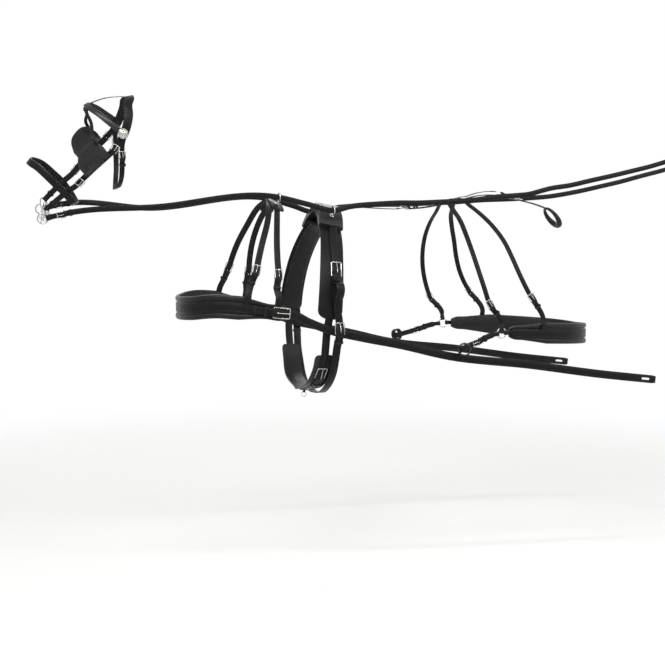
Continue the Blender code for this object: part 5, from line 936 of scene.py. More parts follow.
class Buckle:
    """A buckle on the folded end of one strap, and the billet of another that passes through it.

    Sense is +1 where the billet comes from farther along the line. Low is the inner face of the
    strap that carries the buckle, and half is half the billet's width."""

    def __init__(
        self, line, run, sense, half, length, low=0, chape=LEATHER, billet=LEATHER, wire=SMALL_WIRE
    ):
        self.line, self.run, self.sense = line, run, sense
        self.half, self.low, self.chape, self.billet = half, low, chape, billet
        self.radius = wire / 2
        self.fold = self.radius + GAP + FOLD_WALL
        self.bar_out = low + self.fold
        self.front = run + sense * (length + wire)
        self.front_out = low + billet + LAY / 2 + self.radius
        self.chape_half = half + GAP + BITE
        self.side = self.chape_half + 2 * GAP + self.radius
        self.lay = LAY + (wire - SMALL_WIRE) * LARGE_LAY_SHARE
        self.over = low + 2 * self.fold + self.lay
        self.hole = run + sense * (self.fold + HOLE_RADIUS)
        self.tongue_radius = self.radius * TONGUE_SHARE

    def frame(self):
        """The frame, a rounded rectangle of wire. One of its sides is the bar."""
        reach = abs(self.front - self.run)
        rise = self.front_out - self.bar_out
        path = []
        for end, side, first in ((0, 1, 180), (1, 1, 90), (1, -1, 0), (0, -1, -90)):
            round_off = self.radius * (2.4 if end else 1.6)
            middle = end * reach + (1 - 2 * end) * round_off
            for k in range(FRAME_CORNER):
                turn = math.radians(first - 90 * k / (FRAME_CORNER - 1))
                run = self.run + self.sense * (middle + round_off * math.cos(turn))
                across = side * (self.side - round_off) + round_off * math.sin(turn)
                level = self.bar_out + rise * ((run - self.run) / (self.front - self.run))
                path.append(self.line.place(run, across, level))
        return tube(path, self.radius, closed=True)

    def tongue(self, loose=False):
        """The tongue, from the bar through its hole to the front. A loose one starts at its eye."""
        thick = self.tongue_radius
        hole = abs(self.hole - self.run)
        reach = abs(self.front - self.run)
        top = self.over + self.billet + thick
        rest = self.front_out + self.radius + thick + GAP
        start = self.radius + thick / 2 if loose else 0
        spots = (
            (start, self.bar_out + self.radius * (0.6 if loose else 0)),
            (hole, self.bar_out + self.radius + GAP), (hole + thick, top),
            (reach, rest), (reach + 2 * thick, rest),
        )
        places = [self.line.place(self.run + self.sense * run, 0, rise) for run, rise in spots]
        path = evenly(places, thick)
        taper = np.interp(np.arange(len(path)), [0, len(path) - 3, len(path) - 1], [1.0, 0.9, 0.45])
        return tube(path, thick * taper, 12)

    def loose_tongue(self):
        """A tongue that can be lifted, with its closed end round the bar."""
        eye = self.radius + 2 * GAP + 1.2 * self.tongue_radius
        return [pin(self.line, self.run, 0, self.bar_out, self.tongue_radius, eye), self.tongue(True)]

    def chape_rows(self, sink=0.0):
        """The end of the strap that carries the buckle, from its plain part to its fold."""
        sense, run, fold, low = self.sense, self.run, self.fold, self.low
        rows = [(run - sense * 2.2 * fold, self.chape_half, low - sink, low + self.chape)]
        for along, lower, upper in FOLD_SHARES:
            inner = low + lower * fold - sink * (along <= 0)
            rows.append((run + sense * along * fold, self.chape_half, inner, low + upper * fold))
        return rows

    def billet_rows(self, tip, sink=0.0):
        """The billet from where it enters the frame to its pointed end, a run beyond the bar."""
        sense, run, fold, low = self.sense, self.run, self.fold, self.low
        half, thick = self.half, self.billet
        laid_low = low + self.chape + self.lay - sink
        rows = [
            (self.front, half, low, low + thick),
            (run + sense * BENT * fold, half, self.over, self.over + thick),
            (run - sense * BENT * fold, half, self.over, self.over + thick),
            (run - sense * LAID * fold, half, laid_low, laid_low + thick),
        ]
        return rows + tip_rows(run - sense * tip, -sense, half, laid_low, laid_low + thick)

    def chape_seam(self, length=LONG_SEAM):
        """The stitches that hold the fold closed, behind the bar."""
        start = self.run - self.sense * 3 * self.fold
        end = start - self.sense * length
        rows = [(run, self.chape_half, self.low, self.low + self.chape) for run in (start, end)]
        return seam(self.line, rows, start, end)

    def fittings(self, back):
        """What a buckle that is sewn in brings: frame, tongue, a keeper and the chape's stitches."""
        return [self.frame(), self.tongue(), self.loop(back), self.chape_seam(SHORT_SEAM)]

    def holes(self, tip):
        """Rims of the punched holes to either side of the one that the tongue is in."""
        sense, shapes = self.sense, []
        laid = self.low + self.chape + self.lay + self.billet
        spots = [(self.run - sense * tip * share, laid) for share in HOLE_SHARES]
        for away in HOLES_AHEAD:
            spots.append((self.front + sense * (self.fold + away), self.low + self.billet))
        rim = [(wide * HOLE_RADIUS, high) for wide, high in HOLE_RIM]
        for run, high in spots:
            place = self.line.place(run, 0, high)
            out = unit(self.line.place(run, 0, high + 1) - place)
            shapes.append(turned(place, out, rim, 16, "loop"))
        return shapes

    def loop(self, back):
        """A keeper on the strap that carries the buckle, a distance behind the bar."""
        half, foot = self.half + GAP, self.low + BITE
        side, high = half + KEEPER_WALL, self.low + self.chape + LAY + self.billet + LAY
        top = high + KEEPER_WALL
        section = (
            (-side, foot), (-side, top), (side, top), (side, foot),
            (half, foot), (half, high), (-half, high), (-half, foot),
        )
        return keeper(self.line, self.run - self.sense * back, section)


def keeper(line, middle, section):
    """The section of a keeper, drawn out along the line."""
    ends = (middle - KEEPER_RUN / 2, middle + KEEPER_RUN / 2)
    rings = [[line.place(end, across, out) for across, out in section] for end in ends]
    return loft(rings, finish="loop")


def ring_fold(run, sense, half, thick, wire, middle, swell):
    """The end of a strap, folded round a ring. Middle is the ring's height out of the line."""
    outer = wire / 2 + 2 * GAP + swell + FOLD_WALL
    rows = [(run - sense * 2.4 * outer, half, middle - thick / 2, middle + thick / 2)]
    for along, rise in RING_FOLD_SHARES:
        rows.append((run + sense * along * outer, half, middle - rise * outer, middle + rise * outer))
    return rows


def keeper_over(line, middle, half, low, high):
    """A keeper that is sewn to what it goes round."""
    side, foot, top = half + KEEPER_WALL, low + BITE, high + KEEPER_WALL
    return keeper(line, middle, ((-side, foot), (-side, top), (side, top), (side, foot)))


print("buckle wires", SMALL_WIRE, "and", LARGE_WIRE)

# %% [markdown]
# Dressing a node makes its pieces: one for each finish among its shapes. Each piece rides on the
# node's body and stands for the node, whose own part is hidden. One mesh with several materials would
# do as well, but pieces that each have one finish are easier to take up in another scene. Keepers and
# tabs get a small bevel, because a cut edge of leather is never sharp.

# %% Dressing a node
SMOOTH_ANGLE = math.radians(40)
LOOP_BEVEL = 0.0005
PART_NAMES = {
    "leather": "leather", "patent": "leather", "loop": "loops", "soft": "pad",
    "nickel": "metal", "steel": "metal", "thread": "stitches",
}


def piece(name, shapes, finish):
    """One mesh of several shapes with one finish."""
    corners, faces = [], []
    for shape_corners, shape_faces, _ in shapes:
        faces += [tuple(len(corners) + i for i in face) for face in shape_faces]
        corners += [tuple(corner) for corner in shape_corners]
    mesh = bpy.data.meshes.new(name)
    mesh.from_pydata(corners, [], faces)
    flat = bmesh.new()
    flat.from_mesh(mesh)
    bmesh.ops.recalc_face_normals(flat, faces=flat.faces)
    flat.to_mesh(mesh)
    flat.free()
    mesh.shade_smooth()
    mesh.set_sharp_from_angle(angle=SMOOTH_ANGLE)
    mesh.materials.append(FINISHES[finish])
    made = bpy.data.objects.new(name, mesh)
    bpy.context.scene.collection.objects.link(made)
    if finish == "loop":
        bevel = made.modifiers.new("worn edge", "BEVEL")
        bevel.width = LOOP_BEVEL
        bevel.segments = 2
        bevel.limit_method = "ANGLE"
    return made


def dress(node, shapes, body_finish=None):
    """The pieces of one node. Body finish replaces that of its plain leather."""
    made = {}
    for finish in FINISHES:
        chosen = [shape for shape in shapes if shape[2] == finish]
        if not chosen:
            continue
        shown = body_finish if body_finish and finish == "leather" else finish
        made[finish] = piece(f"{node}_{PART_NAMES[finish]}", chosen, shown)
        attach(made[finish], BODY_OF[node])
        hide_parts(node)
    print(node, {finish: len(part.data.vertices) for finish, part in made.items()})
    return made


def dress_pair(name, shapes, body_finish=None, mirror=BODY_MIRROR):
    """A near node and its mirror image on the far side."""
    dress(f"{name}_left", shapes, body_finish)
    dress(f"{name}_right", [mirrored(shape, mirror) for shape in shapes], body_finish)


print("kinds of pieces:", ", ".join(sorted(set(PART_NAMES.values()))))

# %% [markdown]
# The bridle is laid on the head. Its crown strap divides below the browband into a cheek billet and
# a throat billet, and the stay of the blinkers is sewn to its middle. The lines could be drawn as
# curves in a viewport, but a table of spots on the head is easier to correct by a millimetre.

# %% Lines of the bridle
CHEEK_WIDTH = 0.022
CROWN_WIDTH = 0.034
BROW_WIDTH = 0.023
NOSE_WIDTH = 0.028
THROAT_WIDTH = 0.019
STAY_WIDTH = 0.016
BRIDLE_BUCKLE = 0.026     # inside length of the frame
ROSETTE_RADIUS = 0.019
ROSETTE_DOME = 0.008
WINKER_HEIGHT = 0.096
WINKER_THICKNESS = 0.004
BIT_RING_RADIUS = 0.0205
BIT_RING_WIRE = 0.0050
MOUTH_RADIUS = 0.0065
MOUTH_HALF = 0.068
CURB_WIRE = 0.0024
CURB_RADIUS = 0.0075
CURB_LINKS = 9


def on_head(along, up, out):
    return head.local(along * HEAD_LENGTH, up * HEAD_DEPTH, out * HEAD_WIDTH / 2)


BIT_LOOP_WIRE = 0.0040
BIT_LOOP_OUT = LEATHER / 2
BIT_AXIS_SHARES = (0.8825, -0.4617)
RING_SHARES = (0.9067, -0.5100)
bit_middle = on_head(*BIT_AXIS_SHARES, 0)
ring_middle = on_head(*RING_SHARES, 0) + MOUTH_HALF * head.near
bit_end = bit_middle + MOUTH_HALF * head.near

CURB_SHARES = ((0.930, -0.560, 0), (0.905, -0.545, 0.36))
CHEEK_LIFT = 0.001
CHEEK_TURNS = at_lift(
    CHEEK_LIFT, (-0.014, 0), (-0.0117, 20), (0.019, 39), (0.059, 65), (0.112, 80), (0.157, 88),
    (0.201, 91.2), (0.254, 93.2), (0.429, 96.5), (0.527, 99.7), (0.585, 103), (0.688, 104.2),
    (0.756, 106), (0.845, 110),
)
THROAT_TURNS = at_lift(CHEEK_LIFT, (0.130, 84), (0.215, 97), (0.249, 105), (0.288, 116)) + [
    (0.349, 137.5, 2 * CHEEK_LIFT), (0.400, 160, 9 * CHEEK_LIFT), (0.425, 180, 13 * CHEEK_LIFT),
]
BROW_LIFT = CHEEK_LIFT + LEATHER + 1.3 * SLACK
BROW_TURNS = at_lift(BROW_LIFT, (0.232, 0), (0.224, 22), (0.2015, 42)) + [
    (0.1805, 63, 1.15 * BROW_LIFT), (0.163, 80, 1.3 * BROW_LIFT), (0.157, 91, 1.35 * BROW_LIFT),
]
NOSE_LIFT = CHEEK_LIFT + 2 * LEATHER + 1.5 * SLACK
NOSE_TURNS = (
    at_lift(CHEEK_LIFT, (0.742, 0), (0.737, 17), (0.718, 39))
    + at_lift(NOSE_LIFT, (0.704, 56), (0.691, 84), (0.6836, 102.5), (0.686, 131))
    + at_lift(CHEEK_LIFT, (0.690, 152), (0.690, 180))
)
STAY_TURNS = at_lift(CHEEK_LIFT, (-0.005, 0), (0.10, 0), (0.19, 0), (0.235, 0))

cheek_line = laid(head, CHEEK_TURNS, HEAD_MIRROR)
throat_line = laid(head, THROAT_TURNS, HEAD_MIRROR)
brow_line = laid(head, BROW_TURNS, HEAD_MIRROR)
nose_half = laid(head, NOSE_TURNS, HEAD_MIRROR)
nose_line = joined_over(nose_half.points, nose_half.outs, HEAD_MIRROR, "bottom", closed=True)

ROSETTE_AT = cheek_line.side.nearest(on_head(0.157, -0.277, 0.96))
CHEEK_BUCKLE_AT = cheek_line.side.nearest(on_head(0.262, -0.317, 1.0))
LOW_BUCKLE_AT = cheek_line.side.nearest(on_head(0.588, -0.43, 0.85))
BIT_EYE_AT = cheek_line.side.length
CHEEK_TIP, THROAT_TIP = 1.6 * CHEEK_WIDTH, 1.6 * THROAT_WIDTH
THROAT_BUCKLE_AT = throat_line.side.nearest(on_head(0.247, -0.453, 0.95))
cheek = cheek_line.side
cheek_top = Buckle(cheek, CHEEK_BUCKLE_AT + BRIDLE_BUCKLE / 2, -1, CHEEK_WIDTH / 2, BRIDLE_BUCKLE)
throat_top = Buckle(
    throat_line.side, THROAT_BUCKLE_AT + BRIDLE_BUCKLE / 2, -1, THROAT_WIDTH / 2, BRIDLE_BUCKLE
)


def winker_places():
    """The blinker's foot on the cheekpiece, and its top edge, which stands clear of the eye."""
    shares = (            # along the blinker, height
        (0.0, 0.42), (0.10, 0.78), (0.27, 0.96), (0.50, 1.0), (0.75, 0.96), (0.90, 0.80), (1.0, 0.50),
    )
    splay_shares = (0.16, 0.62)
    start = cheek.nearest(on_head(0.305, -0.333, 1.0))
    end = cheek.nearest(on_head(0.505, -0.40, 0.9))
    lows, highs = [], []
    for along, height in shares:
        run = start + along * (end - start)
        low = cheek.place(run, 0, 2 * LEATHER + 2 * GAP + (along < 0.2) * 2 * LEATHER)
        splay = splay_shares[0] + along * (splay_shares[1] - splay_shares[0])
        lean = unit(head.up + splay * head.near)
        lows.append(low)
        highs.append(low + height * WINKER_HEIGHT * lean)
    return lows, highs


print("cheek line", round(cheek.length, 3), "m, noseband", round(nose_line.length, 3), "m round")

# %% [markdown]
# The crown strap goes over the poll, behind the ears, and carries the whole bridle. The stay is a
# stiff forked strap that holds the blinkers open. Both could be cut as flat outlines and bent, but
# each branch bends its own way, so each is swept along its own line and they meet in a lap.

# %% Crown strap and stay
def make_stay_fork():
    """One arm of the winker stay, from the middle of the forehead to the top of a winker."""
    lows, highs = winker_places()
    top = lows[1] + 0.86 * (highs[1] - lows[1])
    up = unit(highs[1] - lows[1])
    out = unit(np.cross(head.along, up))
    out = out if out @ head.near > 0 else -out
    seat = (WINKER_THICKNESS / 2 + GAP) * out + WINKER_HEIGHT * 0.045 * out
    starts = [head.lifted(0.200, 3, CHEEK_LIFT), head.lifted(0.250, 20, CHEEK_LIFT)]
    ends = [top + seat + 0.18 * WINKER_HEIGHT * up, top + seat]
    places = starts + [head.lifted(0.272, 45, 3 * LEATHER)] + ends
    outs = [head.normal(0.200, 3), head.normal(0.250, 20), head.normal(0.272, 45), out, out]
    line = freely(places, outs, HEAD_MIRROR).side
    inset = LEATHER / 3
    half = STAY_WIDTH / 2
    rows = [(0.0, half * 0.6, inset, LEATHER - inset), (line.length * 0.2, half * 0.8, 0, LEATHER)]
    return slab(line, rows + tip_rows(line.length, 1, half * 0.8, 0, LEATHER))


def make_crown():
    """The crown strap, which divides into a cheek billet and a throat billet on each side."""
    rows = [
        (0.0, CROWN_WIDTH / 2, 0, LEATHER), (ROSETTE_AT, CROWN_WIDTH / 2, 0, LEATHER),
        (ROSETTE_AT + CROWN_WIDTH, CHEEK_WIDTH / 2, 0, LEATHER),
    ]
    crown = slab(cheek_line.over, over_rows(cheek_line, rows + cheek_top.billet_rows(CHEEK_TIP)))
    inset = LEATHER / 4
    thin = (THROAT_WIDTH / 2, inset, LEATHER - inset)
    rows = [(0.0, *thin), (CROWN_WIDTH, *thin)] + throat_top.billet_rows(THROAT_TIP)
    billet = slab(throat_line.side, rows)
    stay_line = laid(head, STAY_TURNS, HEAD_MIRROR).side
    half = STAY_WIDTH / 2
    rows = [(0.0, half, inset, LEATHER - inset), (stay_line.length, half, 0, LEATHER - inset)]
    holes = cheek_top.holes(CHEEK_TIP) + throat_top.holes(THROAT_TIP)
    paired = both_sides([billet, make_stay_fork(), *holes], HEAD_MIRROR)
    dress("crown_strap", [crown, *paired[:2], slab(stay_line, rows), *paired[2:]])


make_crown()

# %% [markdown]
# The browband keeps the crown strap from sliding back. Its ends are loops that the crown passes
# through, and a rosette hides each of them. A rosette is pressed over a form. It could be sculpted,
# but a profile turned about an axis gives its rolled rim and its boss in one step.

# %% Browband and rosettes
def make_browband():
    line = brow_line.over
    loop_half = ROSETTE_RADIUS * 0.8
    spots = ((0.0, loop_half * 0.7), (loop_half, loop_half), (2 * loop_half, BROW_WIDTH / 2))
    rows = both_ends(line, [(run, half, 0, LEATHER) for run, half in spots])
    stitched = seam(line, rows, loop_half, line.length - loop_half)
    dress("browband", [slab(line, rows), stitched], "patent")


def make_rosettes():
    """A domed rosette where the browband meets the crown strap, with a rolled rim and a raised boss."""
    run = brow_line.side.length - ROSETTE_RADIUS * 0.8
    place = brow_line.side.place(run, 0, LEATHER + SLACK)
    axis = unit(brow_line.side.place(run, 0, 1) - place)
    shares = (
        (0.96, 0.0), (1.0, 0.05), (1.0, 0.18), (0.96, 0.26), (0.90, 0.27), (0.86, 0.22), (0.80, 0.36),
        (0.70, 0.58), (0.60, 0.70), (0.52, 0.72), (0.48, 0.66), (0.42, 0.80), (0.30, 0.92),
        (0.16, 0.99), (0.02, 1.0),
    )
    profile = [(radius * ROSETTE_RADIUS, height * ROSETTE_DOME) for radius, height in shares]
    dress_pair("rosette", [turned(place, axis, profile, 56)], mirror=HEAD_MIRROR)


make_browband()
make_rosettes()

# %% [markdown]
# A blinker is a stiff leather cup that keeps the eye to the front. A real one is moulded over a
# form while it is wet. It could be a piece of a sphere, but its foot has to follow the cheekpiece.
# So its two edges are smooth curves, and the sheet between them bulges outwards. The rim is rounded
# over and stitched.

# %% Blinkers
WINKER_BULGE = 0.10       # of its height
RIM_SEAM_SHARE = 0.055    # how far the seam is from the rim
RIM_TURNS = (-60, -20, 20, 60)
STEPS_ALONG, STEPS_ACROSS = 41, 15


def winker_sheet():
    """The cup's middle surface: for each place along it, its foot, its top and its way out."""
    lows, highs = winker_places()
    places = np.linspace(0, 1, len(lows))
    sheet = []
    for along in np.linspace(0, 1, STEPS_ALONG):
        low, high = smooth(places, lows, along), smooth(places, highs, along)
        out = unit(np.cross(head.along, high - low))
        sheet.append((low, high, out if out @ head.near > 0 else -out))
    return sheet


def make_winkers():
    bulge, thick = WINKER_BULGE * WINKER_HEIGHT, WINKER_THICKNESS / 2
    across_shares = np.linspace(0, 1, STEPS_ACROSS)
    rings, rim_points, rim_outs = [], [], []
    for low, high, out in winker_sheet():
        up = high - low
        way = unit(up)
        spots = [low + t * up + math.sin(math.pi * t) * bulge * out for t in across_shares]
        turns = [math.radians(turn) for turn in RIM_TURNS]
        rim = [high + thick * (math.sin(turn) * out + math.cos(turn) * way) for turn in turns]
        inner, outer = [[spot + side * thick * out for spot in spots] for side in (-1, 1)]
        rings.append(inner + rim + outer[::-1])
        t = 1 - RIM_SEAM_SHARE * WINKER_HEIGHT / np.linalg.norm(up)
        rim_points.append(low + t * up + (math.sin(math.pi * t) * bulge + thick) * out)
        rim_outs.append(out)
    lows, _ = winker_places()
    start, end = cheek.nearest(lows[2]), cheek.nearest(lows[-1])
    reach, low = CHEEK_WIDTH / 8, LEATHER + GAP
    narrow, wide = (CHEEK_WIDTH / 4, low, low + LEATHER), (CHEEK_WIDTH / 2, low, low + LEATHER)
    rows = [(start - reach, *narrow), (start, *wide), (end, *wide), (end + reach, *narrow)]
    rim_line = Line(rim_points, rim_outs)
    spots = [(run, 0, 0) for run in np.arange(STITCH_STEP, rim_line.length - STITCH_STEP, STITCH_STEP)]
    shapes = [slab(cheek, rows), loft(rings), stitches(rim_line, spots), seam(cheek, rows, start, end)]
    dress_pair("winker", shapes, "patent", mirror=HEAD_MIRROR)


make_winkers()

# %% [markdown]
# The cheekpiece hangs from the crown's billet and carries the bit. Its lower end is folded round
# the bit's loop and buckled back on itself. The noseband and the throat lash go round the head. The
# double leather could be one thick strap, but its seam and its edges show, so it is two.

# %% Cheekpieces, noseband and throat lash
def make_cheekpieces():
    """The cheekpiece, with its upper buckle, and its lower billet, buckled round the bit."""
    half = CHEEK_WIDTH / 2
    eye = ring_fold(BIT_EYE_AT, 1, half - 2 * GAP, LEATHER, BIT_LOOP_WIRE, BIT_LOOP_OUT, GAP)
    plain = (BIT_EYE_AT - CHEEK_WIDTH * 1.6, half, 0, LEATHER)
    low = LEATHER - BITE
    raised = Buckle(cheek, LOW_BUCKLE_AT, -1, half, BRIDLE_BUCKLE, low=low)
    start, end = raised.run - BRIDLE_BUCKLE * 0.2, BIT_EYE_AT - CHEEK_WIDTH * 1.3
    doubled = [(run, half * 0.96, low, 2 * LEATHER - BITE) for run in (start, end)]
    keeper_at = BIT_EYE_AT - CHEEK_WIDTH * 1.5
    shapes = [
        slab(cheek, cheek_top.chape_rows() + [plain] + eye), slab(cheek, doubled),
        cheek_top.frame(), cheek_top.tongue(), raised.frame(), raised.tongue(),
        keeper_over(cheek, keeper_at, half, 0, 2 * LEATHER - BITE),
        cheek_top.chape_seam(), seam(cheek, doubled, start + CHEEK_WIDTH, end),
    ]
    dress_pair("cheekpiece", shapes, mirror=HEAD_MIRROR)


make_cheekpieces()
nose_rows = [(run, NOSE_WIDTH / 2, 0, LINED) for run in (0.0, nose_line.length)]
nose_seam = seam(nose_line, nose_rows, 0.0, nose_line.length)
dress("noseband", [slab(nose_line, nose_rows, closed=True), nose_seam])
lash = slab(throat_line.under, both_ends(throat_line.under, throat_top.chape_rows()))
dress("throat_lash", [lash] + both_sides(throat_top.fittings(BRIDLE_BUCKLE * 0.9), HEAD_MIRROR))

# %% [markdown]
# The bit has a straight mouthpiece whose ends widen into the butts that the loose rings run
# through. A wire loop on each butt takes the cheekpiece, and the curb chain hangs between them. The
# chain could be a tube with a bump of links on it, but gaps show between real links, so they are
# real rings, each turned a quarter from the last.

# %% Bit, rings and curb chain
def rounded(path, radius):
    """A closed path of straight sides with each corner replaced by a short arc."""
    path = [np.asarray(point, float) for point in path]
    smoothed = []
    for before, point, after in zip(path[-1:] + path[:-1], path, path[1:] + path[:1]):
        start, end = point + radius * unit(before - point), point + radius * unit(after - point)
        for t in np.linspace(0, 1, 6):
            smoothed.append((1 - t) ** 2 * start + 2 * t * (1 - t) * point + t**2 * end)
    return smoothed


def bit_shift(centre):
    """The middle of the mouthpiece, on the head's mid-plane."""
    return centre - ((centre - head.place) @ head.near) * head.near


loop_end = cheek.place(BIT_EYE_AT, 0, BIT_LOOP_OUT)
loop_edge = unit(cheek.place(BIT_EYE_AT, 1, BIT_LOOP_OUT) - loop_end)
LOOP_SIDE = CHEEK_WIDTH / 2 + BIT_LOOP_WIRE / 2 + 2 * GAP
BUTT_SHARES = ((0.72, -1.0), (1.0, -0.86), (1.05, -0.8), (1.05, 0.8), (1.0, 0.86), (0.72, 1.0))
MOUTH_SHARES = np.array([1.0, 0.88, 0.82, 0.8, 0.8, 0.8, 0.82, 0.88, 1.0])


def make_bit():
    along = unit(bit_end - ring_middle)
    centre = bit_end - along * (np.linalg.norm(bit_end - ring_middle) - BIT_RING_RADIUS)
    reach = MOUTH_RADIUS * 1.25
    butt = turned(
        centre, head.near, [(MOUTH_RADIUS * wide, reach * high) for wide, high in BUTT_SHARES],
        finish="steel",
    )
    back, side = loop_end + 0.62 * (centre - loop_end), LOOP_SIDE * loop_edge
    path = rounded([centre, back + side, loop_end + side, loop_end - side, back - side], BIT_LOOP_WIRE)
    loop = tube(path, BIT_LOOP_WIRE / 2, closed=True, finish="steel")
    near = centre - 0.03 * 2 * MOUTH_HALF * head.near
    path = np.linspace(near, 2 * bit_shift(centre) - near, len(MOUTH_SHARES))
    mouth = tube(path, MOUTH_RADIUS * MOUTH_SHARES, 24, finish="steel")
    dress("bit_mouthpiece", [mouth] + both_sides([butt, loop], HEAD_MIRROR))


def make_curb_chain():
    """The curb chain: links of wire that hang under the chin from the two bit loops."""
    run_along = unit(bit_end - loop_end)
    hang_from = loop_end - LOOP_SIDE * loop_edge + CURB_RADIUS * 1.05 * run_along
    inside = (BIT_LOOP_WIRE + CURB_WIRE) / 2 + SLACK
    chin, bow = [on_head(*shares) for shares in CURB_SHARES]
    inward = hang_from + 0.3 * (bow - hang_from) - 1.3 * CURB_RADIUS * head.near
    near = [hang_from, inward, bow, chin]
    far = [mirrored_points(place, HEAD_MIRROR) for place in near[-2::-1]]
    path = evenly(near + far, CURB_RADIUS / 4)
    runs = np.concatenate([[0], np.cumsum(np.linalg.norm(np.diff(path, axis=0), axis=1))])
    gap = runs[-1] / CURB_LINKS
    radius = gap / 2 + CURB_WIRE * 0.75
    slip = radius - inside
    hook = run_along - (run_along @ head.near) * head.near

    def spot(at):
        return np.array([np.interp(at, runs, path[:, i]) for i in range(3)])

    links = []
    for k in range(CURB_LINKS):
        at = slip + (runs[-1] - 2 * slip) * k / (CURB_LINKS - 1)
        along = unit(spot(at + gap / 2) - spot(at - gap / 2))
        axis = unit(hook - (hook @ along) * along)
        axis = np.cross(along, axis) if k % 2 else axis
        links.append(ring_shape(spot(at), axis, radius, CURB_WIRE, 32, 10, "steel"))
    dress("curb_chain", links)


make_bit()
ring = ring_shape(ring_middle, head.near, BIT_RING_RADIUS, BIT_RING_WIRE, finish="steel")
dress_pair("bit_ring", [ring], mirror=HEAD_MIRROR)
make_curb_chain()

# %% [markdown]
# The sizes of the reins, the collar, the saddle and the breeching are in metres. Each could be
# given where its piece is made, but a strap needs the size of its neighbour: a buckle fits the
# strap's width, and the backband fits the slot in the saddle. So they stand here together.

# %% Sizes of the collar, the saddle and the breeching
REIN_WIDTH = 0.021
REIN_BUCKLE = 0.026

COLLAR_HALF_WIDTH = 0.264
COLLAR_REACH = 0.400
COLLAR_HEIGHT = 0.092
COLLAR_PAD = 0.016
COLLAR_FULLNESS = 2.4
FACE_WIDTH = 0.036
FACE_THICKNESS = 0.0042
NECK_WIDTH = 0.027
NECK_BUCKLE = 0.034
NECK_PAD = 0.0078         # the stiff top of the neck strap
NECK_TERRET_OUT = 0.068   # along the neck strap from its middle
TRACE_WIDTH = 0.034
TRACE_BUCKLE = 0.058
TRACE_SLOT = 0.040

SEAT_LENGTH = 0.102       # along the back
SEAT_RISE = 0.076
FLAP_WIDTH = 0.100
FLAP_PAD = 0.012
FLAP_LEATHER = 0.004
BACKBAND_WIDTH = 0.032
TUG_BUCKLE = 0.054
SHAFT_SPACE = 0.046       # a tug's round opening, with its clearance
SHAFT_CLEARANCE = 0.005   # from the widest part of the barrel to the middle of a tug's opening
SHAFT_SPREAD = BODY_WIDTH / 2 + SHAFT_CLEARANCE
GIRTH_WIDTH = 0.078
GIRTH_BILLET = 0.032
GIRTH_BUCKLE = 0.048
BELLY_WIDTH = 0.032
BELLY_BUCKLE = 0.040
TERRET_RADIUS = 0.0185
TERRET_WIRE = 0.0044
TERRET_STEM = 0.010
SADDLE_TERRET_TURN = 20   # degrees round the back
DEE_REACH = 0.016         # the dee for the backstrap behind the seat
GIRTH_RING_WIRE = 0.0026
GIRTH_RING_RADIUS = 0.0105

BREECH_HALF_WIDTH = 0.285
BREECH_REACH = 0.500
BREECH_HEIGHT = 0.088
BREECH_PAD = 0.015
BREECH_FULLNESS = 2.4
LOIN_WIDTH = 0.023
LOIN_BUCKLE = 0.032
BACKSTRAP_WIDTH = 0.030
BREECH_RING_RADIUS = 0.0205
BREECH_RING_WIRE = 0.0050
HOLDBACK_WIDTH = 0.024
DOCK_RADIUS = 0.013
print("collar", COLLAR_HEIGHT, "m high, breeching", BREECH_HEIGHT, "m, girth", GIRTH_WIDTH, "m")

# %% [markdown]
# A terret is a ring on a foot, which a rein runs through. Two stand on the neck strap and two on
# the saddle. A foot could be put together from cylinders, but one turned profile has no joins. The
# terrets' places are worked out before the reins, because the reins pass through their middles.

# %% Where the terrets stand
TERRET_FOOT_SHARES = (
    (0.86, 0.0), (0.9, 0.05), (0.9, 0.16), (0.84, 0.22), (0.6, 0.27), (0.44, 0.36), (0.33, 0.5),
    (0.30, 0.62), (0.30, 0.8), (0.36, 1.05),
)
NECK_TOP_SHARE = 0.218
FLAP_TURNS = at_lift(
    0.0, (0.3385, 0), (0.334, 22), (0.3269, 38), (0.3172, 56), (0.3106, 71), (0.306, 84), (0.3034, 92),
    (0.2990, 98.5), (0.2978, 108), (0.298, 117), (0.297, 129), (0.2935, 143), (0.2925, 180),
)
flap_half = laid(trunk, FLAP_TURNS, BODY_MIRROR)
flap_side = flap_half.side
FLAP_OUT = FLAP_PAD + FLAP_LEATHER
TREE_TURNS = (0, 9, 17, 23, 26.5)
TREE_INNER_SHARES = (0.53, 0.49, 0.38, 0.235, 0.222)    # of the seat's rise
TREE_OUTER_SHARES = (1.04, 0.99, 0.84, 0.62, 0.46)

# the line of the stiff top of the neck strap, over the withers
neck_top = laid(trunk, [(NECK_TOP_SHARE, turn, 0.0) for turn in (0, 12, 24)], BODY_MIRROR).over


def terret_centre(base, out):
    return base + (TERRET_STEM + TERRET_RADIUS) * out


def terret(base, out, up):
    """A terret: a foot, a stem and a ring for the rein. Out is the ring's way from its foot."""
    centre = terret_centre(base, out)
    profile = [(TERRET_STEM * wide, TERRET_STEM * high) for wide, high in TERRET_FOOT_SHARES]
    return [turned(base, out, profile), ring_shape(centre, up, TERRET_RADIUS, TERRET_WIRE)]


def neck_seat():
    """Where the near neck terret stands, and the way it points."""
    run = neck_top.length / 2 - NECK_TERRET_OUT
    base = neck_top.place(run, 0, NECK_PAD + 1.6 * SLACK)
    return base, unit(unit(neck_top.place(run, 0, 1) - neck_top.place(run, 0, 0)) + 0.35 * trunk.up)


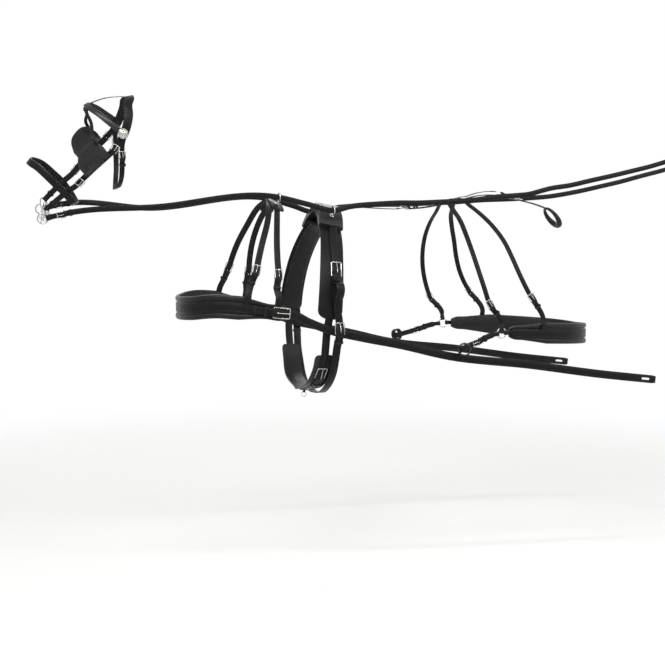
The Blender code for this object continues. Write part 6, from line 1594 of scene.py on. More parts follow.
def tree_rows():
    """The near half of the tree: run, half width, inner face, outer face."""
    rows = []
    for turn, inner, outer in zip(TREE_TURNS, TREE_INNER_SHARES, TREE_OUTER_SHARES):
        run = flap_side.nearest(trunk.point(FLAP_TURNS[0][0], turn)) if turn else 0.0
        low = max(inner * SEAT_RISE, FLAP_OUT + GAP)
        rows.append((run, SEAT_LENGTH / 2, low, max(outer * SEAT_RISE, low + FLAP_LEATHER)))
    return rows


def saddle_seat():
    """Where the near saddle terret stands, and the way it points, square to the tree."""
    run = flap_side.nearest(trunk.point(FLAP_TURNS[0][0], SADDLE_TERRET_TURN))
    rows = tree_rows()
    spots = []
    for at in (run - TERRET_STEM, run, run + TERRET_STEM):
        high = np.interp(at, [row[0] for row in rows], [row[3] for row in rows])
        spots.append(flap_side.place(at, 0, high))
    out = unit(np.cross(trunk.along, spots[2] - spots[0]))
    out = out if out @ trunk.up > 0 else -out
    return spots[1] + SLACK * out, out


print("near terrets at", neck_seat()[0].round(3), "and", saddle_seat()[0].round(3))

# %% [markdown]
# The reins start in a buckled fold round each bit ring. They run through the terrets of the neck
# strap and of the saddle, standing on edge, and on to where they are held. A strip of cloth could
# be hung through the rings, but a rein that is held is almost straight, so a smooth line through
# the middles of the rings is closer to it and is the same each time.

# %% Reins
REIN_SHARES = (
    (0.3788, 0.371, 0.0857), (0.4511, 0.323, 0.1043), (0.4989, 0.313, 0.1114),
    (0.5489, 0.306, 0.1129), (0.5995, 0.290, 0.1200),
)
NEAR_HAND_SHARES = (
    (0.6767, 0.274, 0.1323), (0.7527, 0.274, 0.1580), (0.7913, 0.274, 0.1651),
    (0.8305, 0.274, 0.1764), (0.8565, 0.274, 0.1943), (0.8826, 0.274, 0.2114),
    (0.9359, 0.274, 0.2329), (0.9897, 0.274, 0.2643), (1.0440, 0.274, 0.2943),
    (1.0989, 0.274, 0.3271), (1.1549, 0.274, 0.3614), (1.1940, 0.274, 0.3900),
    (1.2419, 0.274, 0.4257),
)
FAR_HAND_SHARES = (
    (0.6767, 0.274, 0.1300), (0.7527, 0.274, 0.1457), (0.8180, 0.274, 0.1529),
    (0.8805, 0.274, 0.1620), (0.9351, 0.274, 0.1743), (0.9821, 0.274, 0.1936),
    (1.0185, 0.274, 0.2114), (1.0745, 0.274, 0.2429), (1.1315, 0.274, 0.2757),
    (1.1892, 0.274, 0.3143), (1.2476, 0.274, 0.3514), (1.2854, 0.274, 0.3771),
)
REIN_CHEEK_SHARES = (-0.0407, 0.2581, 0.0757)   # where a rein leaves the cheek for the neck
REIN_WAY = (-0.90, -0.435)                      # from the bit: along and up the head
REIN_TIP = 0.042
REIN_BUCKLE_AT = 0.066


def rein_line(sign):
    """The rein of one side: +1 is the near side. Its flat sides face outwards."""
    out = sign * head.near
    middle = bit_shift(ring_middle) + out * np.linalg.norm(ring_middle - bit_shift(ring_middle))
    back = unit(REIN_WAY[0] * head.along + REIN_WAY[1] * head.up)
    ring_point = middle + (BIT_RING_RADIUS - BIT_RING_WIRE * 0.3) * back
    after = ring_point + REIN_BUCKLE_AT * back
    places = [ring_point, (ring_point + after) / 2, after]
    free = [on_trunk(*REIN_CHEEK_SHARES), terret_centre(*neck_seat()), terret_centre(*saddle_seat())]
    free.insert(2, (free[1] + free[2]) / 2)
    shares = REIN_SHARES + (NEAR_HAND_SHARES if sign > 0 else FAR_HAND_SHARES)
    free += [on_trunk(*share) for share in shares]
    places += [place * np.array([1, sign, 1]) for place in free]
    outs = [out, out, (out + sign * OUTWARD) / 2] + [sign * OUTWARD] * len(free)
    dense = evenly(np.hstack([np.array(places), np.array(outs)]), LAY_STEP)
    return Line(*thinned(dense[:, :3], dense[:, 3:], BEND / 2))


for side_name, side_sign in (("left", 1), ("right", -1)):
    rein = rein_line(side_sign)
    rein_half = REIN_WIDTH / 2
    rein_buckle = Buckle(rein, REIN_BUCKLE_AT, -1, rein_half, REIN_BUCKLE)
    rein_eye = ring_fold(
        0.0, -1, rein_half, LEATHER, BIT_RING_WIRE, LEATHER / 2, BIT_RING_WIRE * 0.56
    )
    shapes = [
        slab(rein, rein_buckle.chape_rows() + [(rein.length, rein_half, 0, LEATHER)]),
        slab(rein, rein_eye + rein_buckle.billet_rows(REIN_TIP, LAY + BITE)),
        rein_buckle.loop(REIN_BUCKLE * 0.9), rein_buckle.chape_seam(),
    ]
    dress(f"rein_{side_name}", shapes)
    dress(f"rein_buckle_{side_name}", [rein_buckle.frame(), rein_buckle.tongue()])

# %% [markdown]
# The breast collar takes the pull. It is a padded band with two stuffed rolls and a channel between
# them, where the face strap lies that carries the trace buckles. Rolls this narrow would melt
# together in a cloth simulation, so their section is drawn and swept along the draught line.

# %% The draught line and the collar's pad
COLLAR_BACK = 0.215       # the collar's rear end ahead of the saddle
COLLAR_RISE_SHARES = ((0, -0.491), (25, -0.483), (45, -0.469), (65, -0.478), (90, -0.514))
TRACE_SHARES = (
    (0.2582, 0.8548, -0.56), (0.3055, 0.8726, -0.6093), (0.3723, 0.9258, -0.6514),
    (0.4533, 0.9935, -0.6943), (0.5652, 1.0435, -0.7657), (0.7565, 1.0903, -0.8314),
    (0.9343, 1.110, -0.9029), (1.0805, 1.125, -0.9514),
)


def band(reach, half_width, fullness, sense, end, rise_shares, turns):
    """Places and directions of a band round the chest or the buttocks, from its middle."""
    places, outs = [], []
    angles = [row[0] for row in rise_shares]
    heights = [row[1] for row in rise_shares]
    for turn in turns:
        ahead, aside = math.cos(math.radians(turn)), math.sin(math.radians(turn))
        ahead, aside = max(ahead, 0.0), max(aside, 0.0)
        x = end + sense * reach * ahead ** (2 / fullness)
        y = -half_width * aside ** (2 / fullness)
        places.append(np.array([x, y, smooth(angles, heights, turn) * BODY_DEPTH]))
        power = 2 - 2 / fullness
        outs.append(unit(np.array([sense * ahead**power / reach, -aside**power / half_width, 0])))
    return places, outs


BAND_TURNS = (0, 4, 9, 16, 25, 35, 46, 58, 70, 80, 86, 90)
collar_places, collar_outs = band(
    COLLAR_REACH - COLLAR_PAD, COLLAR_HALF_WIDTH, COLLAR_FULLNESS, -1, -COLLAR_BACK,
    COLLAR_RISE_SHARES, BAND_TURNS,
)
trace_places = [on_trunk(*shares) for shares in TRACE_SHARES]

draught = freely(collar_places + trace_places, collar_outs + [OUTWARD] * len(trace_places))
draught_over = draught.over
DRAUGHT_MIDDLE = draught.side.length
COLLAR_END_SHARES = (0.2174, 0.8516, -0.5143)
COLLAR_END = DRAUGHT_MIDDLE - draught.side.nearest(on_trunk(*COLLAR_END_SHARES))
FACE_SEAT_SHARE = 0.62    # the channel of a pad, beside its rolls
PAD_END_SHARE = 0.575     # a pad's thin ends, beside its middle
FACE_LOW = COLLAR_PAD * FACE_SEAT_SHARE + GAP
TRACE_BAR_AT = COLLAR_END + TRACE_BUCKLE * 1.1
TRACE_TIP = 0.082
TRACE_SHARE_OF_FACE = 0.94


def roll_profile():
    """The section of a pad with two rolls: shares of the half width and of the thickness."""
    right = [(0.90, 0.0), (0.975, 0.10), (1.0, 0.28), (0.995, 0.50)]
    for turn in range(10, 181, 17):
        angle = math.radians(turn)
        right.append((0.755 + 0.235 * math.cos(angle), 0.60 + 0.40 * math.sin(angle)))
    right += [(0.49, FACE_SEAT_SHARE - 0.02), (0.46, FACE_SEAT_SHARE - 0.035), (0.42, FACE_SEAT_SHARE)]
    return right + [(-across, rise) for across, rise in right[::-1]]


PAD_SHARES = roll_profile()


def roll_pad(line, end, half, thick, waist):
    """A pad with two rolls, thin at its ends. Waist: where it starts to widen, and its width there."""
    thin = thick * PAD_END_SHARE
    spots = ((0.0, 0.42, thin), (0.3, 0.56, thin), (*waist, thin), (4.2, 1.0, thick))
    rows = [(end + half * back, half * wide, 0, high) for back, wide, high in spots]
    return padded(line, sorted(both_ends(line, eased(rows, 25))), PAD_SHARES)


trace_buckle = Buckle(
    draught_over, TRACE_BAR_AT, -1, TRACE_WIDTH * TRACE_SHARE_OF_FACE / 2, TRACE_BUCKLE,
    FACE_LOW, FACE_THICKNESS, LINED, LARGE_WIRE,
)
dress("collar_pad", [roll_pad(draught_over, COLLAR_END, COLLAR_HEIGHT / 2, COLLAR_PAD, (2.0, 0.66))])

# %% [markdown]
# The neck strap holds the collar up. On each side it divides into two branches, and each is buckled
# to a short tug that is sewn to the face strap. The stiff pad on its top carries the two neck
# terrets, which can swivel a little. The branches could be laid on the skin alone, but they also
# cross the collar's pad, so their last places are taken from the collar's own line.

# %% Neck strap, face strap and neck terrets
NECK_LIFT = 0.001
NECK_SPLIT_SHARE = (NECK_WIDTH / 2 + SLACK / 2) / BODY_LENGTH
FRONT_FORK_TURNS = ((0.198, 25), (0.1833, 42), (0.1662, 56), (0.1552, 65.4), (0.1504, 70), (0.138, 77))
REAR_FORK_TURNS = (
    (0.2163, 22.8), (0.2057, 40.6), (0.2000, 52), (0.1977, 61.6), (0.1975, 68.4), (0.1926, 76),
)
FRONT_FOOT_SHARES = (0.12774, 0.80645, -0.47143)
REAR_FOOT_SHARES = (0.19133, 0.83871, -0.48571)


def onto_face(line, run, height, over, inner):
    """Places of a strap that comes down over a pad and is sewn to its face strap."""
    half = FACE_WIDTH / 2
    spots = (
        (height * 0.62, over * 0.75), (height * 0.42, over), (half * 1.25, over), (half * 0.45, inner),
    )
    return [line.place(run, across, out) for across, out in spots]


def fork_line(top_share, rows, foot, over):
    """A branch of the neck strap, from the top of the neck down over the pad to the face strap."""
    run = draught_over.nearest(foot)
    rows = [(top_share, 0), *rows]
    places = [trunk.lifted(share, turn, NECK_LIFT) for share, turn in rows]
    outs = [trunk.normal(share, turn) for share, turn in rows]
    down = onto_face(draught_over, run, COLLAR_HEIGHT, over, FACE_LOW + GAP)
    out = draught_over.place(run, 0, 1) - draught_over.place(run, 0, 0)
    return freely(places + down, outs + [out] * len(down))


front_fork = fork_line(
    NECK_TOP_SHARE - NECK_SPLIT_SHARE, FRONT_FORK_TURNS, on_trunk(*FRONT_FOOT_SHARES),
    COLLAR_PAD + SLACK,
)
rear_fork = fork_line(
    NECK_TOP_SHARE + NECK_SPLIT_SHARE, REAR_FORK_TURNS, on_trunk(*REAR_FOOT_SHARES), FACE_LOW + GAP
)


def fork_buckle(fork, place):
    run = fork.over.nearest(place) - NECK_BUCKLE / 2
    return Buckle(fork.over, run, 1, NECK_WIDTH / 2 - BITE - GAP, NECK_BUCKLE)


front_buckle = fork_buckle(front_fork, trunk.lifted(0.1504, 70, 0))
rear_buckle = fork_buckle(rear_fork, trunk.lifted(0.1978, 68.4, 0))


def make_collar_face():
    """The collar's face strap, with the short tugs that the neck strap buckles to."""
    rows = both_ends(draught_over, trace_buckle.chape_rows())
    start = trace_buckle.run + 3 * trace_buckle.fold
    shapes = [slab(draught_over, rows), seam(draught_over, rows, start, draught_over.length - start)]
    shapes += both_sides([trace_buckle.loop(TRACE_BUCKLE * 0.55), trace_buckle.loop(TRACE_TIP * 0.86)])
    for catch in (front_buckle, rear_buckle):
        thin = (catch.chape_half, 0, LEATHER * 0.54)
        tug = slab(catch.line, [(GAP, *thin), (FACE_WIDTH * 0.45, *thin)] + catch.chape_rows())
        shapes += both_sides([tug] + catch.fittings(NECK_BUCKLE))
    dress("collar_face", shapes)


def make_neck_strap():
    """The neck strap: its stiff top and its two branches on each side."""
    half, tip = NECK_WIDTH + SLACK, NECK_WIDTH * 1.7
    wide = (half, -LEATHER * 0.2, NECK_PAD)
    start, end = half * 0.5, neck_top.length - half * 0.5
    rows = both_ends(neck_top, [(0.0, half * 0.8, LEATHER * 0.8, NECK_PAD * 0.9), (start, *wide)])
    shapes = [slab(neck_top, rows), seam(neck_top, [(start, *wide), (end, *wide)], start, end)]
    for catch, fork in ((front_buckle, front_fork), (rear_buckle, rear_fork)):
        shapes.append(slab(fork.over, both_ends(fork.over, catch.billet_rows(tip))))
        shapes += both_sides(catch.holes(tip))
    dress("neck_strap", shapes)


make_collar_face()
make_neck_strap()
dress_pair("neck_terret", terret(*neck_seat(), trunk.along))

# %% [markdown]
# A trace is a long doubled strap from its buckle on the collar to what the harness pulls. Its end
# has a slot for the hook. The slot could be a gap between two strips, but a real one is punched, so
# a boolean cuts it. The large buckle's tongue can be lifted by itself, so it is a piece of its own.

# %% Traces
def carved(shape, cutter):
    """A shape with another cut out of it."""
    solid, tool = piece("carved_shape", [shape], "leather"), piece("carving_tool", [cutter], "leather")
    cut = solid.modifiers.new("cut", "BOOLEAN")
    cut.operation = "DIFFERENCE"
    cut.solver = "EXACT"
    cut.object = tool
    mesh = solid.evaluated_get(bpy.context.evaluated_depsgraph_get()).to_mesh()
    corners = np.array([tuple(vertex.co) for vertex in mesh.vertices])
    faces = [tuple(polygon.vertices) for polygon in mesh.polygons]
    for scrap in (solid, tool):
        bpy.data.objects.remove(scrap, do_unlink=True)
    return corners, faces, shape[2]


def slot_shape(line, start, end, half_slot, low, high):
    """What a punch with round ends cuts out of a strap."""
    outline = []
    for middle, first in ((end - half_slot, 90), (start + half_slot, 270)):
        for k in range(13):
            turn = math.radians(first - 15 * k)
            outline.append((middle + half_slot * math.cos(turn), half_slot * math.sin(turn)))
    return loft([[line.place(run, across, rise) for run, across in outline] for rise in (low, high)])


def make_traces():
    line, half = draught_over, trace_buckle.half
    thick = (FACE_LOW, FACE_LOW + LINED)
    spots = ((0.0, half * 0.9), (half, TRACE_WIDTH / 2), (TRACE_SLOT * 3, TRACE_WIDTH / 2))
    rows = [(run, wide, *thick) for run, wide in spots] + trace_buckle.billet_rows(TRACE_TIP)
    slot = slot_shape(
        line, TRACE_SLOT * 0.7, TRACE_SLOT * 1.7, half * 0.28, FACE_LOW - LINED, FACE_LOW + 2 * LINED
    )
    shapes = [carved(slab(line, rows), slot)]
    shapes += [seam(line, rows, TRACE_SLOT * 0.5, trace_buckle.front), *trace_buckle.holes(TRACE_TIP)]
    dress_pair("trace", shapes)
    dress_pair("trace_buckle", [trace_buckle.frame()])
    dress_pair("trace_buckle_tongue", trace_buckle.loose_tongue()[::-1])


make_traces()

# %% [markdown]
# The driving saddle carries the weight that hangs in the tugs. Its arched tree stands clear of the
# spine on two flaps, each with a stuffed pad. The backband runs over it through a slot. The saddle
# could be modelled flat and bent afterwards, but its parts have to meet at buckles, so all of them
# are laid on two lines from the start: one for the flap and the girth, and one for the backband.

# %% Lines of the saddle
FLAP_TOP = flap_side.nearest(trunk.point(0.336, 13))
FLAP_END = flap_side.nearest(trunk.point(0.3034, 92))
GIRTH_PAD = 0.007
GIRTH_BAR_AT = flap_side.nearest(trunk.point(0.295, 138))
GIRTH_PAD_AT = flap_side.nearest(trunk.point(0.298, 116))
HANG_TOP_SHARE = 0.342
HANG_BODY_TURNS = (       # turn, share of the body, lift beside the seat's rise
    (10, 0.342, 0.68), (18, 0.3415, 0.55), (25, 0.3395, 0.37), (31, 0.335, 0.28),
    (38.5, 0.3296, 0.265), (57, 0.3245, 0.265), (66, 0.3216, 0.265),
)
SHAFT_LOOP_TURNS = (108, 74, 38, 0, -38)
SHAFT_SHARES = (0.3180, -0.379)
TAIL_SHARES = (
    (0.3180, 0.968, -0.457), (0.3190, 0.946, -0.500), (0.3222, 0.950, -0.553),
    (0.3228, 0.965, -0.628),
)
HANG_BELLY_TURNS = (      # share of the body, turn, lift beside the seat's rise
    (0.3212, 108, 0.31), (0.3199, 118.4, 0.30), (0.3199, 129, 0.275), (0.318, 142, 0.25),
    (0.316, 160, 0.21), (0.316, 180, 0.18),
)


def shaft_places():
    """Places of the tug's outer layer, from its inner top round to its outer underside."""
    along, up = SHAFT_SHARES
    middle = trunk.local(along * BODY_LENGTH, up * BODY_DEPTH, SHAFT_SPREAD)
    radius = SHAFT_SPACE / 2 + SLACK / 3
    places = []
    for turn in SHAFT_LOOP_TURNS:
        out, rise = math.cos(math.radians(turn)), math.sin(math.radians(turn))
        way = out * trunk.near + rise * trunk.up
        places.append((middle + radius * way, way))
    return middle, places


def hang_half():
    """The backband's line over the saddle and round the tug's opening, then the bellyband's."""
    places = [trunk.lifted(HANG_TOP_SHARE, 0, SEAT_RISE * 0.74)]
    outs = [trunk.normal(HANG_TOP_SHARE, 0)]
    level = np.array([0, 1, 1])
    for turn, share, lift in HANG_BODY_TURNS:
        places.append(trunk.lifted(share, turn, lift * SEAT_RISE))
        outs.append(unit(trunk.normal(share, turn) * level))
    for place, out in shaft_places()[1]:
        places.append(place)
        outs.append(out)
    for along, out, up in TAIL_SHARES:
        places.append(on_trunk(along, out, up))
        outs.append(OUTWARD)
    for share, turn, lift in HANG_BELLY_TURNS:
        places.append(trunk.lifted(share, turn, lift * SEAT_RISE))
        outs.append(unit(trunk.normal(share, turn) * level))
    return freely(places, outs)


hang = hang_half()
TUG_BAR_AT = hang.side.nearest(trunk.lifted(0.3223, 66, FLAP_OUT + SLACK))
BELLY_BAR_AT = hang.side.nearest(on_trunk(*TAIL_SHARES[-1]))

tug_buckle = Buckle(
    hang.side, TUG_BAR_AT, -1, BACKBAND_WIDTH / 2, TUG_BUCKLE, 0, LINED, LINED, LARGE_WIRE
)
belly_buckle = Buckle(hang.side, BELLY_BAR_AT, -1, BELLY_WIDTH / 2 - BITE, BELLY_BUCKLE)
girth_buckle = Buckle(
    flap_side, GIRTH_BAR_AT, -1, GIRTH_BILLET / 2, GIRTH_BUCKLE, low=GIRTH_PAD + GAP
)


def dee_place():
    return np.array([SEAT_LENGTH / 2 + DEE_REACH, 0, SEAT_RISE * 0.70])


print("half a girth line", round(flap_side.length, 3), "m, half a backband line",
      round(hang.side.length, 3), "m")

# %% [markdown]
# The tree is the saddle's stiff arch, covered with patent leather. Its slot could be left out,
# since the backband hides most of it, but the band has to pass through something, so a boolean cuts
# the tunnel along the band's own bent line. The flaps are thick leather with a stuffed pad sewn
# underneath. The pad's bulging section is swept, because it is too thin for a simulation.

# %% Tree, terrets and flaps
def seat_profile():
    """The tree's section across its length: a flat seat with rounded, slightly rolled edges."""
    right = [(1.0, 0.0), (1.0, 0.35)]
    for turn in range(0, 91, 10):
        angle = math.radians(turn)
        right.append((0.80 + 0.20 * math.cos(angle), 0.55 + 0.47 * math.sin(angle)))
    right += [(0.70, 1.0), (0.40, 0.985), (0.15, 0.98)]
    return right + [(-across, rise) for across, rise in right[::-1]]


def rounded_open(path):
    ends = [np.array(point, float) for point in (path[0], path[-1])]
    return [ends[0], *evenly(path[1:-1], SMALL_WIRE).tolist(), ends[1]]


def make_saddle_tree():
    """The arched tree with its patent seat, a slot for the backband and a dee for the backstrap."""
    rows = eased(sorted(over_rows(flap_half, tree_rows())), 61)
    tree = padded(flap_half.over, rows, seat_profile(), "leather")
    slot_half = BACKBAND_WIDTH / 2 + 2 * GAP
    reach = hang.side.nearest(trunk.lifted(0.333, 34, FLAP_OUT))
    middle = hang.side.length
    tunnel = block(hang.over, middle - reach, middle + reach, slot_half, -2 * GAP, LINED + 2 * GAP)
    wide = BACKSTRAP_WIDTH / 2 + SMALL_WIRE
    front, (rear, _, height) = SEAT_LENGTH * 0.35, dee_place()
    path = [(front, -wide, height), (rear, -wide, height), (rear, wide, height), (front, wide, height)]
    dress("saddle_tree", [carved(tree, tunnel), tube(rounded_open(path), SMALL_WIRE / 2)], "patent")


def stuffed_shares(top):
    """The section of a stuffed pad under a flap, with sides that bulge."""
    right = [(0.80, 0.0), (0.92, 0.08), (0.98, 0.25), (1.0, 0.5), (0.98, 0.8), (0.95, top)]
    return right + [(-across, rise) for across, rise in right[::-1]]


PAD_END_SHARES = (        # back from the end, half width, thickness
    (0.0, 0.70, 0.50), (0.03, 0.77, 0.80), (0.08, 0.84, 0.93), (0.16, 0.91, 0.98), (0.28, 0.96, 1.0),
    (0.5, 1.0, 1.0),
)
FLAP_END_SHARES = ((0.0, 0.42), (0.10, 0.66), (0.28, 0.87), (0.60, 1.0))    # back, half width


def pad_end(end, sense, half, thick):
    """Rows of a stuffed pad's rounded end. Sense: 1 where the pad runs on from it, -1 where it ends."""
    return [
        (end + sense * half * back, half * wide, 0, thick * full) for back, wide, full in PAD_END_SHARES
    ]


def make_saddle_flaps():
    """A flap with its pad sewn under it, and the girth billet."""
    half, tip = FLAP_WIDTH / 2, GIRTH_BILLET * 1.4
    pad_half = half * 0.78
    rounded_end = pad_end(FLAP_END - pad_half * 0.25, -1, pad_half, FLAP_PAD)[::-1]
    pad_rows = [(FLAP_TOP, pad_half * 0.9, 0, FLAP_PAD)] + rounded_end
    pad = padded(flap_side, pad_rows, stuffed_shares(1 + FLAP_LEATHER / 2 / FLAP_PAD))
    rows = [(FLAP_END - half * back, half * wide, FLAP_PAD, FLAP_OUT) for back, wide in FLAP_END_SHARES]
    rows = [(FLAP_TOP, half * 0.9, FLAP_PAD, FLAP_OUT)] + eased(sorted(rows), 15)
    low = FLAP_PAD - LEATHER
    sewn = [
        (FLAP_END - half * 1.6, GIRTH_BILLET / 2, low, FLAP_PAD + FLAP_LEATHER / 2),
        (FLAP_END, GIRTH_BILLET / 2, low, low + LEATHER),
    ]
    shapes = [
        slab(flap_side, rows), pad, slab(flap_side, sewn + girth_buckle.billet_rows(tip)),
        seam(flap_side, rows, FLAP_TOP, FLAP_END - half * 0.1), *girth_buckle.holes(tip),
    ]
    dress_pair("saddle_flap", shapes)


make_saddle_tree()
dress_pair("saddle_terret", terret(*saddle_seat(), trunk.along))
make_saddle_flaps()

# %% [markdown]
# The backband carries a large buckle on each side, and below it the tug: two layers that part to
# leave a round opening, and come together again in a tail for the bellyband's buckle. The tug could
# be a closed ring between two straps, but a real one is two layers that are sewn together above and
# below the opening, so it is two lofts. The girth is wide and padded, as it lies next to the skin.

# %% Backband, tugs, bellyband and girth
def make_backband():
    tip = BACKBAND_WIDTH * 1.5
    rows = over_rows(hang, tug_buckle.billet_rows(tip))
    middle, reach = hang.side.length, tug_buckle.run - TUG_BUCKLE
    sewn = seam(hang.over, rows, middle - reach, middle + reach)
    dress("backband", [slab(hang.over, rows), sewn] + both_sides(tug_buckle.holes(tip)))
    dress_pair("tug_buckle", [tug_buckle.frame()])
    dress_pair("tug_buckle_tongue", tug_buckle.loose_tongue())


def make_tugs():
    """A tug: two layers that part round its opening, and an end down to the bellyband."""
    upper, lower, tip = tug_buckle, belly_buckle, BELLY_WIDTH * 1.6
    rows = upper.chape_rows() + lower.billet_rows(tip)
    start = hang.side.place(upper.run + 2.6 * upper.fold, 0, LINED * 0.1)
    end = hang.side.place(hang.side.nearest(on_trunk(*TAIL_SHARES[1])), 0, LEATHER * 0.2)
    inside = shaft_places()[0] - SHAFT_SPACE / 2 * trunk.near
    drop = SHAFT_SPACE / 2 * trunk.up
    places = [start, inside + 0.75 * drop, inside, inside - 0.9 * drop, end]
    line = freely(places, [OUTWARD] * 5).side
    half = BACKBAND_WIDTH / 2 * 0.94
    shapes = [
        slab(hang.side, rows), block(line, 0.0, line.length, half, 0, LEATHER, "leather"),
        seam(hang.side, rows, upper.run + 3 * upper.fold, lower.front),
    ]
    dress_pair("tug", shapes + lower.holes(tip))


def make_bellyband():
    buckle = belly_buckle
    band = slab(hang.under, both_ends(hang.under, buckle.chape_rows()))
    dress("bellyband", [band] + both_sides([buckle.loop(BELLY_BUCKLE * 0.8), buckle.chape_seam()]))
    dress_pair("bellyband_buckle", [buckle.frame(), buckle.tongue()])


def make_girth():
    """The girth: a wide padded band, the straps that carry its buckles, and a tab for its ring."""
    buckle, line = girth_buckle, flap_half.under
    pad_rows = both_ends(line, pad_end(GIRTH_PAD_AT, 1, GIRTH_WIDTH / 2, GIRTH_PAD))
    strap_rows = both_ends(line, buckle.chape_rows(GAP + BITE))
    middle, start = line.length / 2, buckle.run + 3 * buckle.fold
    hole = GIRTH_RING_WIRE / 2 + 2 * GAP + GIRTH_RING_WIRE * 0.38
    centre = GIRTH_PAD + LEATHER + FOLD_WALL + hole
    foot = GIRTH_PAD + LEATHER - BITE
    reach, top = 1.6 * hole, centre + hole + FOLD_WALL
    shapes = [
        padded(line, sorted(pad_rows), stuffed_shares(1.0)), slab(line, strap_rows),
        block(line, middle - reach, middle + reach, 1.5 * GIRTH_RING_WIRE, foot, top),
        seam(line, strap_rows, start, line.length - start),
    ]
    dress("girth", shapes + both_sides([buckle.loop(GIRTH_BUCKLE * 0.9)]))
    dress_pair("girth_buckle", [buckle.frame(), buckle.tongue()])
    place = line.place(middle, 0, centre + GIRTH_RING_RADIUS)
    dress("girth_ring", [ring_shape(place, (0, 1, 0), GIRTH_RING_RADIUS, GIRTH_RING_WIRE)])


make_backband()
make_tugs()
make_bellyband()
make_girth()

# %% [markdown]
# The breeching is the brake: a padded band round the haunches, like the collar's in section. A ring
# at each end joins it to the loin strap above and to the holdback strap in front. The band could be
# laid on the haunches, but it hangs clear of them, so it follows a curve of its own.

# %% Lines of the breeching
BREECH_FRONT = 0.680
BREECH_RISE_SHARES = ((0, -0.693), (45, -0.675), (90, -0.648))
HOLD_SHARES = (
    (0.6892, 1.01049123, -0.6536), (0.6700, 1.03507368, -0.6630), (0.6413, 1.07716842, -0.6900),
    (0.6114, 1.12981404, -0.7130), (0.5854, 1.19997193, -0.7343),
)
breech_places, breech_outs = band(
    BREECH_REACH, BREECH_HALF_WIDTH, BREECH_FULLNESS, 1, BREECH_FRONT, BREECH_RISE_SHARES, BAND_TURNS
)


def on_breech(along, out, up):
    """A place beside the breeching. Shares of the body's length, half the breeching, the depth."""
    return trunk.local(along * BODY_LENGTH, up * BODY_DEPTH, out * BREECH_HALF_WIDTH)


hold_places = [on_breech(*shares) for shares in HOLD_SHARES]
breech = freely(breech_places + hold_places, breech_outs + [OUTWARD] * len(hold_places))
breech_side = breech.side
BREECH_FACE_LOW = BREECH_PAD * FACE_SEAT_SHARE + GAP
BREECH_RING_OUT = BREECH_FACE_LOW + FACE_THICKNESS / 2
BREECH_RING_SHARES = (0.70274, 0.99999474, -0.65429)
BREECH_RING_AT = breech_side.nearest(on_breech(*BREECH_RING_SHARES))
ring_place = breech_side.place(BREECH_RING_AT, 0, BREECH_RING_OUT)
ring_axis = unit(breech_side.place(BREECH_RING_AT, 0, 1) - ring_place)
ring_up = unit(breech_side.place(BREECH_RING_AT, 1, BREECH_RING_OUT) - ring_place)
RING_EYE_HALF = BREECH_RING_RADIUS * 0.42
RING_SWELL = RING_EYE_HALF**2 / (2 * BREECH_RING_RADIUS) + SLACK / 2 + GAP
LOIN_FOOT_SHARES = (0.80818, 0.98000246, -0.65714)   # where the rear loin strap meets the breeching
LOIN_LIFT = 0.001
BACK_SHARES = (           # share of the body, lift beside the seat's rise
    (0.425, 0.83), (0.473, 0.68), (0.522, 0.47), (0.572, 0.25), (0.597, 0.18), (0.622, 0.13),
    (0.647, 0.095), (0.672, 0.08), (0.724, 0.08), (0.776, 0.08), (0.802, 0.08), (0.828, 0.13),
    (0.8545, 0.24), (0.880, 0.31), (0.892, 0.36),
)
BACKSTRAP_THICKNESS = 0.004
LOIN_ROOM = 0.0047        # between the backstrap and a loin strap that crosses it
BACK_TIP_SHARE = 0.7658   # where the free tip of the backstrap's billet ends
FRONT_LOIN_SHARE, REAR_LOIN_SHARE = 0.637, 0.668


def back_lift(share):
    """How far the backstrap's inner face stands off the back."""
    return np.interp(share, *zip(*BACK_SHARES)) * SEAT_RISE


def loin_over(share):
    return back_lift(share) + BACKSTRAP_THICKNESS + LOIN_ROOM


HOLD_BAR_AT = breech_side.nearest(hold_places[2]) - SLACK
BREECH_PAD_END = BREECH_RING_AT - BREECH_RING_RADIUS * 1.9
FRONT_LOIN_TURNS = at_lift(loin_over(FRONT_LOIN_SHARE), (FRONT_LOIN_SHARE, 0), (0.636, 7)) + at_lift(
    LOIN_LIFT, (0.6345, 20), (0.6346, 32), (0.6350, 46.6), (0.6387, 58.8), (0.6458, 71),
    (0.6569, 83.7), (0.671, 95),
)
REAR_LOIN_TURNS = at_lift(loin_over(REAR_LOIN_SHARE), (REAR_LOIN_SHARE, 0), (0.670, 7)) + at_lift(
    LOIN_LIFT, (0.677, 20), (0.684, 29), (0.7022, 43.5), (0.7201, 56.2), (0.7326, 67),
    (0.748, 78.4), (0.7672, 89.8), (0.7765, 93.1),
)
ring_top = ring_place + BREECH_RING_RADIUS * ring_up - LEATHER / 2 * ring_axis


def on_skin(rows):
    """Places and directions of rows on the trunk."""
    return [trunk.lifted(*row) for row in rows], [trunk.normal(*row[:2]) for row in rows]


def loin_front_half():
    places, outs = on_skin(FRONT_LOIN_TURNS)
    places += [ring_top + BREECH_RING_RADIUS * 1.4 * ring_up, ring_top, ring_top - SLACK * ring_up]
    return freely(places, outs + [ring_axis] * 3)


def loin_rear_half():
    places, outs = on_skin(REAR_LOIN_TURNS)
    run = breech_side.nearest(on_breech(*LOIN_FOOT_SHARES))
    out = unit(breech_side.place(run, 0, 1) - breech_side.place(run, 0, 0))
    inner = BREECH_FACE_LOW + FACE_THICKNESS * 0.3
    down = onto_face(breech_side, run, BREECH_HEIGHT, BREECH_PAD + SLACK, inner)
    return freely(places + down, outs + [out] * len(down))


loin_front, loin_rear = loin_front_half(), loin_rear_half()


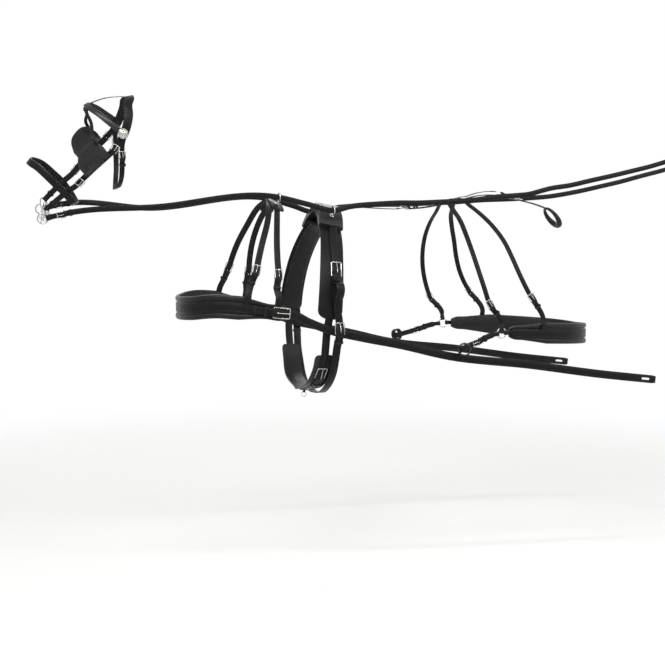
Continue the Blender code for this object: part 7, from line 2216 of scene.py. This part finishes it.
def loin_buckle(half_line, place):
    run = half_line.side.nearest(place) + LOIN_BUCKLE / 2
    return Buckle(half_line.side, run, -1, LOIN_WIDTH / 2 - BITE - GAP, LOIN_BUCKLE)


front_loin_buckle = loin_buckle(loin_front, trunk.lifted(0.671, 95, 0))
rear_loin_buckle = loin_buckle(loin_rear, trunk.lifted(0.7765, 93.1, 0))
LOIN_TIP = 1.8 * LOIN_WIDTH
print("breeching rings", round(-2 * ring_place[1], 3), "m apart")

# %% [markdown]
# Two loin straps lie across the croup and hold the breeching up. Each could be one band from side
# to side, but a real one is let out and taken in at a buckle. So the front one has a lower strap
# that is folded round the ring, and the rear one is buckled to a short tug on the breeching.

# %% Loin straps
def make_loin_straps():
    line, catch = loin_front.side, front_loin_buckle
    eye = ring_fold(
        line.nearest(ring_top), 1, RING_EYE_HALF, LEATHER, BREECH_RING_WIRE, LEATHER / 2, RING_SWELL
    )
    full = (eye[0][0] - LOIN_WIDTH * 0.3, catch.chape_half, 0, LEATHER)
    lower = slab(line, catch.chape_rows() + [full] + eye)
    rows = over_rows(loin_front, catch.billet_rows(LOIN_TIP, LAY + BITE))
    pairs = [lower, catch.frame(), catch.tongue(), catch.loop(LOIN_BUCKLE), *catch.holes(LOIN_TIP)]
    dress("loin_strap_front", [slab(loin_front.over, rows)] + both_sides(pairs))
    rows = over_rows(loin_rear, rear_loin_buckle.billet_rows(LOIN_TIP))
    holes = both_sides(rear_loin_buckle.holes(LOIN_TIP))
    dress("loin_strap_rear", [slab(loin_rear.over, rows)] + holes)


make_loin_straps()

# %% [markdown]
# The breeching's face strap lies in the channel between the rolls and is folded round both rings.
# From each ring a holdback strap runs forward and ends in an open loop. That loop could be bent out
# of the strap's own line, but it turns across the strap, so it is a loft of its own that closes.

# %% Breeching, its rings and the holdback straps
SHAFT_LOOP_STEPS = 48


def make_breeching_face():
    """The breeching's face strap, folded round both rings, with the rear loin strap's short tugs."""
    half = FACE_WIDTH / 2
    eye_run = BREECH_RING_AT - BREECH_RING_RADIUS
    eye = ring_fold(
        eye_run, 1, RING_EYE_HALF, FACE_THICKNESS, BREECH_RING_WIRE, BREECH_RING_OUT, RING_SWELL
    )
    thick = (BREECH_FACE_LOW, BREECH_FACE_LOW + FACE_THICKNESS)
    sewn, middle = eye_run - FACE_WIDTH, breech_side.length
    rows = over_rows(breech, [(sewn, half, *thick), (0.0, half, *thick)] + eye)
    catch, end = rear_loin_buckle, loin_rear.side.length
    tug_rows = [
        (end - GAP, catch.chape_half, 0, LEATHER * 0.6),
        (end - FACE_WIDTH * 0.3, catch.chape_half, 0, LEATHER),
    ]
    tug = slab(loin_rear.side, tug_rows + catch.chape_rows())
    face = [slab(breech.over, rows), seam(breech.over, rows, middle - sewn, middle + sewn)]
    dress("breeching_face", face + both_sides([tug] + catch.fittings(LOIN_BUCKLE)))


def make_breeching_straps():
    """A holdback strap, from the breeching ring through its loop and back to its buckle."""
    line = breech_side
    half = HOLDBACK_WIDTH / 2
    low = BREECH_RING_OUT - LEATHER / 2
    eye = ring_fold(
        BREECH_RING_AT + BREECH_RING_RADIUS, -1, RING_EYE_HALF, LEATHER, BREECH_RING_WIRE,
        BREECH_RING_OUT, RING_SWELL,
    )
    buckle = Buckle(line, HOLD_BAR_AT, 1, half - BITE - GAP, LOIN_BUCKLE, low)
    full = (eye[0][0] + HOLDBACK_WIDTH * 0.3, buckle.chape_half, low, low + LEATHER)
    strap = slab(line, eye + [full] + buckle.chape_rows())
    end = line.length
    rows = buckle.billet_rows(HOLDBACK_WIDTH * 1.5, LAY + BITE) + [(end, half, low, low + LEATHER)]
    last = line.place(end, 0, low + LEATHER / 2)
    lead = unit(last - line.place(end - LAY_STEP, 0, low + LEATHER / 2))
    outward = unit(line.place(end, 0, 1) - line.place(end, 0, 0))
    radius = SHAFT_SPACE / 2 + LEATHER / 2
    axis = unit(0.80 * lead + 0.60 * outward)
    across = unit(outward - (outward @ axis) * axis)
    centre = last + radius * across + lead * HOLDBACK_WIDTH * 0.35
    section = strap_profile(half, -LEATHER / 2, LEATHER / 2)
    rings = []
    for k in range(SHAFT_LOOP_STEPS):
        turn = 2 * math.pi * k / SHAFT_LOOP_STEPS
        way = math.cos(turn) * across + math.sin(turn) * np.cross(axis, across)
        rings.append([centre + (radius + rise) * way + aside * axis for aside, rise in section])
    shapes = [strap, slab(line, rows), loft(rings, closed=True), buckle.loop(LOIN_BUCKLE * 0.9)]
    dress_pair("breeching_strap", shapes + [buckle.chape_seam(SHORT_SEAM)])
    dress_pair("breeching_buckle", [buckle.frame(), buckle.tongue()])


pad_from = breech_side.length - BREECH_PAD_END
dress("breeching_pad", [roll_pad(breech.over, pad_from, BREECH_HEIGHT / 2, BREECH_PAD, (1.6, 0.70))])
make_breeching_face()
dress_pair("breeching_ring", [ring_shape(ring_place, ring_axis, BREECH_RING_RADIUS, BREECH_RING_WIRE)])
make_breeching_straps()

# %% [markdown]
# The backstrap runs from the dee of the saddle to the crupper, over both loin straps. The crupper
# ends in a smooth stuffed loop that goes under the dock. The loop could be a torus, but it is
# thickest where it lies lowest, so it is a tube whose radius changes on its way round.

# %% Backstrap and crupper
def back_line():
    places = [trunk.lifted(share, 0, lift * SEAT_RISE) for share, lift in BACK_SHARES]
    outs = [trunk.normal(share, 0) for share, lift in BACK_SHARES]
    lead = dee_place() - SLACK * 5 * trunk.along
    return freely([lead, dee_place()] + places, [trunk.up] * 2 + outs).side


back = back_line()


def back_run(share):
    """How far along the backstrap a share of the body is."""
    return back.nearest(trunk.lifted(share, 0, back_lift(share)))


DOCK_STEPS = 72
DOCK_WAY = (0.62, 0, -0.78)
DOCK_HALF = DOCK_RADIUS * 3.1
DOCK_SWELL = (0.72, 0.28)  # the tube's mean radius, and how much it changes, in shares
CRUPPER_BAR_AT = back_run(0.8075)
BACK_BAR_AT = back_run(0.5425)

crupper_buckle = Buckle(
    back, CRUPPER_BAR_AT, 1, BACKSTRAP_WIDTH / 2 - BITE - GAP, BELLY_BUCKLE, chape=BACKSTRAP_THICKNESS
)


def make_backstrap():
    """The backstrap, buckled to the saddle's dee. Its long billet lies over both loin straps."""
    half, rear = BACKSTRAP_WIDTH / 2, crupper_buckle
    front = Buckle(back, BACK_BAR_AT, -1, rear.half, BELLY_BUCKLE, chape=BACKSTRAP_THICKNESS)
    dee_at = back.nearest(dee_place())
    eye = ring_fold(dee_at, -1, half * 0.9, LEATHER, SMALL_WIRE, LEATHER / 2, 0.0)
    strap = slab(back, front.chape_rows() + rear.chape_rows())
    rows = front.billet_rows(BACKSTRAP_WIDTH, LAY + BITE)[:4]
    low = rows[-1][2]
    over = BACKSTRAP_THICKNESS + LOIN_ROOM + LEATHER + LAY
    reach = LOIN_WIDTH / 2 + SLACK
    first, last = back_run(FRONT_LOIN_SHARE), back_run(REAR_LOIN_SHARE)
    stops = [
        (first - 3 * reach, low), (first - reach, over),
        (last + 1.5 * reach, over), (last + 3 * reach, over * 0.7),
    ]
    rows += [(run, front.half, lift, lift + LEATHER) for run, lift in stops]
    rows += tip_rows(back_run(BACK_TIP_SHARE), 1, front.half, over * 1.3, over * 1.3 + LEATHER)
    held = keeper_over(
        back, (first + last) / 2, half, BACKSTRAP_THICKNESS - 2 * BITE, over + LEATHER
    )
    shapes = [strap, slab(back, eye + rows), front.loop(BELLY_BUCKLE), held]
    for buckle in (front, rear):
        shapes += [buckle.frame(), buckle.tongue(), buckle.chape_seam()]
    dress("backstrap", shapes)


def dock_loop():
    """The stuffed loop that goes under the dock, thickest where it lies lowest."""
    start = back.place(back.length, 0, LEATHER / 2)
    down, half = unit(np.array(DOCK_WAY)), DOCK_HALF
    middle = start + down * half * 1.12
    path, radii = [], []
    for k in range(DOCK_STEPS):
        turn = 2 * math.pi * k / DOCK_STEPS
        way, side = math.cos(turn), math.sin(turn)
        path.append(middle - down * way * half * 1.15 - side * half * OUTWARD)
        radii.append(DOCK_RADIUS * (DOCK_SWELL[0] - DOCK_SWELL[1] * way))
    return tube(path, radii, 24, closed=True, finish="soft")


def make_crupper():
    """The crupper: a billet with its end standing free, a strap, and a padded loop under the dock."""
    buckle, half = crupper_buckle, crupper_buckle.half
    rows = buckle.billet_rows(BACKSTRAP_WIDTH)[:4]
    low = rows[-1][2]
    reach = BACKSTRAP_WIDTH * 2
    tip_shares = ((0.35, 0.05, 1), (0.6, 0.35, 1), (0.85, 0.8, 1), (0.94, 0.93, 0.8), (1.0, 1.0, 0.22))
    for share, rise, wide in tip_shares:
        out = low + rise * 4 * LEATHER
        rows.append((buckle.run - share * reach, half * wide, out, out + LEATHER))
    end = back.length
    last = [(end - BACKSTRAP_WIDTH, half, 0, LEATHER), (end, half * 0.8, 0, LEATHER)]
    strap = slab(back, rows + last)
    dress("crupper", [strap, dock_loop()])


make_backstrap()
make_crupper()
